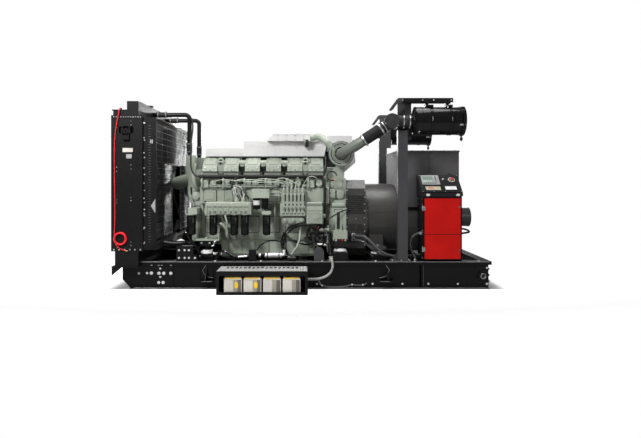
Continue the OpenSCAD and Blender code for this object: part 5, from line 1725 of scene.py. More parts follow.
@dataclass
class MountDress:
    """Domes, rubber rings and bolts of the vibration mounts.

    Args:
        places: where the mounts stand along the set, with the height of what each one carries.
        reach: how far they stand from the set's middle.
        base: height of the mounts' own plates.
        half: half the width of a mount.
        bolt: from a mount's middle to its hold-down bolts, along each axis.
    """

    places: tuple[tuple[float, float], ...] = ((-1.32, 0.6), (0.51, 0.6), (1.022, 0.48))
    reach: float = 0.62
    base: float = 0.33
    half: float = 0.1
    bolt: float = 0.078

    def build(self) -> None:
        """Makes the white domes, rubber rings, heads and hold-down bolts of every mount."""
        bolts = Fasteners("mount_bolts", Head.HEX, ZINC, radius=0.013, height=0.012)
        cap = Form().use(WHITE)
        rubber = Form().use(HOSE)
        head = Form().use(MOUNT)
        blocks = Form().use(MOUNT_BLOCK)
        for x, top in self.places:
            for side in SIDES:
                y = side * self.reach
                lift = 0.055 if 0.0 < x < 1.0 else 0.0
                for dx in (-self.bolt, self.bolt):
                    for dy in (-self.bolt, self.bolt):
                        bolts.spot((x + dx, y + dy, self.base + 0.06 + lift), UP, 0.75)
                if lift:
                    blocks.block((x - self.half - 0.001, y - self.half - 0.001, self.base + 0.002),
                                 (x + self.half + 0.001, y + self.half + 0.001, self.base + 0.06 + lift), 0.004)
                dome = self.base + 0.09 + lift * 0.55
                cap.lathe((x, y, dome), UP, [(0.0, 0.086), (0.008, 0.09), (0.02, 0.084), (0.034, 0.068), (0.044, 0.05),
                                             (0.05, 0.04)], 32)
                rubber.band((x, y, dome - 0.012), UP, 0.07, 0.0895, 0.02)
                if lift:
                    blocks.block((x - 0.092, y - 0.1015, top - 0.085), (x + 0.092, y + 0.1015, top + 0.028), 0.005)
                    for dx in (-0.062, 0.062):
                        bolts.spot((x + dx, y + side * 0.1015, top + 0.008), EY * side, 0.85)
                elif top > 0.5:
                    head.block((x - 0.088, y - 0.088, top - 0.07), (x + 0.088, y + 0.088, top - 0.011), 0.008)
                    rubber.band((x, y, top - 0.078), UP, 0.036, 0.062, 0.014)
                    for dx in (-0.055, 0.055):
                        bolts.spot((x + dx, y + side * 0.088, top - 0.03), EY * side, 0.85)
                    bolts.spot((x, y, top + 0.025), UP, 1.6)
                else:
                    bolts.spot((x, y, top + 0.04), UP, 1.6)
        bolts.make()
        cap.piece("mount_domes")
        rubber.piece("mount_rubber_rings")
        head.piece("mount_heads")
        blocks.piece("mount_blocks")


# ---------------------------------------------------------------- radiator


@dataclass
class RadiatorDress:
    """Bolts, plates, tubes, guard wires and fittings of the radiator.

    Args:
        wire: radius of a guard wire.
        wire_pitch: spacing of the guard wires.
        fin_pitch: spacing of the core's fins.
        tubes: number of the core's tubes.
        slot: the guard's slot, as its two sides and its two heights.
        half: half the width across the side panels.
        shroud: half the width across the shroud.
        column: heights of the bolts down a side panel's rear edge.
        rivet_heights: heights of the rivets on a side panel.
    """

    wire: float = 0.0034
    wire_pitch: float = 0.0165
    fin_pitch: float = 0.0165
    tubes: int = 84
    slot: tuple[float, float, float, float] = (-0.2, 0.37, 0.66, 1.64)
    half: float = 1.1
    shroud: float = 1.0805
    column: tuple[float, ...] = (2.154, 1.935, 1.71, 1.491, 1.285, 1.131, 1.041, 0.964, 0.809, 0.616)
    rivet_heights: tuple[float, ...] = (2.18, 2.128, 1.614, 1.562, 1.195, 1.157, 0.623, 0.578)

    def side_fixings(self) -> None:
        """Bolt columns, bolt rows and rivets of the side panels."""
        (x0, _, z0), (x1, _, z1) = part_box("radiator_side_panels")
        side = low("radiator_tanks").y
        bolts = Fasteners("radiator_bolts", Head.HEX, ZINC, radius=0.0095, height=0.008)
        for z in self.column:
            bolts.twin((-2.04, side, z), NEAR, 0.78)
        bolts.pair((x0 + 0.035, side, z1 - 0.022), (x1 - 0.03, side, z1 - 0.022), 12, NEAR, 0.5)
        bolts.pair((x0 + 0.035, side, z0 + 0.02), (x1 - 0.03, side, z0 + 0.02), 6, NEAR, 0.8)
        bolts.pair((x0 + 0.0068, -1.075, z0 + 0.06), (x0 + 0.0068, -1.075, z1 - 0.06), 12, FRONT, 0.8)
        top = high("radiator_tanks").z
        bolts.pair((-2.43, -1.06, 2.3285), (-2.29, -1.06, 2.3285), 3, UP, 0.8)
        for y in (-0.95, -0.55, -0.15, 0.25, 0.65, 0.95):
            bolts.spot((-2.44, y, 2.3285), UP, 0.8)
            bolts.spot((-2.13, y, top), UP, 0.8)
            bolts.spot((-2.25, y, top), UP, 0.8)
        shroud = low("fan_shroud")
        bolts.pair((-2.052, shroud.y, 0.6), (-2.052, shroud.y, 2.16), 9, NEAR, 0.75)
        bolts.make()
        rivets = Fasteners("radiator_rivets", Head.DOME, STEEL, radius=0.0065, height=0.004)
        for z in self.rivet_heights:
            rivets.twin((-2.214, side, z), NEAR)
            rivets.twin((-2.395, side, z - 0.03), NEAR)
        rivets.make()

    def plates(self) -> None:
        """Bare plates, folded edges and the port's ring on the near side."""
        form = Form().use(PANEL_GREY)
        side = low("radiator_tanks").y
        form.slab((-2.24, side, 1.726), EX * 0.036, EZ * 0.027, NEAR * 0.002, 0.003, 0.0004)
        for x in (-1.964, -1.944):
            form.slab((x, low("fan_shroud").y, 1.918), EX * 0.007, EZ * 0.024, NEAR * 0.0015, 0.002, 0.0003)
        shroud = -self.shroud
        form.prism([(-1.962, shroud, 1.086), (-1.905, shroud, 0.992), (-1.905, shroud, 1.18)], (0, -0.0015, 0), 0.0003)
        form.use(BATTERY)
        form.slab((-2.256, side, 1.806), EX * 0.066, EZ * 0.026, NEAR * 0.002, 0.004, 0.0004)
        form.piece("radiator_bare_plates")
        ring = Form().use(PIT)
        ring.lathe((-2.277, -self.half, 2.05), NEAR,
                   [(0.0, 0.066), (0.012, 0.066), (0.016, 0.06), (0.016, 0.03), (0.006, 0.028)], 32)
        for s in SIDES:
            ring.slab((-2.277 + s * 0.078, -self.half, 2.07), EX * 0.012, EZ * 0.04, NEAR * 0.014, 0.005, 0.002)
            ring.slab((-2.277 + s * 0.066, -self.half, 2.095), EX * 0.014, EZ * 0.01, NEAR * 0.012, 0.004, 0.002)
        ring.slab((-2.268, -self.half, 1.952), EX * 0.042, EZ * 0.034, NEAR * 0.01, 0.006, 0.002)
        ring.piece("radiator_port_ring")
        folds = Form().use(CHARCOAL)
        z0, z1 = low("radiator_side_panels").z, high("radiator_side_panels").z
        for s in SIDES:
            for x in (-2.4665, -2.0665):
                folds.tube([(x, s * self.half, z0 + 0.004), (x, s * self.half, (z0 + z1) / 2),
                            (x, s * self.half, z1 - 0.004)], 0.0035, 8)
            for z in (1.34, 0.9):
                folds.block((-2.455, s * 1.0995, z), (-2.3, s * 1.103, z + 0.006), 0.001)
        folds.piece("radiator_folds")

    def punched_strip(self) -> None:
        """The strip of small holes down the shroud's side, and the corner bracket under its edge."""
        y = low("fan_shroud").y
        dots = Fasteners("shroud_holes", Head.DOME, HOLE_RIM, radius=0.0052, height=0.0016)
        for x in (-1.985, -1.965):
            dots.pair((x, y, 0.62), (x, y, 2.12), 44, NEAR, 1.0 if x < -1.97 else 0.7)
        dots.make()
        arm = Form().use(SKID)
        arm.prism([(-2.06, y - 0.001, 0.52), (-1.905, y - 0.001, 0.52), (-1.905, y - 0.001, 0.6),
                   (-1.935, y - 0.001, 0.6), (-1.95, y - 0.001, 0.545), (-2.06, y - 0.001, 0.545)],
                  (0, -0.004, 0), 0.001)
        arm.piece("shroud_corner_bracket")

    def core(self) -> None:
        """Flat tubes, fins and stays on the core's front face."""
        (x0, y0, z0), (_, y1, z1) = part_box("radiator_core")
        span = y1 - y0
        step = (span - 0.03) / (self.tubes - 1)
        Bars((x0 - 0.002, y0 + 0.015, (z0 + z1) / 2), (0, step, 0), self.tubes,
             (0.006, 0.005, z1 - z0 - 0.01)).make("core_tubes_front", FINS)
        Bars((x0 - 0.003, 0.0, z0 + 0.02), (0, 0, self.fin_pitch), int((z1 - z0 - 0.04) / self.fin_pitch),
             (0.002, span - 0.02, 0.0025)).make("core_fins_front", CORE_FIN)
        stays = Form().use(CHARCOAL)
        for z in (0.95, 1.38, 1.82):
            stays.block((x0 - 0.016, y0, z - 0.016), (x0 - 0.006, y1, z + 0.016), 0.002)
        for y in (-0.55, 0.0, 0.55):
            stays.block((x0 - 0.022, y - 0.014, z0), (x0 - 0.016, y + 0.014, z1), 0.002)
        stays.piece("core_stays")

    def guard(self) -> None:
        """The shiny wires over the guard's bars, and the frame of its slot."""
        x = high("fan_guard").x + self.wire
        low_z, high_z = low("fan_guard").z + 0.012, high("fan_guard").z - 0.012
        side = high("fan_guard").y - 0.004
        y0, y1, z0, z1 = self.slot
        frame_strips = Form().use(STEEL)
        for low_corner, high_corner in (((y0 - 0.012, z1 - 0.002), (y1 + 0.012, z1 + 0.012)),
                                        ((y1 - 0.002, z0), (y1 + 0.014, z1)), ((y0 - 0.014, z0), (y0 + 0.002, z1))):
            frame_strips.block((x - 0.002, *low_corner), (x + 0.0045, *high_corner), 0.0008)
        frame_strips.piece("guard_slot_frame")
        pitch = self.wire_pitch
        left, right = y0 - 0.004 + side, side - y1 - 0.004
        inner = int((z1 - z0) / pitch) + 1
        for where, y, z, count, length in (
                ("near", (y0 - side) / 2, z0, inner, left), ("far", (side + y1) / 2, z0, inner, right),
                ("top", 0, z1 + pitch, int((high_z - z1) / pitch), 2 * side),
                ("bottom", 0, low_z, int((z0 - low_z) / pitch), 2 * side)):
            Bars((x, y, z), (0, 0, pitch), count, (self.wire, 0, length), (90, 0, 0), wires=True).make(
                f"guard_wires_{where}", GUARD_GLOSS)

    def fittings(self) -> None:
        """Filler cap, small plug, level glass and tank bolts."""
        top = high("radiator_tanks").z
        cap = Form().use(CHARCOAL)
        cap.lathe((-2.19, -0.3, top), UP, [(0.0, 0.05), (0.01, 0.05), (0.012, 0.044), (0.02, 0.044),
                                           (0.024, 0.056), (0.04, 0.056), (0.043, 0.05), (0.045, 0.0)], 28)
        cap.use(STEEL)
        cap.lathe((-2.19, 0.4, top), UP, [(0.0, 0.02), (0.012, 0.02), (0.013, 0.014), (0.03, 0.014), (0.031, 0.0)], 16)
        cap.piece("radiator_filler")
        front = low("radiator_tanks").x
        bolts = Fasteners("tank_bolts", Head.HEX, DARK_STEEL, radius=0.009, height=0.008)
        for z in (0.515, 0.572, 2.185, 2.243):
            bolts.row((front, -1.05, z), (front, 1.05, z), 30, FRONT)
        bolts.make()
        glass = Form().use(BRASS)
        for z in (2.29, 2.39):
            glass.lathe((-2.117, 0.72, z), REAR, [(0.0, 0.012), (0.016, 0.012), (0.018, 0.01)], 12)
        glass.use(WHITE)
        glass.drum((-2.107, 0.72, 2.295), (-2.107, 0.72, 2.385), 0.006, 10)
        glass.piece("radiator_level_glass")

    def clamps(self) -> None:
        """Rubber sleeves and bright clamps on the coolant pipes."""
        sleeves = Form().use(HOSE)
        clamps = Form().use(CLAMP_GREY)
        z = 2.343
        sleeve = [(0.0, 0.036), (0.003, 0.038), (0.137, 0.038), (0.14, 0.036)]
        for side in SIDES:
            y = side * 0.375
            sleeves.lathe((-2.06, y, z), REAR, sleeve, 24)
            for x in (-2.045, -1.935):
                clamps.band((x, y, z), EX, 0.0375, 0.0405, 0.012, 24)
                clamps.block((x - 0.006, y - 0.008, z + 0.04), (x + 0.006, y + 0.008, z + 0.05), 0.001)
            sleeves.lathe((-1.603, y, 1.806), UP, sleeve, 24)
            for h in (1.822, 1.931):
                clamps.band((-1.603, y, h), EZ, 0.0375, 0.0405, 0.012, 24)
                clamps.block((-1.611, y + side * 0.04, h - 0.006), (-1.595, y + side * 0.05, h + 0.006), 0.001)
        sleeves.piece("coolant_sleeves")
        clamps.piece("coolant_clamps")

    def build(self) -> None:
        """Makes every piece of the radiator's dress."""
        self.side_fixings()
        self.plates()
        self.punched_strip()
        self.core()
        self.guard()
        self.fittings()
        self.clamps()


# ---------------------------------------------------------------- engine


@dataclass
class Bank:
    """Places on a cylinder bank, by distance along and across its axis.

    Args:
        lean: how far the bank leans from upright, in degrees.
        crank: height of the crankshaft.
        first: the first cylinder's place along the set.
        pitch: spacing of the cylinders.
        count: cylinders in a bank.
    """

    lean: float = 30.0
    crank: float = 0.88
    first: float = -1.282
    pitch: float = 0.292
    count: int = 6

    def at(self, x: float, along: float, over: float, side: float = -1.0) -> Vector:
        """A point of a bank.

        Args:
            x: place along the set.
            along: distance from the crankshaft along the bank's axis.
            over: distance from the bank's axis, outwards and down.
            side: -1 for the near bank, 1 for the far one.

        Returns:
            The point.
        """
        a = math.radians(self.lean)
        return Vector((x, side * (along * math.sin(a) + over * math.cos(a)),
                       self.crank + along * math.cos(a) - over * math.sin(a)))

    def axis(self, side: float = -1.0) -> Vector:
        """Direction of a bank's axis, upwards."""
        a = math.radians(self.lean)
        return Vector((0.0, side * math.sin(a), math.cos(a)))

    def outward(self, side: float = -1.0) -> Vector:
        """Direction across a bank's axis, outwards."""
        a = math.radians(self.lean)
        return Vector((0.0, side * math.cos(a), -math.sin(a)))

    def columns(self) -> list[float]:
        """The cylinders' places along the set."""
        return [self.first + i * self.pitch for i in range(self.count)]


@dataclass
class EngineDress:
    """Everything bolted to the engine: covers, lines, pipes, filters, screws and shields.

    Args:
        bank: the cylinder banks.
        cover_top: distance of a rocker cover's top along the bank's axis.
        head_side: distance of a head's outer face from the bank's axis.
        ledge: half the width across the block's ledge.
        case: half the width across the crankcase.
        gear_side: half the width across the front gear case.
        foot_side: half the width across the flywheel housing's feet.
        shield_side: half the width across the heat shields.
        filter_row: where the filters stand across the set.
        spin_ons: each spin-on filter's place along the set, its radius and the height of its head.
        pump_faces: near faces of the injection pump's plungers, its body and its governor.
    """

    bank: Bank = field(default_factory=Bank)
    cover_top: float = 0.93
    head_side: float = 0.2
    ledge: float = 0.56
    case: float = 0.46
    gear_side: float = 0.46
    foot_side: float = 0.52
    shield_side: float = 0.4
    filter_row: float = -0.7
    spin_ons: tuple[tuple[float, float, float], ...] = (
        (-1.514, 0.062, 1.04), (-1.218, 0.0525, 1.1), (-0.933, 0.0525, 1.1), (-0.787, 0.0525, 1.1),
        (-0.494, 0.0525, 1.0))
    pump_faces: tuple[float, float, float] = (-0.69, -0.7, -0.72)

    def covers(self) -> None:
        """Ribs, knobs, marks and cap screws of the rocker covers, and the lifting eyes, with shade painted along the
        covers' lower edges and in the eyes' holes.
        """
        b = self.bank
        ribs = Form().use(SAGE_SMOOTH)
        screws = Fasteners("rocker_cover_screws", Head.SOCKET, ZINC, radius=0.008, height=0.012)
        domes = Fasteners("rocker_cover_knobs", Head.HEX, STEEL, radius=0.013, height=0.016)
        for side in SIDES:
            out, up = b.outward(side), b.axis(side)
            for x in b.columns():
                for dx in (-0.092, 0.092):
                    for over in (-0.19, 0.178):
                        screws.spot(b.at(x + dx, 0.826, over, side), up)
                    screws.spot(b.at(x + dx * 0.72, self.cover_top - 0.012, 0.156, side), (out + up * 0.8).normalized(),
                                0.8)
                domes.spot(b.at(x, self.cover_top, -0.02, side), up)
                ribs.slab(b.at(x, self.cover_top - 0.001, 0.0, side), EX * 0.07, out * 0.105, up * 0.01, 0.02, 0.003)
                for dx in (-0.048, 0.0, 0.048):
                    ribs.slab(b.at(x + dx, 0.868, 0.169, side), EX * 0.009, up * 0.03, out * 0.008, 0.004, 0.002)
                ribs.slab(b.at(x, 0.868, 0.1695, side), EX * 0.085, up * 0.01, out * 0.006, 0.004, 0.002)
        ribs.piece("rocker_cover_ribs")
        marks_and_shade = Form().use(SHADOW)
        eyes = Form().use(SAGE_SMOOTH)
        for side in SIDES:
            out, up = b.outward(side), b.axis(side)
            for x in b.columns():
                marks_and_shade.slab(b.at(x + 0.008, 0.872, 0.1775, side), EX * 0.011, up * 0.017, out * 0.0012, 0.006, 0.0003)
                # a dark line painted as shade along each cover's lower edge
                marks_and_shade.slab(b.at(x, 0.8185, 0.177, side), EX * 0.112, up * 0.0035, out * 0.0035, 0.001, 0.0003)
            for gap in (0, 4):
                x = b.columns()[gap] + b.pitch / 2
                eyes.slab((x, side * 0.552, 1.615), EX * 0.05, EZ * 0.118, EY * side * 0.014, 0.046, 0.003)
                # a dark disc painted as shade in each lifting eye's hole
                marks_and_shade.lathe((x, side * 0.5665, 1.69), EY * side, [(0.0, 0.02), (0.0012, 0.02), (0.0013, 0.0)], 20)
        marks_and_shade.piece("rocker_cover_marks_and_shade")
        eyes.piece("lifting_eyes")
        screws.make()
        domes.make()

    def heads(self) -> None:
        """Ports, elbows, studs and gaps on the heads' outer faces."""
        b = self.bank
        form = Form().use(SAGE)
        dark = Form().use(SHADOW)
        studs = Fasteners("head_bolts", Head.HEX, SAGE_STUD, radius=0.014, height=0.014)
        for side in SIDES:
            out, up = b.outward(side), b.axis(side)
            for x in b.columns():
                for dx in (-0.066, 0.066):
                    form.lathe(b.at(x + dx, 0.735, self.head_side - 0.004, side), out,
                               [(0, 0.034), (0.012, 0.034), (0.014, 0.024), (0.03, 0.022), (0.032, 0.0)], 18)
                form.slab(b.at(x, 0.735, self.head_side - 0.001, side), EX * 0.12, up * 0.046, out * 0.008, 0.012,
                          0.003)
                dark.slab(b.at(x, 0.688, self.head_side - 0.0006, side), EX * 0.105, up * 0.008, out * 0.002, 0.003,
                          0.0005)
                for dx in (-0.112, -0.022, 0.022, 0.112):
                    studs.spot(b.at(x + dx, 0.775, self.head_side + 0.002, side), out, 0.62)
                    studs.spot(b.at(x + dx, 0.702, self.head_side + 0.008, side), out, 0.62)
                form.bend([b.at(x + 0.02, 0.69, self.head_side - 0.01, side),
                           b.at(x + 0.02, 0.68, self.head_side + 0.03, side),
                           b.at(x + 0.01, 0.64, self.head_side + 0.036, side),
                           b.at(x, 0.6, self.head_side - 0.012, side)], 4, 0.017, 10)
            for x in [x + b.pitch / 2 for x in b.columns()[:-1]]:
                dark.slab(b.at(x, 0.732, self.head_side - 0.03, side), EX * 0.012, up * 0.066, out * 0.004, 0.0, 0.0005)
        form.piece("head_ports")
        dark.piece("head_shadow_gaps")
        studs.make()

    def rails(self) -> None:
        """Fuel and water rails along the banks with their clips, and the covers' cable strip."""
        b = self.bank
        x0, x1 = b.columns()[0] - 0.12, b.columns()[-1] + 0.12
        along, over, radius = 0.655, 0.228, 0.019
        rail = Form().use(SAGE_SMOOTH)
        clips = Form().use(DARK_STEEL)
        black = Form().use(CABLE)
        for side in SIDES:
            rail.tube([b.at(x0 + (x1 - x0) * k / 12, along, over, side) for k in range(13)], radius, 10)
            for x in b.columns():
                clips.band(b.at(x - 0.1, along, over, side), EX, radius, radius + 0.003, 0.014, 12)
            for x in b.columns()[:-1]:
                rail.bend([b.at(x + 0.1, 0.875, 0.05, side), b.at(x + 0.125, 0.895, 0.06, side),
                           b.at(x + b.pitch / 2, 0.885, 0.08, side), b.at(x + b.pitch - 0.125, 0.895, 0.06, side),
                           b.at(x + b.pitch - 0.1, 0.875, 0.05, side)], 4, 0.014, 10)
            black.tube([b.at(x0 + (x1 - x0) * k / 10, self.cover_top - 0.066, 0.187, side) for k in range(11)], 0.006,
                       8)
        rail.piece("bank_rails")
        clips.piece("rail_clips")
        black.piece("cover_cable_strip")

    def injection_lines(self) -> None:
        """Thin steel lines that fan out from the pump's plungers to the near bank's cylinders."""
        b = self.bank
        x0 = low("injection_pump").x
        lines = Form().use(LINE_PALE)
        nuts = Form().use(ZINC)
        for i, x in enumerate(b.columns()):
            start = Vector((x0 + 0.045 + i * 0.052, -0.625, 1.3))
            end = b.at(x + 0.03, 0.73, self.head_side + 0.034)
            way = (i - 2.5) / 2.5
            route = smooth_route([start, start + Vector((0, 0, 0.03)), start + Vector((way * 0.02, -0.01, 0.075)),
                                  (start.x * 0.6 + end.x * 0.4, -0.672 - 0.012 * (i % 3), 1.395 + 0.014 * i),
                                  (end.x * 0.85 + start.x * 0.15, -0.668 - 0.008 * (i % 2), 1.425 + 0.006 * i),
                                  end + b.outward() * 0.03, end], 6)
            lines.tube(route, 0.0048, 8)
            nuts.lathe(start - Vector((0, 0, 0.004)), UP, [(0, 0.013), (0.016, 0.013), (0.018, 0.009), (0.028, 0.008)],
                       6)
            nuts.lathe(end - b.outward() * 0.004, b.outward(), [(0, 0.012), (0.016, 0.012), (0.018, 0.008)], 6)
        lines.piece("injection_lines")
        nuts.piece("injection_nuts")

    def crankcase(self) -> None:
        """Covers, ribs, plugs and bolt rows of the crankcase and oil pan, with shade painted round the covers."""
        b = self.bank
        form = Form().use(SAGE)
        gap = Form().use(SHADOW)
        bolts = Fasteners("crankcase_bolts", Head.HEX, SAGE_BOLT, radius=0.012, height=0.011)
        x0, x1 = low("engine_block").x, high("engine_block").x
        for side in SIDES:
            way = EY * side
            for i, x in enumerate(b.columns()):
                if side < 0 and i >= b.count - 2:
                    continue
                y = side * (self.ledge + 0.006)
                # a dark outline painted as shade round each cover
                gap.slab((x, y, 1.205), EX * 0.094, EZ * 0.083, way * 0.0015, 0.02, 0.0005)
                form.slab((x, y, 1.205), EX * 0.088, EZ * 0.077, way * 0.016, 0.022, 0.006)
                form.slab((x, y + side * 0.014, 1.205), EX * 0.062, EZ * 0.05, way * 0.008, 0.014, 0.005)
                for dx in (-0.074, 0.0, 0.074):
                    for z in (1.142, 1.268):
                        bolts.spot((x + dx, y + side * 0.015, z), way, 0.8)
            bolts.row((x0 + 0.03, side * self.ledge, 1.298), (x1 - 0.03, side * self.ledge, 1.298), 24, way, 0.55)
            bolts.row((x0 + 0.04, side * self.case, 0.64), (x1 - 0.04, side * self.case, 0.64), 26, way, 0.6)
            for i in range(b.count + 1):
                x = b.first - b.pitch / 2 + i * b.pitch
                x = min(max(x, x0 + 0.02), x1 - 0.02)
                form.slab((x, side * self.case, 0.86), EX * 0.012, EZ * 0.225, way * 0.016, 0.006, 0.004)
            for x in b.columns():
                form.lathe((x, side * self.case, 1.01), way, [(0, 0.046), (0.01, 0.046), (0.016, 0.036), (0.017, 0.0)],
                           24)
                # a dark outline painted as shade round each cover
                gap.slab((x, side * self.case, 0.805), EX * 0.087, EZ * 0.117, way * 0.0015, 0.022, 0.0005)
                form.slab((x, side * self.case, 0.805), EX * 0.08, EZ * 0.11, way * 0.018, 0.026, 0.007)
                form.lathe((x, side * (self.case + 0.017), 0.77), way,
                           [(0, 0.04), (0.006, 0.04), (0.009, 0.033), (0.01, 0.0)], 24)
                for dx in (-0.066, 0.066):
                    for z in (0.712, 0.805, 0.898):
                        bolts.spot((x + dx, side * (self.case + 0.018), z), way, 0.8)
        form.piece("crankcase_covers")
        gap.piece("cover_shade_outlines")
        pan_low, pan_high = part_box("oil_pan")
        flange = Form().use(SAGE)
        for side in SIDES:
            flange.block((pan_low.x, side * 0.44, pan_high.z - 0.03), (pan_high.x, side * 0.452, pan_high.z - 0.016),
                         0.002)
            bolts.row((pan_low.x + 0.03, side * 0.452, pan_high.z - 0.023),
                      (pan_high.x - 0.03, side * 0.452, pan_high.z - 0.023), 22, EY * side, 0.5)
            for i in range(7):
                x = pan_low.x + 0.1 + i * (pan_high.x - pan_low.x - 0.2) / 6
                flange.prism([(x, side * 0.415, 0.575), (x, side * 0.372, 0.4),
                              (x, side * 0.38, 0.394), (x, side * 0.428, 0.575)], (0.012, 0, 0), 0.001)
        flange.piece("oil_pan_flange")
        bolts.make()

    def filters(self) -> None:
        """Crimped rims and hexagons of the spin-on filters, one bare label, the bosses over them, and shade painted
        between the header's ribs.
        """
        row = self.filter_row
        rims = Form().use(SPIN_ON)
        labels = Form().use(WHITE)
        bosses = Form().use(SAGE)
        folds = Form().use(SAGE_PAINTED_SHADE)
        head_bolts = Fasteners("filter_header_bolts", Head.HEX, ZINC, radius=0.011, height=0.01)
        bottom, top = 0.68, 0.96
        for x, r, head in self.spin_ons:
            rims.lathe((x, row, bottom + 0.004), UP,
                       [(0.0, r - 0.012), (0.004, r - 0.003), (0.012, r), (0.232, r), (0.238, r - 0.003),
                        (0.262, r - 0.004), (0.264, 0.047)], 30)
            rims.band((x, row, top - 0.03), UP, r - 0.004, r + 0.0015, 0.012, 30)
            rims.lathe((x, row, bottom + 0.001), DOWN, [(0, 0.02), (0.01, 0.018), (0.011, 0.0)], 6)
            bosses.lathe((x, row, top - 0.01), UP, [(0, r + 0.002), (0.012, r + 0.002), (0.016, r - 0.002)], 24)
            head_bolts.ring((x, row, head), UP, 0.045, 4, 0.8, 45)
        for x in (-0.63, -0.515):
            rims.band((x, row, 1.046), UP, 0.04, 0.047, 0.01, 24)
            rims.lathe((x, row, 1.031), DOWN, [(0, 0.016), (0.012, 0.014), (0.013, 0.0)], 6)
            bosses.lathe((x, row, 1.176), UP, [(0, 0.05), (0.01, 0.05), (0.012, 0.046)], 24)
        labels.lathe((-0.63, row, 1.085), UP, [(0, 0.0462), (0.06, 0.0462)], 28)
        rims.piece("filter_rims")
        labels.piece("fuel_filter_label")
        face = low("filter_headers").y
        for k in range(9):
            x = -1.29 + k * 0.07
            bosses.slab((x, face, 1.03), EX * 0.006, EZ * 0.058, NEAR * 0.01, 0.003, 0.002)
            # dark scallops and lines painted as shade between the header's ribs
            if k < 8:
                folds.slab((x + 0.035, face, 0.986), EX * 0.021, EZ * 0.019, NEAR * 0.0012, 0.012, 0.0003)
                folds.slab((x + 0.035, face, 1.054), EX * 0.02, EZ * 0.004, NEAR * 0.0012, 0.002, 0.0003)
        bosses.slab((-1.01, face, 1.075), EX * 0.3, EZ * 0.01, NEAR * 0.012, 0.004, 0.002)
        bosses.drum((-1.31, -0.7, 1.1), (-0.71, -0.7, 1.1), 0.03, 20)
        bosses.piece("filter_header_bosses")
        folds.piece("filter_header_shade")
        for x in (-1.27, -1.13, -0.99, -0.85, -0.74):
            head_bolts.spot((x, face - 0.001, 1.078), NEAR, 0.8)
            head_bolts.spot((x, face - 0.001, 0.985), NEAR, 0.8)
        head_bolts.row((-0.675, -0.76, 1.275), (-0.47, -0.76, 1.275), 3, NEAR, 0.8)
        head_bolts.make()

    def pump(self) -> None:
        """Ports, ribs and screws of the injection pump and its governor, with shade painted in its slots and seams."""
        x0, x1 = low("injection_pump").x, high("injection_pump").x
        upper, lower, cover = self.pump_faces
        form = Form().use(SAGE_SMOOTH)
        dark = Form().use(SHADOW)
        screws = Fasteners("pump_screws", Head.SOCKET, ZINC, radius=0.008, height=0.008)
        split = x0 + 0.35
        g0, g1 = split + 0.007, x1
        left, right = (x0 + split) / 2, (g0 + g1) / 2
        for k in range(6):
            x = x0 + 0.045 + k * 0.052
            form.slab((x, upper, 1.17), EX * 0.015, EZ * 0.055, NEAR * 0.01, 0.006, 0.003)
            form.lathe((x, lower, 0.985), NEAR, [(0, 0.018), (0.01, 0.018), (0.012, 0.012), (0.016, 0.0)], 14)
            screws.spot((x, upper, 1.228), NEAR, 0.8)
            # dark slots painted as shade between the plungers
            dark.slab((x + 0.026, upper, 1.18), EX * 0.0075, EZ * 0.048, NEAR * 0.0015, 0.003, 0.0003)
            dark.slab((x + 0.026, lower, 1.086), EX * 0.01, EZ * 0.012, NEAR * 0.0015, 0.004, 0.0003)
            dark.slab((x + 0.026, lower, 1.012), EX * 0.007, EZ * 0.022, NEAR * 0.0015, 0.004, 0.0003)
            dark.slab((x, lower, 0.962), EX * 0.016, EZ * 0.005, NEAR * 0.0015, 0.002, 0.0003)
            form.drum((x, -0.712, 1.022), (x, -0.712, 1.068), 0.011, 10)
            form.lathe((x, -0.625, 1.236), UP,
                       [(0, 0.021), (0.018, 0.021), (0.022, 0.016), (0.044, 0.016), (0.046, 0.012)], 12)
        form.slab((left, upper, 1.11), EX * 0.15, EZ * 0.01, NEAR * 0.012, 0.004, 0.002)
        form.slab((left, lower, 1.055), EX * 0.16, EZ * 0.014, NEAR * 0.008, 0.005, 0.002)
        form.slab((left, lower, 0.945), EX * 0.165, EZ * 0.01, NEAR * 0.008, 0.004, 0.002)
        form.slab((right, cover, 0.912), EX * 0.082, EZ * 0.072, NEAR * 0.007, 0.02, 0.003)
        form.lathe((right + 0.02, -0.727, 0.912), NEAR, [(0, 0.036), (0.008, 0.036), (0.011, 0.028), (0.012, 0.0)], 24)
        form.slab((right, -0.7205, 1.012), EX * 0.104, EZ * 0.006, NEAR * 0.006, 0.003, 0.001)
        for x in (g0 + 0.016, g1 - 0.016):
            for z in (0.838, 0.912, 0.986):
                screws.spot((x, cover, z), NEAR)
        form.drum((g1 - 0.002, -0.6, 0.93), (g1 + 0.05, -0.6, 0.93), 0.03, 18)
        form.drum((g0 + 0.004, -0.706, 1.104), (g1 - 0.004, -0.706, 1.104), 0.019, 18)
        form.drum((g0 + 0.004, -0.708, 0.842), (g1 - 0.004, -0.708, 0.842), 0.016, 18)
        # dark seams painted as shade on the governor and at the split
        dark.slab((right, -0.7202, 1.076), EX * 0.106, EZ * 0.003, NEAR * 0.001, 0.0, 0.0002)
        dark.block((split - 0.006, -0.703, 0.935), (split + 0.006, upper, 1.115), 0.001)
        for k in range(2):
            form.tube([(xx, -0.672, 1.252 - 0.04 * k) for xx in (-0.46, -0.4, -0.34, -0.3)], 0.01, 10)
        form.slab((-0.13, -0.6, 0.87), EX * 0.15, EZ * 0.045, NEAR * 0.07, 0.015, 0.006)
        for x in (-0.24, -0.13, -0.02):
            form.lathe((x, -0.668, 0.87), NEAR,
                       [(0, 0.026), (0.014, 0.026), (0.018, 0.018), (0.03, 0.016), (0.031, 0.0)], 16)
        form.piece("pump_bosses")
        dark.piece("pump_shade_gaps")
        screws.make()

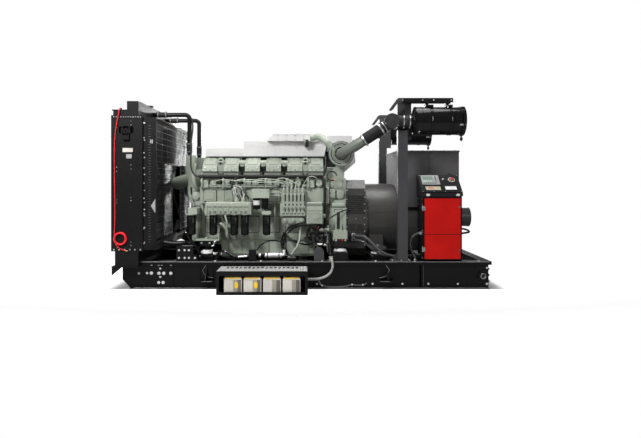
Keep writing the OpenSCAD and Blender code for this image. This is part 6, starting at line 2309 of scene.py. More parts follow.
    def pipes(self) -> None:
        """Dipstick, drain pipe, a small hose and pipe clips down the near side."""
        pale = Form().use(LINE_PALE)
        black = Form().use(CABLE)
        steel = Form().use(STEEL)
        pale.bend([(-0.388, -0.6, 1.05), (-0.388, -0.59, 0.96), (-0.392, -0.56, 0.85), (-0.396, -0.49, 0.7),
                   (-0.396, -0.448, 0.61)], 5, 0.008, 8)
        steel.lathe((-0.388, -0.6, 1.046), UP, [(0, 0.012), (0.02, 0.012), (0.022, 0.006), (0.05, 0.006), (0.052, 0.0)],
                    10)
        pale.bend([(-1.05, -0.735, 0.962), (-1.046, -0.735, 0.92), (-1.03, -0.72, 0.85), (-1.034, -0.64, 0.76),
                   (-1.04, -0.52, 0.735), (-1.04, -0.455, 0.735)], 5, 0.012, 8)
        black.bend([(0.3, -0.612, 0.8), (0.318, -0.64, 0.862), (0.39, -0.64, 0.915), (0.48, -0.6, 0.965),
                    (0.56, -0.56, 1.0), (0.64, -0.52, 1.015)], 6, 0.009, 8)
        for x in (-0.8, -0.5, -0.2, 0.1, -1.1):
            steel.band((x, -0.5806, 1.457), EX, 0.0142, 0.017, 0.01, 14)
        for y, z in ((-0.6, 1.25), (-0.596, 1.02)):
            steel.band((0.3, y, z), EZ, 0.0142, 0.018, 0.01, 14)
        pale.piece("small_pipes")
        black.piece("small_hoses")
        steel.piece("pipe_clips")

    def wire_bundle(self) -> None:
        """The branch of the harness that breaks out into thin wires over the crankcase."""
        black = Form().use(CABLE)
        pale = Form().use(WIRE_PALE)
        plugs = Form().use(PANEL_GREY)
        black.bend([(-0.905, -0.59, 1.457), (-0.93, -0.606, 1.44), (-0.958, -0.63, 1.4), (-0.966, -0.64, 1.345),
                    (-0.96, -0.645, 1.31)], 6, 0.0155, 12)
        black.bend([(-0.96, -0.645, 1.33), (-0.925, -0.66, 1.335), (-0.86, -0.69, 1.31), (-0.8, -0.715, 1.262),
                    (-0.76, -0.73, 1.21), (-0.735, -0.728, 1.17)], 6, 0.009, 8)
        for k in range(9):
            x = -0.965 + k * 0.021
            end = -0.94 + k * 0.017 + (0.02 if k % 2 else -0.012)
            form = pale if k % 3 else black
            form.bend([(-0.958, -0.648, 1.322 + 0.003 * k),
                       (x * 0.6 - 0.36, -0.662 - 0.004 * (k % 3), 1.3 + 0.01 * (k % 4)),
                       (x, -0.668 - 0.006 * (k % 2), 1.255 - 0.012 * (k % 3)), (end, -0.662, 1.185 - 0.01 * (k % 4)),
                       (end - 0.006, -0.655, 1.105)], 4, 0.0052, 6)
        for x, z in ((-0.948, 1.292), (-0.905, 1.315), (-0.878, 1.278), (-0.842, 1.296), (-0.895, 1.236),
                     (-0.93, 1.222)):
            plugs.block((x - 0.014, -0.69, z - 0.017), (x + 0.014, -0.662, z + 0.017), 0.003)
        black.piece("branch_cables")
        pale.piece("branch_wires")
        plugs.piece("branch_plugs")
        sleeve = Form().use(CABLE)
        sleeve.bend([(-1.562, -0.42, 2.29), (-1.545, -0.44, 2.15), (-1.556, -0.5, 1.95), (-1.548, -0.56, 1.76),
                     (-1.54, -0.59, 1.6), (-1.5, -0.59, 1.5), (-1.44, -0.588, 1.474)], 5, 0.0105, 10)
        sleeve.tube([(x, -0.588, 1.474) for x in (-1.44, -1.1, -0.7, -0.3, 0.1, 0.26)], 0.0215, 12)
        sleeve.bend([(0.3, -0.6, 1.31), (0.3, -0.6, 1.2), (0.3, -0.6, 1.1), (0.3, -0.592, 0.99), (0.304, -0.585, 0.9),
                     (0.31, -0.575, 0.82), (0.305, -0.6, 0.72), (0.285, -0.64, 0.64)], 4, 0.021, 12)
        sleeve.bend([(0.24, -0.585, 1.45), (0.285, -0.56, 1.5), (0.31, -0.54, 1.57), (0.318, -0.52, 1.65),
                     (0.318, -0.5, 1.735)], 5, 0.017, 10)
        sleeve.tube([(0.398 + 0.066 * math.cos(t), -0.605, 1.478 + 0.062 * math.sin(t))
                     for t in (2 * math.pi * k / 28 for k in range(24))], 0.0085, 8)
        sleeve.piece("harness_sleeves")
        dots = Form().use(STOP_RED)
        dots.drum((0.405, -0.612, 1.43), (0.405, -0.632, 1.43), 0.011, 10)
        dots.drum((0.53, -0.722, 0.61), (0.53, -0.738, 0.61), 0.01, 10)
        dots.piece("terminal_boots")

    def low_hoses(self) -> None:
        """Bright heater tank, its couplings and the thick hoses and leads along the rail."""
        bright = Form().use(HEATER_BRIGHT)
        black = Form().use(WET_HOSE)
        pale = Form().use(DRAIN_GREY)
        bright.lathe((-0.505, -0.905, 0.425), EX,
                     [(0, 0.022), (0.006, 0.034), (0.02, 0.036), (0.21, 0.036), (0.224, 0.034), (0.232, 0.022)], 28)
        for x in (-0.47, -0.315):
            black.band((x, -0.905, 0.425), EX, 0.0355, 0.04, 0.014, 28)
        bright.bend([(-0.282, -0.905, 0.425), (-0.262, -0.905, 0.43), (-0.252, -0.9, 0.455), (-0.252, -0.895, 0.5)], 5,
                    0.021, 14)
        bright.band((-0.57, -0.905, 0.425), EX, 0.014, 0.026, 0.026, 16)
        bright.drum((-0.735, -0.905, 0.415), (-0.86, -0.9, 0.405), 0.016, 14)
        black.bend([(-0.86, -0.9, 0.405), (-0.93, -0.895, 0.415), (-1.02, -0.88, 0.47), (-1.08, -0.85, 0.48),
                    (-1.13, -0.8, 0.455), (-1.11, -0.8, 0.415), (-1.0, -0.83, 0.385), (-0.88, -0.86, 0.375)], 6, 0.013,
                   10)
        for shift, lift in ((0.0, 0.0), (-0.034, 0.03)):
            black.bend([(0.06 + shift, -0.69, 0.815 + lift * 0.4), (-0.02 + shift, -0.715, 0.812 + lift * 0.5),
                        (-0.13 + shift, -0.735, 0.775 + lift * 0.7), (-0.215 + shift, -0.75, 0.7 + lift * 0.5),
                        (-0.25 + shift, -0.765, 0.6), (-0.235 + shift * 0.6, -0.8, 0.5),
                        (-0.185 + shift * 0.3, -0.84, 0.43), (-0.13 + shift * 0.5, -0.885, 0.395)], 6, 0.0155, 12)
        pale.bend([(-0.03, -0.64, 0.905), (-0.034, -0.65, 0.83), (-0.04, -0.69, 0.7), (-0.048, -0.715, 0.62),
                   (-0.085, -0.745, 0.52), (-0.15, -0.8, 0.435), (-0.185, -0.885, 0.395)], 6, 0.0145, 12)
        black.bend([(-0.61, -0.905, 0.49), (-0.56, -0.88, 0.555), (-0.48, -0.83, 0.6), (-0.39, -0.78, 0.61),
                    (-0.29, -0.74, 0.59)], 6, 0.0075, 8)
        black.bend([(-0.205, -0.74, 0.66), (-0.15, -0.73, 0.61), (-0.06, -0.72, 0.57), (0.05, -0.71, 0.548),
                    (0.13, -0.7, 0.56)], 6, 0.0125, 10)
        for k, (x, y, z) in enumerate(((0.115, -0.7, 0.69), (0.175, -0.72, 0.66), (0.255, -0.7, 0.7),
                                       (0.23, -0.69, 0.61), (0.33, -0.68, 0.64))):
            turn = math.radians(35 * k)
            black.tube([(x + (0.055 + 0.01 * (k % 2)) * math.cos(t + turn), y - 0.02 * math.sin(t),
                         z + 0.085 * math.sin(t + turn)) for t in (2 * math.pi * j / 24 for j in range(19))], 0.012, 8)
        for side in SIDES:
            black.bend([(-2.055, side * 0.64, 0.6), (-1.98, side * 0.64, 0.585), (-1.9, side * 0.64, 0.545),
                        (-1.78, side * 0.6, 0.525 - max(side, 0) * 0.025),
                        (-1.66, side * 0.56, 0.525 - max(side, 0) * 0.03), (-1.56, side * 0.52, 0.52),
                        (-1.5, side * 0.47, 0.52), (-1.47, side * 0.4, 0.56), (-1.468, side * 0.36, 0.64)], 6, 0.062,
                       20)
        black.bend([(-1.57, -0.7, 0.76), (-1.56, -0.735, 0.68), (-1.5, -0.77, 0.59), (-1.43, -0.79, 0.52),
                    (-1.39, -0.8, 0.455), (-1.33, -0.82, 0.41), (-1.2, -0.84, 0.395)], 6, 0.0165, 10)
        drains = Form().use(SAGE_SMOOTH)
        for route in (((-1.115, -0.6, 0.958), (-1.115, -0.6, 0.91), (-1.085, -0.6, 0.85), (-1.015, -0.6, 0.795),
                       (-0.95, -0.6, 0.735), (-0.935, -0.59, 0.665), (-0.935, -0.55, 0.612), (-0.935, -0.445, 0.6)),
                      ((-1.17, -0.462, 0.835), (-1.17, -0.51, 0.835), (-1.15, -0.62, 0.83), (-1.09, -0.65, 0.81),
                       (-1.042, -0.65, 0.74), (-1.034, -0.64, 0.665), (-1.034, -0.56, 0.612), (-1.034, -0.445, 0.6))):
            drains.bend(route, 5, 0.0235, 16)
        drains.piece("drain_pipes")
        foot = Form().use(LEAD)
        foot.bend([(0.205, -0.966, 0.11), (0.212, -0.985, 0.085), (0.24, -0.992, 0.045), (0.32, -0.992, 0.03),
                   (0.46, -0.99, 0.024), (0.56, -0.99, 0.034), (0.64, -0.99, 0.052), (0.72, -0.99, 0.046),
                   (0.8, -0.99, 0.052), (0.83, -0.966, 0.07)], 5, 0.0125, 10)
        for x, z in ((0.25, 0.043), (0.64, 0.052), (0.78, 0.05)):
            bright.band((x, -0.991, z), EX, 0.0122, 0.0155, 0.014, 16)
        black.block((-0.215, -0.925, 0.3585), (-0.09, -0.88, 0.405), 0.006)
        for x in (-0.185, -0.13):
            bright.lathe((x, -0.88, 0.394), FAR, [(0.0, 0.021), (0.01, 0.021), (0.012, 0.018)], 6)
        foot.piece("rail_foot_cable")
        bright.piece("heater_tank")
        black.piece("low_hoses")
        pale.piece("pump_drain_pipe")
        rack = Form().use(DARK_STEEL)
        rack.block((0.02, -0.56, 0.56), (0.33, -0.38, 0.622), 0.006)
        rack.block((0.08, -0.65, 0.64), (0.35, -0.4, 0.676), 0.004)
        rack.slab((0.215, -0.655, 0.612), EX * 0.085, EZ * 0.055, FAR * 0.12, 0.02, 0.006)
        rack.piece("starter_cradle")

    def castings(self) -> None:
        """Ribs, bosses and short pipes between the heads and the crankcase, with shade painted in the gaps and a dark
        strip under the heat shields.
        """
        b = self.bank
        form = Form().use(SAGE)
        smooth = Form().use(SAGE_SMOOTH)
        dark = Form().use(SHADOW)
        bright = Fasteners("casting_bolts", Head.HEX, ZINC, radius=0.01, height=0.009)
        for side in SIDES:
            way = EY * side
            for i, x in enumerate(b.columns()):
                y = side * 0.585
                form.lathe((x + 0.045, side * 0.56, 1.372), way,
                           [(0, 0.044), (0.03, 0.044), (0.04, 0.032), (0.041, 0.0)], 22)
                bright.ring((x + 0.045, side * 0.6, 1.372), way, 0.028, 3, 0.55, 30.0 * i)
                form.slab((x - 0.06, side * 0.555, 1.365), EX * 0.04, EZ * 0.05, way * 0.045, 0.012, 0.006)
                bright.spot((x - 0.06, side * 0.6, 1.385), way, 0.9)
                # dark gaps painted as shade beside each boss
                dark.slab((x - 0.006, side * 0.571, 1.368), EX * 0.01, EZ * 0.052, way * 0.006, 0.0, 0.001)
                dark.slab((x + 0.112, side * 0.571, 1.362), EX * 0.02, EZ * 0.046, way * 0.006, 0.0, 0.001)
                smooth.bend([(x - 0.105, y, 1.44), (x - 0.108, y + side * 0.03, 1.42),
                             (x - 0.104, y + side * 0.036, 1.37), (x - 0.108, y + side * 0.03, 1.32),
                             (x - 0.108, y - side * 0.01, 1.3)], 4, 0.0135, 10)
                if i < b.count - 1:
                    middle = x + b.pitch / 2
                    smooth.drum((middle - 0.04, side * 0.575, 1.34), (middle + 0.04, side * 0.575, 1.34), 0.02, 14)
                    top = b.at(middle, 0.905, 0.02, side)
                    smooth.drum(top - EX * 0.052, top + EX * 0.052, 0.046, 22)
                    # painted shade between the covers
                    dark.slab(b.at(middle, 0.865, 0.11, side), EX * 0.048, b.axis(side) * 0.045,
                              b.outward(side) * 0.003, 0.0, 0.0005)
            for k in range(2):
                smooth.tube([(xx, side * (0.612 + 0.006 * k), 1.352 - 0.022 * k) for xx in (-1.3, -0.9, -0.5, -0.36)],
                            0.0062, 8)
            for i in (0.5, b.count - 1.5):
                x = b.first + i * b.pitch
                out, up = b.outward(side), b.axis(side)
                form.slab(b.at(x, 0.905, 0.06, side), EX * 0.046, up * 0.075, out * 0.05, 0.02, 0.006)
                dark.lathe(b.at(x, 0.955, 0.1105, side), out, [(0, 0.019), (0.001, 0.019)], 20)
                smooth.band(b.at(x, 0.955, 0.112, side), out, 0.019, 0.03, 0.01, 24)
            # a dark strip along the heat shields' lower edge
            dark.block((-1.32, side * 0.388, 1.738), (0.33, side * 0.407, 1.757), 0.002)
        form.piece("bank_castings")
        smooth.piece("bank_pipes")
        dark.piece("bank_shade_gaps")
        bright.make()

    def front_end(self) -> None:
        """Pipes, idlers and brackets at the front of the engine, with shade painted round a cap and a cover."""
        form = Form().use(SAGE)
        smooth = Form().use(SAGE_SMOOTH)
        dark = Form().use(SHADOW)
        bolts = Fasteners("front_end_bolts", Head.HEX, ZINC, radius=0.01, height=0.009)
        for side in SIDES:
            way = EY * side
            smooth.bend([(-1.5, side * 0.48, 1.64), (-1.515, side * 0.505, 1.6), (-1.52, side * 0.53, 1.5),
                         (-1.51, side * 0.54, 1.4), (-1.49, side * 0.52, 1.33), (-1.48, side * 0.49, 1.3)], 5, 0.03, 16)
            smooth.bend([(-1.56, side * 0.3, 1.42), (-1.6, side * 0.38, 1.35), (-1.59, side * 0.45, 1.25),
                         (-1.56, side * 0.48, 1.15), (-1.52, side * 0.47, 1.06)], 5, 0.024, 14)
            form.lathe((-1.49, side * self.gear_side, 1.2), way,
                       [(0, 0.062), (0.02, 0.062), (0.026, 0.05), (0.036, 0.05), (0.04, 0.04), (0.041, 0.0)], 26)
            bolts.ring((-1.49, side * 0.486, 1.2), way, 0.056, 6, 0.7)
            # a dark ring and outline painted as shade round the cap and the cover
            dark.band((-1.49, side * 0.462, 1.2), way, 0.061, 0.066, 0.004, 26)
            form.slab((-1.485, side * self.gear_side, 0.95), EX * 0.058, EZ * 0.1, way * 0.024, 0.02, 0.007)
            dark.slab((-1.485, side * self.gear_side, 0.95), EX * 0.063, EZ * 0.105, way * 0.0015, 0.022, 0.0005)
            for dx in (-0.042, 0.042):
                for z in (0.868, 0.95, 1.032):
                    bolts.spot((-1.485 + dx, side * 0.484, z), way, 0.9)
            form.slab((-1.48, side * self.gear_side, 0.69), EX * 0.05, EZ * 0.08, way * 0.02, 0.016, 0.006)
            for z in (0.635, 0.745):
                bolts.spot((-1.48, side * 0.48, z), way, 1.0)
        hose = Form().use(CABLE)
        for side in SIDES:
            hose.bend([(-1.64, side * 0.26, 1.32), (-1.655, side * 0.33, 1.3), (-1.64, side * 0.39, 1.245),
                       (-1.6, side * 0.42, 1.195), (-1.548, side * 0.425, 1.18)], 5, 0.027, 14)
            form.lathe((-1.56, side * 0.28, 1.13), FRONT, [(0, 0.07), (0.02, 0.07), (0.026, 0.058), (0.03, 0.0)], 26)
        hose.piece("front_bypass_hoses")
        form.piece("front_end_castings")
        smooth.piece("front_end_pipes")
        dark.piece("front_end_shade_outlines")
        bolts.make()

    def shields(self) -> None:
        """Seams, folds and screws of the heat shields and the cooler's cover."""
        form = Form().use(SHIELD)
        screws = Fasteners("shield_screws", Head.HEX, ZINC, radius=0.01, height=0.008)
        (x0, _, z0), (_, _, z1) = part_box("heat_shields")
        face = self.shield_side
        for side in SIDES:
            way = EY * side
            for x in (x0 + 0.13, x0 + 0.33, x0 + 0.5):
                form.slab((x, side * (face + 0.0005), z0 + 0.055), EX * 0.003, EZ * 0.052, way * 0.004, 0.0, 0.001)
                screws.spot((x - 0.04, side * face, z0 + 0.028), way, 0.8)
                screws.spot((x + 0.04, side * face, z0 + 0.085), way, 0.8)
            for x in (x0 + 0.75, x0 + 0.98, x0 + 1.22):
                form.slab((x, side * (face + 0.0005), z0 + 0.105), EX * 0.003, EZ * 0.1, way * 0.004, 0.0, 0.001)
                screws.spot((x - 0.06, side * face, z0 + 0.035), way, 0.8)
                screws.spot((x + 0.06, side * face, z0 + 0.18), way, 0.8)
            form.block((x0 + 0.004, side * (face - 0.002), z0 + 0.108), (x0 + 0.538, side * (face + 0.004), z0 + 0.113),
                       0.001)
            form.block((x0 + 0.544, side * (face - 0.002), z0 + 0.208), (x0 + 1.66, side * (face + 0.004), z0 + 0.213),
                       0.001)
            form.block((x0 + 0.96, side * 0.499, z1 - 0.006), (x0 + 1.46, side * 0.503, z1 - 0.001), 0.001)
            for x in (x0 + 1.02, x0 + 1.14, x0 + 1.26, x0 + 1.38):
                screws.spot((x, side * 0.5, z1 - 0.022), way, 0.8)
                screws.spot((x, side * 0.5, z1 - 0.08), way, 0.8)
        for x in (x0 + 0.06, x0 + 0.26, x0 + 0.48):
            for y in (-0.36, 0.36):
                screws.spot((x, y, z0 + 0.11), UP)
        for x in (x0 + 0.6, x0 + 0.8):
            for y in (-0.36, 0.0, 0.36):
                screws.spot((x, y, z0 + 0.21), UP)
        form.piece("shield_folds")
        screws.make()
        Bars((x0 + 1.05, 0.0, z1 - 0.002), (0.045, 0, 0), 9, (0.012, 0.8, 0.012)).make("cooler_fins", SHIELD)

    def flywheel(self) -> None:
        """Bolt rings, caps and covers of the flywheel housing and the front gear case, with shade painted where its
        pockets and channel are.
        """
        form = Form().use(SAGE)
        dark = Form().use(SHADOW)
        bolts = Fasteners("housing_bolts", Head.HEX, ZINC, radius=0.012, height=0.011)
        mouth = low("flywheel_housing").x
        bolts.ring((mouth + 0.03, 0, 0.88), FRONT, 0.505, 30, 0.7)
        for side in SIDES:
            way = EY * side
            form.lathe((0.512, side * 0.45, 1.222), way, [(0, 0.062), (0.03, 0.062), (0.036, 0.054), (0.04, 0.03),
                                                          (0.041, 0.0)], 28)
            bolts.ring((0.512, side * 0.482, 1.222), way, 0.05, 6, 0.5)
            form.slab((0.47, side * 0.45, 1.37), EX * 0.085, EZ * 0.06, way * 0.012, 0.014, 0.003)
            form.slab((0.47, side * 0.45, 1.06), EX * 0.09, EZ * 0.04, way * 0.012, 0.014, 0.003)
            bolts.ring((0.47, side * 0.462, 1.37), way, 0.06, 4, 0.6, 40)
            for dx in (-0.07, 0.07):
                for z in (0.625, 0.705):
                    bolts.spot((0.48 + dx, side * self.foot_side, z), way, 0.9)
            form.lathe((0.43, side * self.foot_side, 0.665), way, [(0, 0.03), (0.01, 0.03), (0.012, 0.0)], 20)
            form.slab((0.49, side * self.foot_side, 0.86), EX * 0.052, EZ * 0.15, way * 0.018, 0.01, 0.005)
            # dark outlines and a channel line painted as shade
            dark.slab((0.49, side * self.foot_side, 0.86), EX * 0.06, EZ * 0.158, way * 0.002, 0.01, 0.0005)
            dark.slab((0.49, side * 0.538, 0.86), EX * 0.022, EZ * 0.12, way * 0.001, 0.008, 0.0003)
            form.drum((0.4, side * 0.505, 1.075), (0.58, side * 0.505, 1.075), 0.034, 20)
            form.slab((0.405, side * 0.47, 1.24), EX * 0.045, EZ * 0.06, way * 0.05, 0.012, 0.005)
            bolts.ring((0.405, side * self.foot_side, 1.24), way, 0.04, 4, 0.7, 45)
            dark.block((0.364, side * 0.5, 0.62), (0.372, side * 0.524, 1.3), 0.001)
        gx0 = low("front_gear_case").x
        for y, heights in ((-0.43, (0.62, 1.29, 0.78, 0.95, 1.12)), (-0.22, (0.62, 1.29)), (0.0, (0.62, 1.29)),
                           (0.22, (0.62, 1.29)), (0.43, (0.62, 1.29, 0.78, 0.95, 1.12))):
            for z in heights:
                bolts.spot((gx0, y, z), FRONT, 0.9)
        for side in SIDES:
            bolts.row((gx0 + 0.025, side * self.gear_side, 0.62), (gx0 + 0.025, side * self.gear_side, 1.29), 7,
                      EY * side, 0.7)
            for z, half in ((1.16, 0.09), (0.8, 0.12)):
                form.slab((gx0 + 0.075, side * self.gear_side, z), EX * 0.045, EZ * half, EY * side * 0.01, 0.012,
                          0.003)
        form.piece("housing_covers")
        dark.piece("housing_shade_gaps")
        bolts.make()

    def drive(self) -> None:
        """Fan belts, the rims of their pulleys and the damper."""
        belts = Form().use(HOSE)
        rims = Form().use(DARK_STEEL)
        top, bottom = 1.38, 0.88
        for x in (-1.612, -1.594):
            loop = [Vector((x, 0, height)) + radius * spoke(EY, EZ, math.radians(start + 180.0 * k / 24))
                    for height, radius, start in ((top, 0.194, 0.0), (bottom, 0.174, 180.0)) for k in range(25)]
            belts.tube(loop, 0.008, 6, closed=True)
        for x in (-1.624, -1.603, -1.583):
            rims.band((x, 0, bottom), EX, 0.165, 0.18, 0.005, 40)
        for x in (-1.585, -1.603, -1.623):
            rims.band((x, 0, top), EX, 0.17, 0.199, 0.004, 40)
        rims.lathe((-1.63, 0, bottom), FRONT, [(0, 0.12), (0.012, 0.12), (0.014, 0.07), (0.02, 0.068), (0.021, 0.0)],
                   32)
        belts.piece("fan_belts")
        rims.piece("pulley_rims")

    def starters(self) -> None:
        """Rims, terminal boots and leads of the starter motors."""
        form = Form().use(DARK_STEEL)
        boots = Form().use(STOP_RED)
        leads = Form().use(CABLE)
        form.band((0.15, -0.53, 0.74), EX, 0.058, 0.064, 0.012)
        form.band((0.33, -0.53, 0.74), EX, 0.058, 0.068, 0.02)
        form.band((0.205, -0.61, 0.74), EX, 0.0275, 0.031, 0.008, 20)
        boots.drum((0.182, -0.62, 0.744), (0.2, -0.64, 0.752), 0.01, 10)
        boots.drum((0.19, -0.598, 0.76), (0.19, -0.606, 0.785), 0.009, 10)
        leads.bend([(0.183, -0.645, 0.755), (0.15, -0.675, 0.75), (0.12, -0.7, 0.68), (0.15, -0.74, 0.58),
                    (0.22, -0.8, 0.5), (0.24, -0.86, 0.46), (0.24, -0.885, 0.44)], 6, 0.01, 8)
        leads.bend([(0.19, -0.607, 0.786), (0.22, -0.64, 0.8), (0.3, -0.69, 0.74), (0.34, -0.75, 0.62),
                    (0.36, -0.86, 0.5), (0.364, -0.94, 0.43)], 6, 0.009, 8)
        form.piece("starter_rims")
        boots.piece("starter_boots")
        leads.piece("starter_leads")

    def build(self) -> None:
        """Makes every piece of the engine's dress."""
        self.covers()
        self.heads()
        self.rails()
        self.injection_lines()
        self.crankcase()
        self.filters()
        self.pump()
        self.pipes()
        self.wire_bundle()
        self.low_hoses()
        self.castings()
        self.front_end()
        self.shields()
        self.flywheel()
        self.drive()
        self.starters()


# ---------------------------------------------------------------- intake


@dataclass
class IntakeDress:
    """Rings, clamps, ribs, straps and drains of the turbochargers, hoses and air filters.

    Args:
        wheel: middle of a compressor's face, on the near side.
        hose: centreline of a rubber hose, on the near side.
        tee: middle of a tee, on the near side.
        filter_r: radius of a filter's shell.
    """

    wheel: tuple[float, float, float] = (0.52, -0.69, 1.78)
    hose: tuple[Point, ...] = ((0.79, -0.948, 1.938), (0.9208, -0.975, 2.0217), (0.9943, -0.99, 2.0731),
                               (1.0229, -0.99, 2.0932), (1.0516, -0.99, 2.1133))
    tee: tuple[float, float, float] = (1.154, -0.99, 2.185)
    filter_r: float = 0.173

    def turbo(self, form: Form, bolts: Fasteners, bands: Form, pale_rings: Form, shade_rings: Form,
              side: float) -> None:
        """Volute, rings and flanges of one turbocharger.

        Args:
            form: what takes the turbocharger's own finish.
            bolts: the flanges' bolts.
            bands: the bright bands.
            pale_rings: the pale machined rings.
            shade_rings: the dark rings painted as shade between them.
            side: -1 for the near side, 1 for the far one.
        """
        x, y, z = self.wheel
        y = -y * side
        way = EY * side
        # the SHADOW rings are painted shade between the turned faces
        for rings, out, inner, outer, width, sides in (
                (form, 0.006, 0.071, 0.096, 0.014, 36), (form, -0.02, 0.117, 0.128, 0.02, 40),
                (pale_rings, -0.022, 0.141, 0.1685, 0.014, 44), (pale_rings, 0.001, 0.1, 0.112, 0.004, 44),
                (shade_rings, 0.014, 0.074, 0.093, 0.003, 36), (shade_rings, -0.0215, 0.1095, 0.1195, 0.005, 44),
                (shade_rings, -0.0215, 0.1295, 0.1395, 0.005, 44), (shade_rings, -0.024, 0.1695, 0.1745, 0.008, 44),
                (form, -0.15, 0.088, 0.104, 0.014, 32), (form, -0.256, 0.12, 0.134, 0.018, 36),
                (bands, -0.118, 0.09, 0.099, 0.014, 32)):
            rings.band((x, y + side * out, z), way, inner, outer, width, sides)
        turns = [math.radians(-40 + 11.5 * k) for k in range(28)]
        form.tube([(x - 0.13 * math.cos(t), y - side * 0.068, z + 0.13 * math.sin(t)) for t in turns], 0.04, 14,
                  radii=[0.022 + 0.0011 * k for k in range(28)])
        form.slab((x, y - side * 0.19, z + 0.088), EX * 0.03, EY * 0.03, EZ * 0.014, 0.008, 0.002)
        for out, radius, count, size in ((-0.015, 0.155, 12, 0.6), (-0.262, 0.112, 10, 0.7), (0.013, 0.084, 8, 0.5)):
            bolts.ring((x, y + side * out, z), way, radius, count, size)

    def intake_hose(self, clamps: Form, side: float) -> None:
        """Bright clamps at a rubber hose's ends.

        Args:
            clamps: what the clamps are added to.
            side: -1 for the near side, 1 for the far one.
        """
        line = [Vector((px, py * -side, pz)) for px, py, pz in self.hose]
        for here, after, share in ((line[0], line[1], 0.1), (line[2], line[4], 0.3)):
            way = (after - here).normalized()
            centre = here.lerp(after, share)
            clamps.band(centre, way, 0.0782, 0.083, 0.016, 36)
            clamps.band(centre + way * 0.012, way, 0.0782, 0.0812, 0.004, 36)
            down = (Vector((0, 0, -1)) - way * -way.z).normalized()
            clamps.slab(centre + down * 0.082 + EY * side * 0.014, way * 0.008, EY * 0.018, down * 0.012, 0.002, 0.001)
            clamps.drum(centre + down * 0.09 + EY * side * 0.04, centre + down * 0.09 - EY * side * 0.02, 0.0045, 8)

    def tee_and_neck(self, rims: Form, clamps: Form, bolts: Fasteners, side: float) -> None:
        """End caps, rims and neck clamps of one tee.

        Args:
            rims: the end caps and rims.
            clamps: the bright clamps.
            bolts: the caps' screws.
            side: -1 for the near side, 1 for the far one.
        """
        x, y, z = self.tee
        y = -y * side
        way = EY * side
        for end in SIDES:
            face = y + end * 0.09
            rims.band((x, face - end * 0.005, z), EY, 0.09, 0.0985, 0.012, 40)
            rims.lathe((x, face, z), EY * end, [(0, 0.086), (0.003, 0.085), (0.004, 0.078), (0.0045, 0.0)], 36)
        bolts.ring((x, y + side * 0.091, z), way, 0.0915, 3, 0.5, 20.0)
        for cx in (1.312, 1.391):
            clamps.band((cx, y, z + 0.005), EX, 0.0745, 0.0795, 0.013, 32)
            clamps.slab((cx, y, z - 0.075), EX * 0.007, EY * 0.018, DOWN * 0.014, 0.002, 0.001)
        rims.band((1.352, y, z + 0.005), EX, 0.0745, 0.0785, 0.052, 32)
        way = Vector((-0.819, 0, -0.574))
        mouth = Vector((x, y, z)) + way * 0.118
        clamps.band(mouth, way, 0.07, 0.0745, 0.01, 32)
        clamps.slab(mouth + Vector((0.574, 0, -0.819)) * 0.073 + EY * side * 0.012, way * 0.008, EY * 0.02,
                    Vector((0.574, 0, -0.819)) * 0.016, 0.002, 0.001)

    def shell(self, shells: Form, metal: Form, bolts: Fasteners, side: float) -> None:
        """Beads, straps, latches, end cap and drain of one air filter.

        Args:
            shells: what takes the shell's own finish.
            metal: the latches, wires and drain fittings.
            bolts: the straps' bolts.
            side: -1 for the near side, 1 for the far one.
        """
        y, z = side * 0.99, 2.19
        x0, x1 = low("air_filters").x + 0.147, high("air_filters").x
        r = self.filter_r
        shells.lathe((x0 + 0.004, y, z), EX,
                     [(0.0, r - 0.004), (0.0, r + 0.002), (0.01, r + 0.008), (x1 - x0 - 0.056, r + 0.008),
                      (x1 - x0 - 0.05, r + 0.002), (x1 - x0 - 0.05, r - 0.004)], 56)
        for x, inner, outer, width in ((x0 + 0.01, -0.01, 0.012, 0.018), (x0 + 0.09, 0.004, 0.0115, 0.008),
                                       (x1 - 0.06, -0.002, 0.007, 0.012), (x1 - 0.004, 0.004, 0.0195, 0.01)):
            shells.band((x, y, z), EX, r + inner, r + outer, width, 48)
        shells.lathe((x1 - 0.001, y, z), EX, [(0, r + 0.005), (0.004, r - 0.01), (0.005, r - 0.05), (-0.001, r - 0.06),
                                              (-0.001, 0.05), (0.008, 0.045), (0.01, 0.0)], 44)
        shells.lathe((x0 - 0.001, y, z), FRONT, [(0, r - 0.012), (0.012, r - 0.03), (0.014, 0.09), (0.02, 0.086),
                                                 (0.022, 0.074)], 40)
        for cx in (1.655, 1.905):
            shells.band((cx, y, z), EX, r + 0.005, r + 0.012, 0.034, 48)
            for edge in (-0.015, 0.015):
                shells.band((cx + edge, y, z), EX, r + 0.009, r + 0.0145, 0.004, 48)
            shells.slab((cx, y + side * (r + 0.01), z + 0.012), EX * 0.012, EZ * 0.02, EY * side * 0.006, 0.003, 0.001)
            metal.drum((cx, y + side * (r + 0.016), z - 0.02), (cx, y + side * (r + 0.016), z + 0.042), 0.003, 8)
            bolts.spot((cx, y + side * (r + 0.0115), z + 0.016), EY * side, 0.9)
            shells.slab((cx, y + side * 0.035, z + r), EX * 0.03, EY * 0.055, EZ * 0.03, 0.004, 0.002)
            for x in (cx - 0.016, cx + 0.016):
                bolts.spot((x, y + side * 0.065, z + r + 0.03), UP, 0.8)
        for turn in (20, 110, 200, 290):
            a = math.radians(turn)
            out = Vector((0, math.cos(a), math.sin(a)))
            centre = Vector((x1 - 0.052, y, z)) + out * (r + 0.006)
            across_way = EX.cross(out)
            metal.slab(centre, EX * 0.034, across_way * 0.012, out * 0.008, 0.003, 0.001)
            metal.tube([centre + EX * 0.02 + across_way * 0.009 + out * 0.006,
                        centre + EX * 0.044 + across_way * 0.007 + out * 0.016,
                        centre + EX * 0.044 - across_way * 0.007 + out * 0.016,
                        centre + EX * 0.02 - across_way * 0.009 + out * 0.006], 0.002, 6)
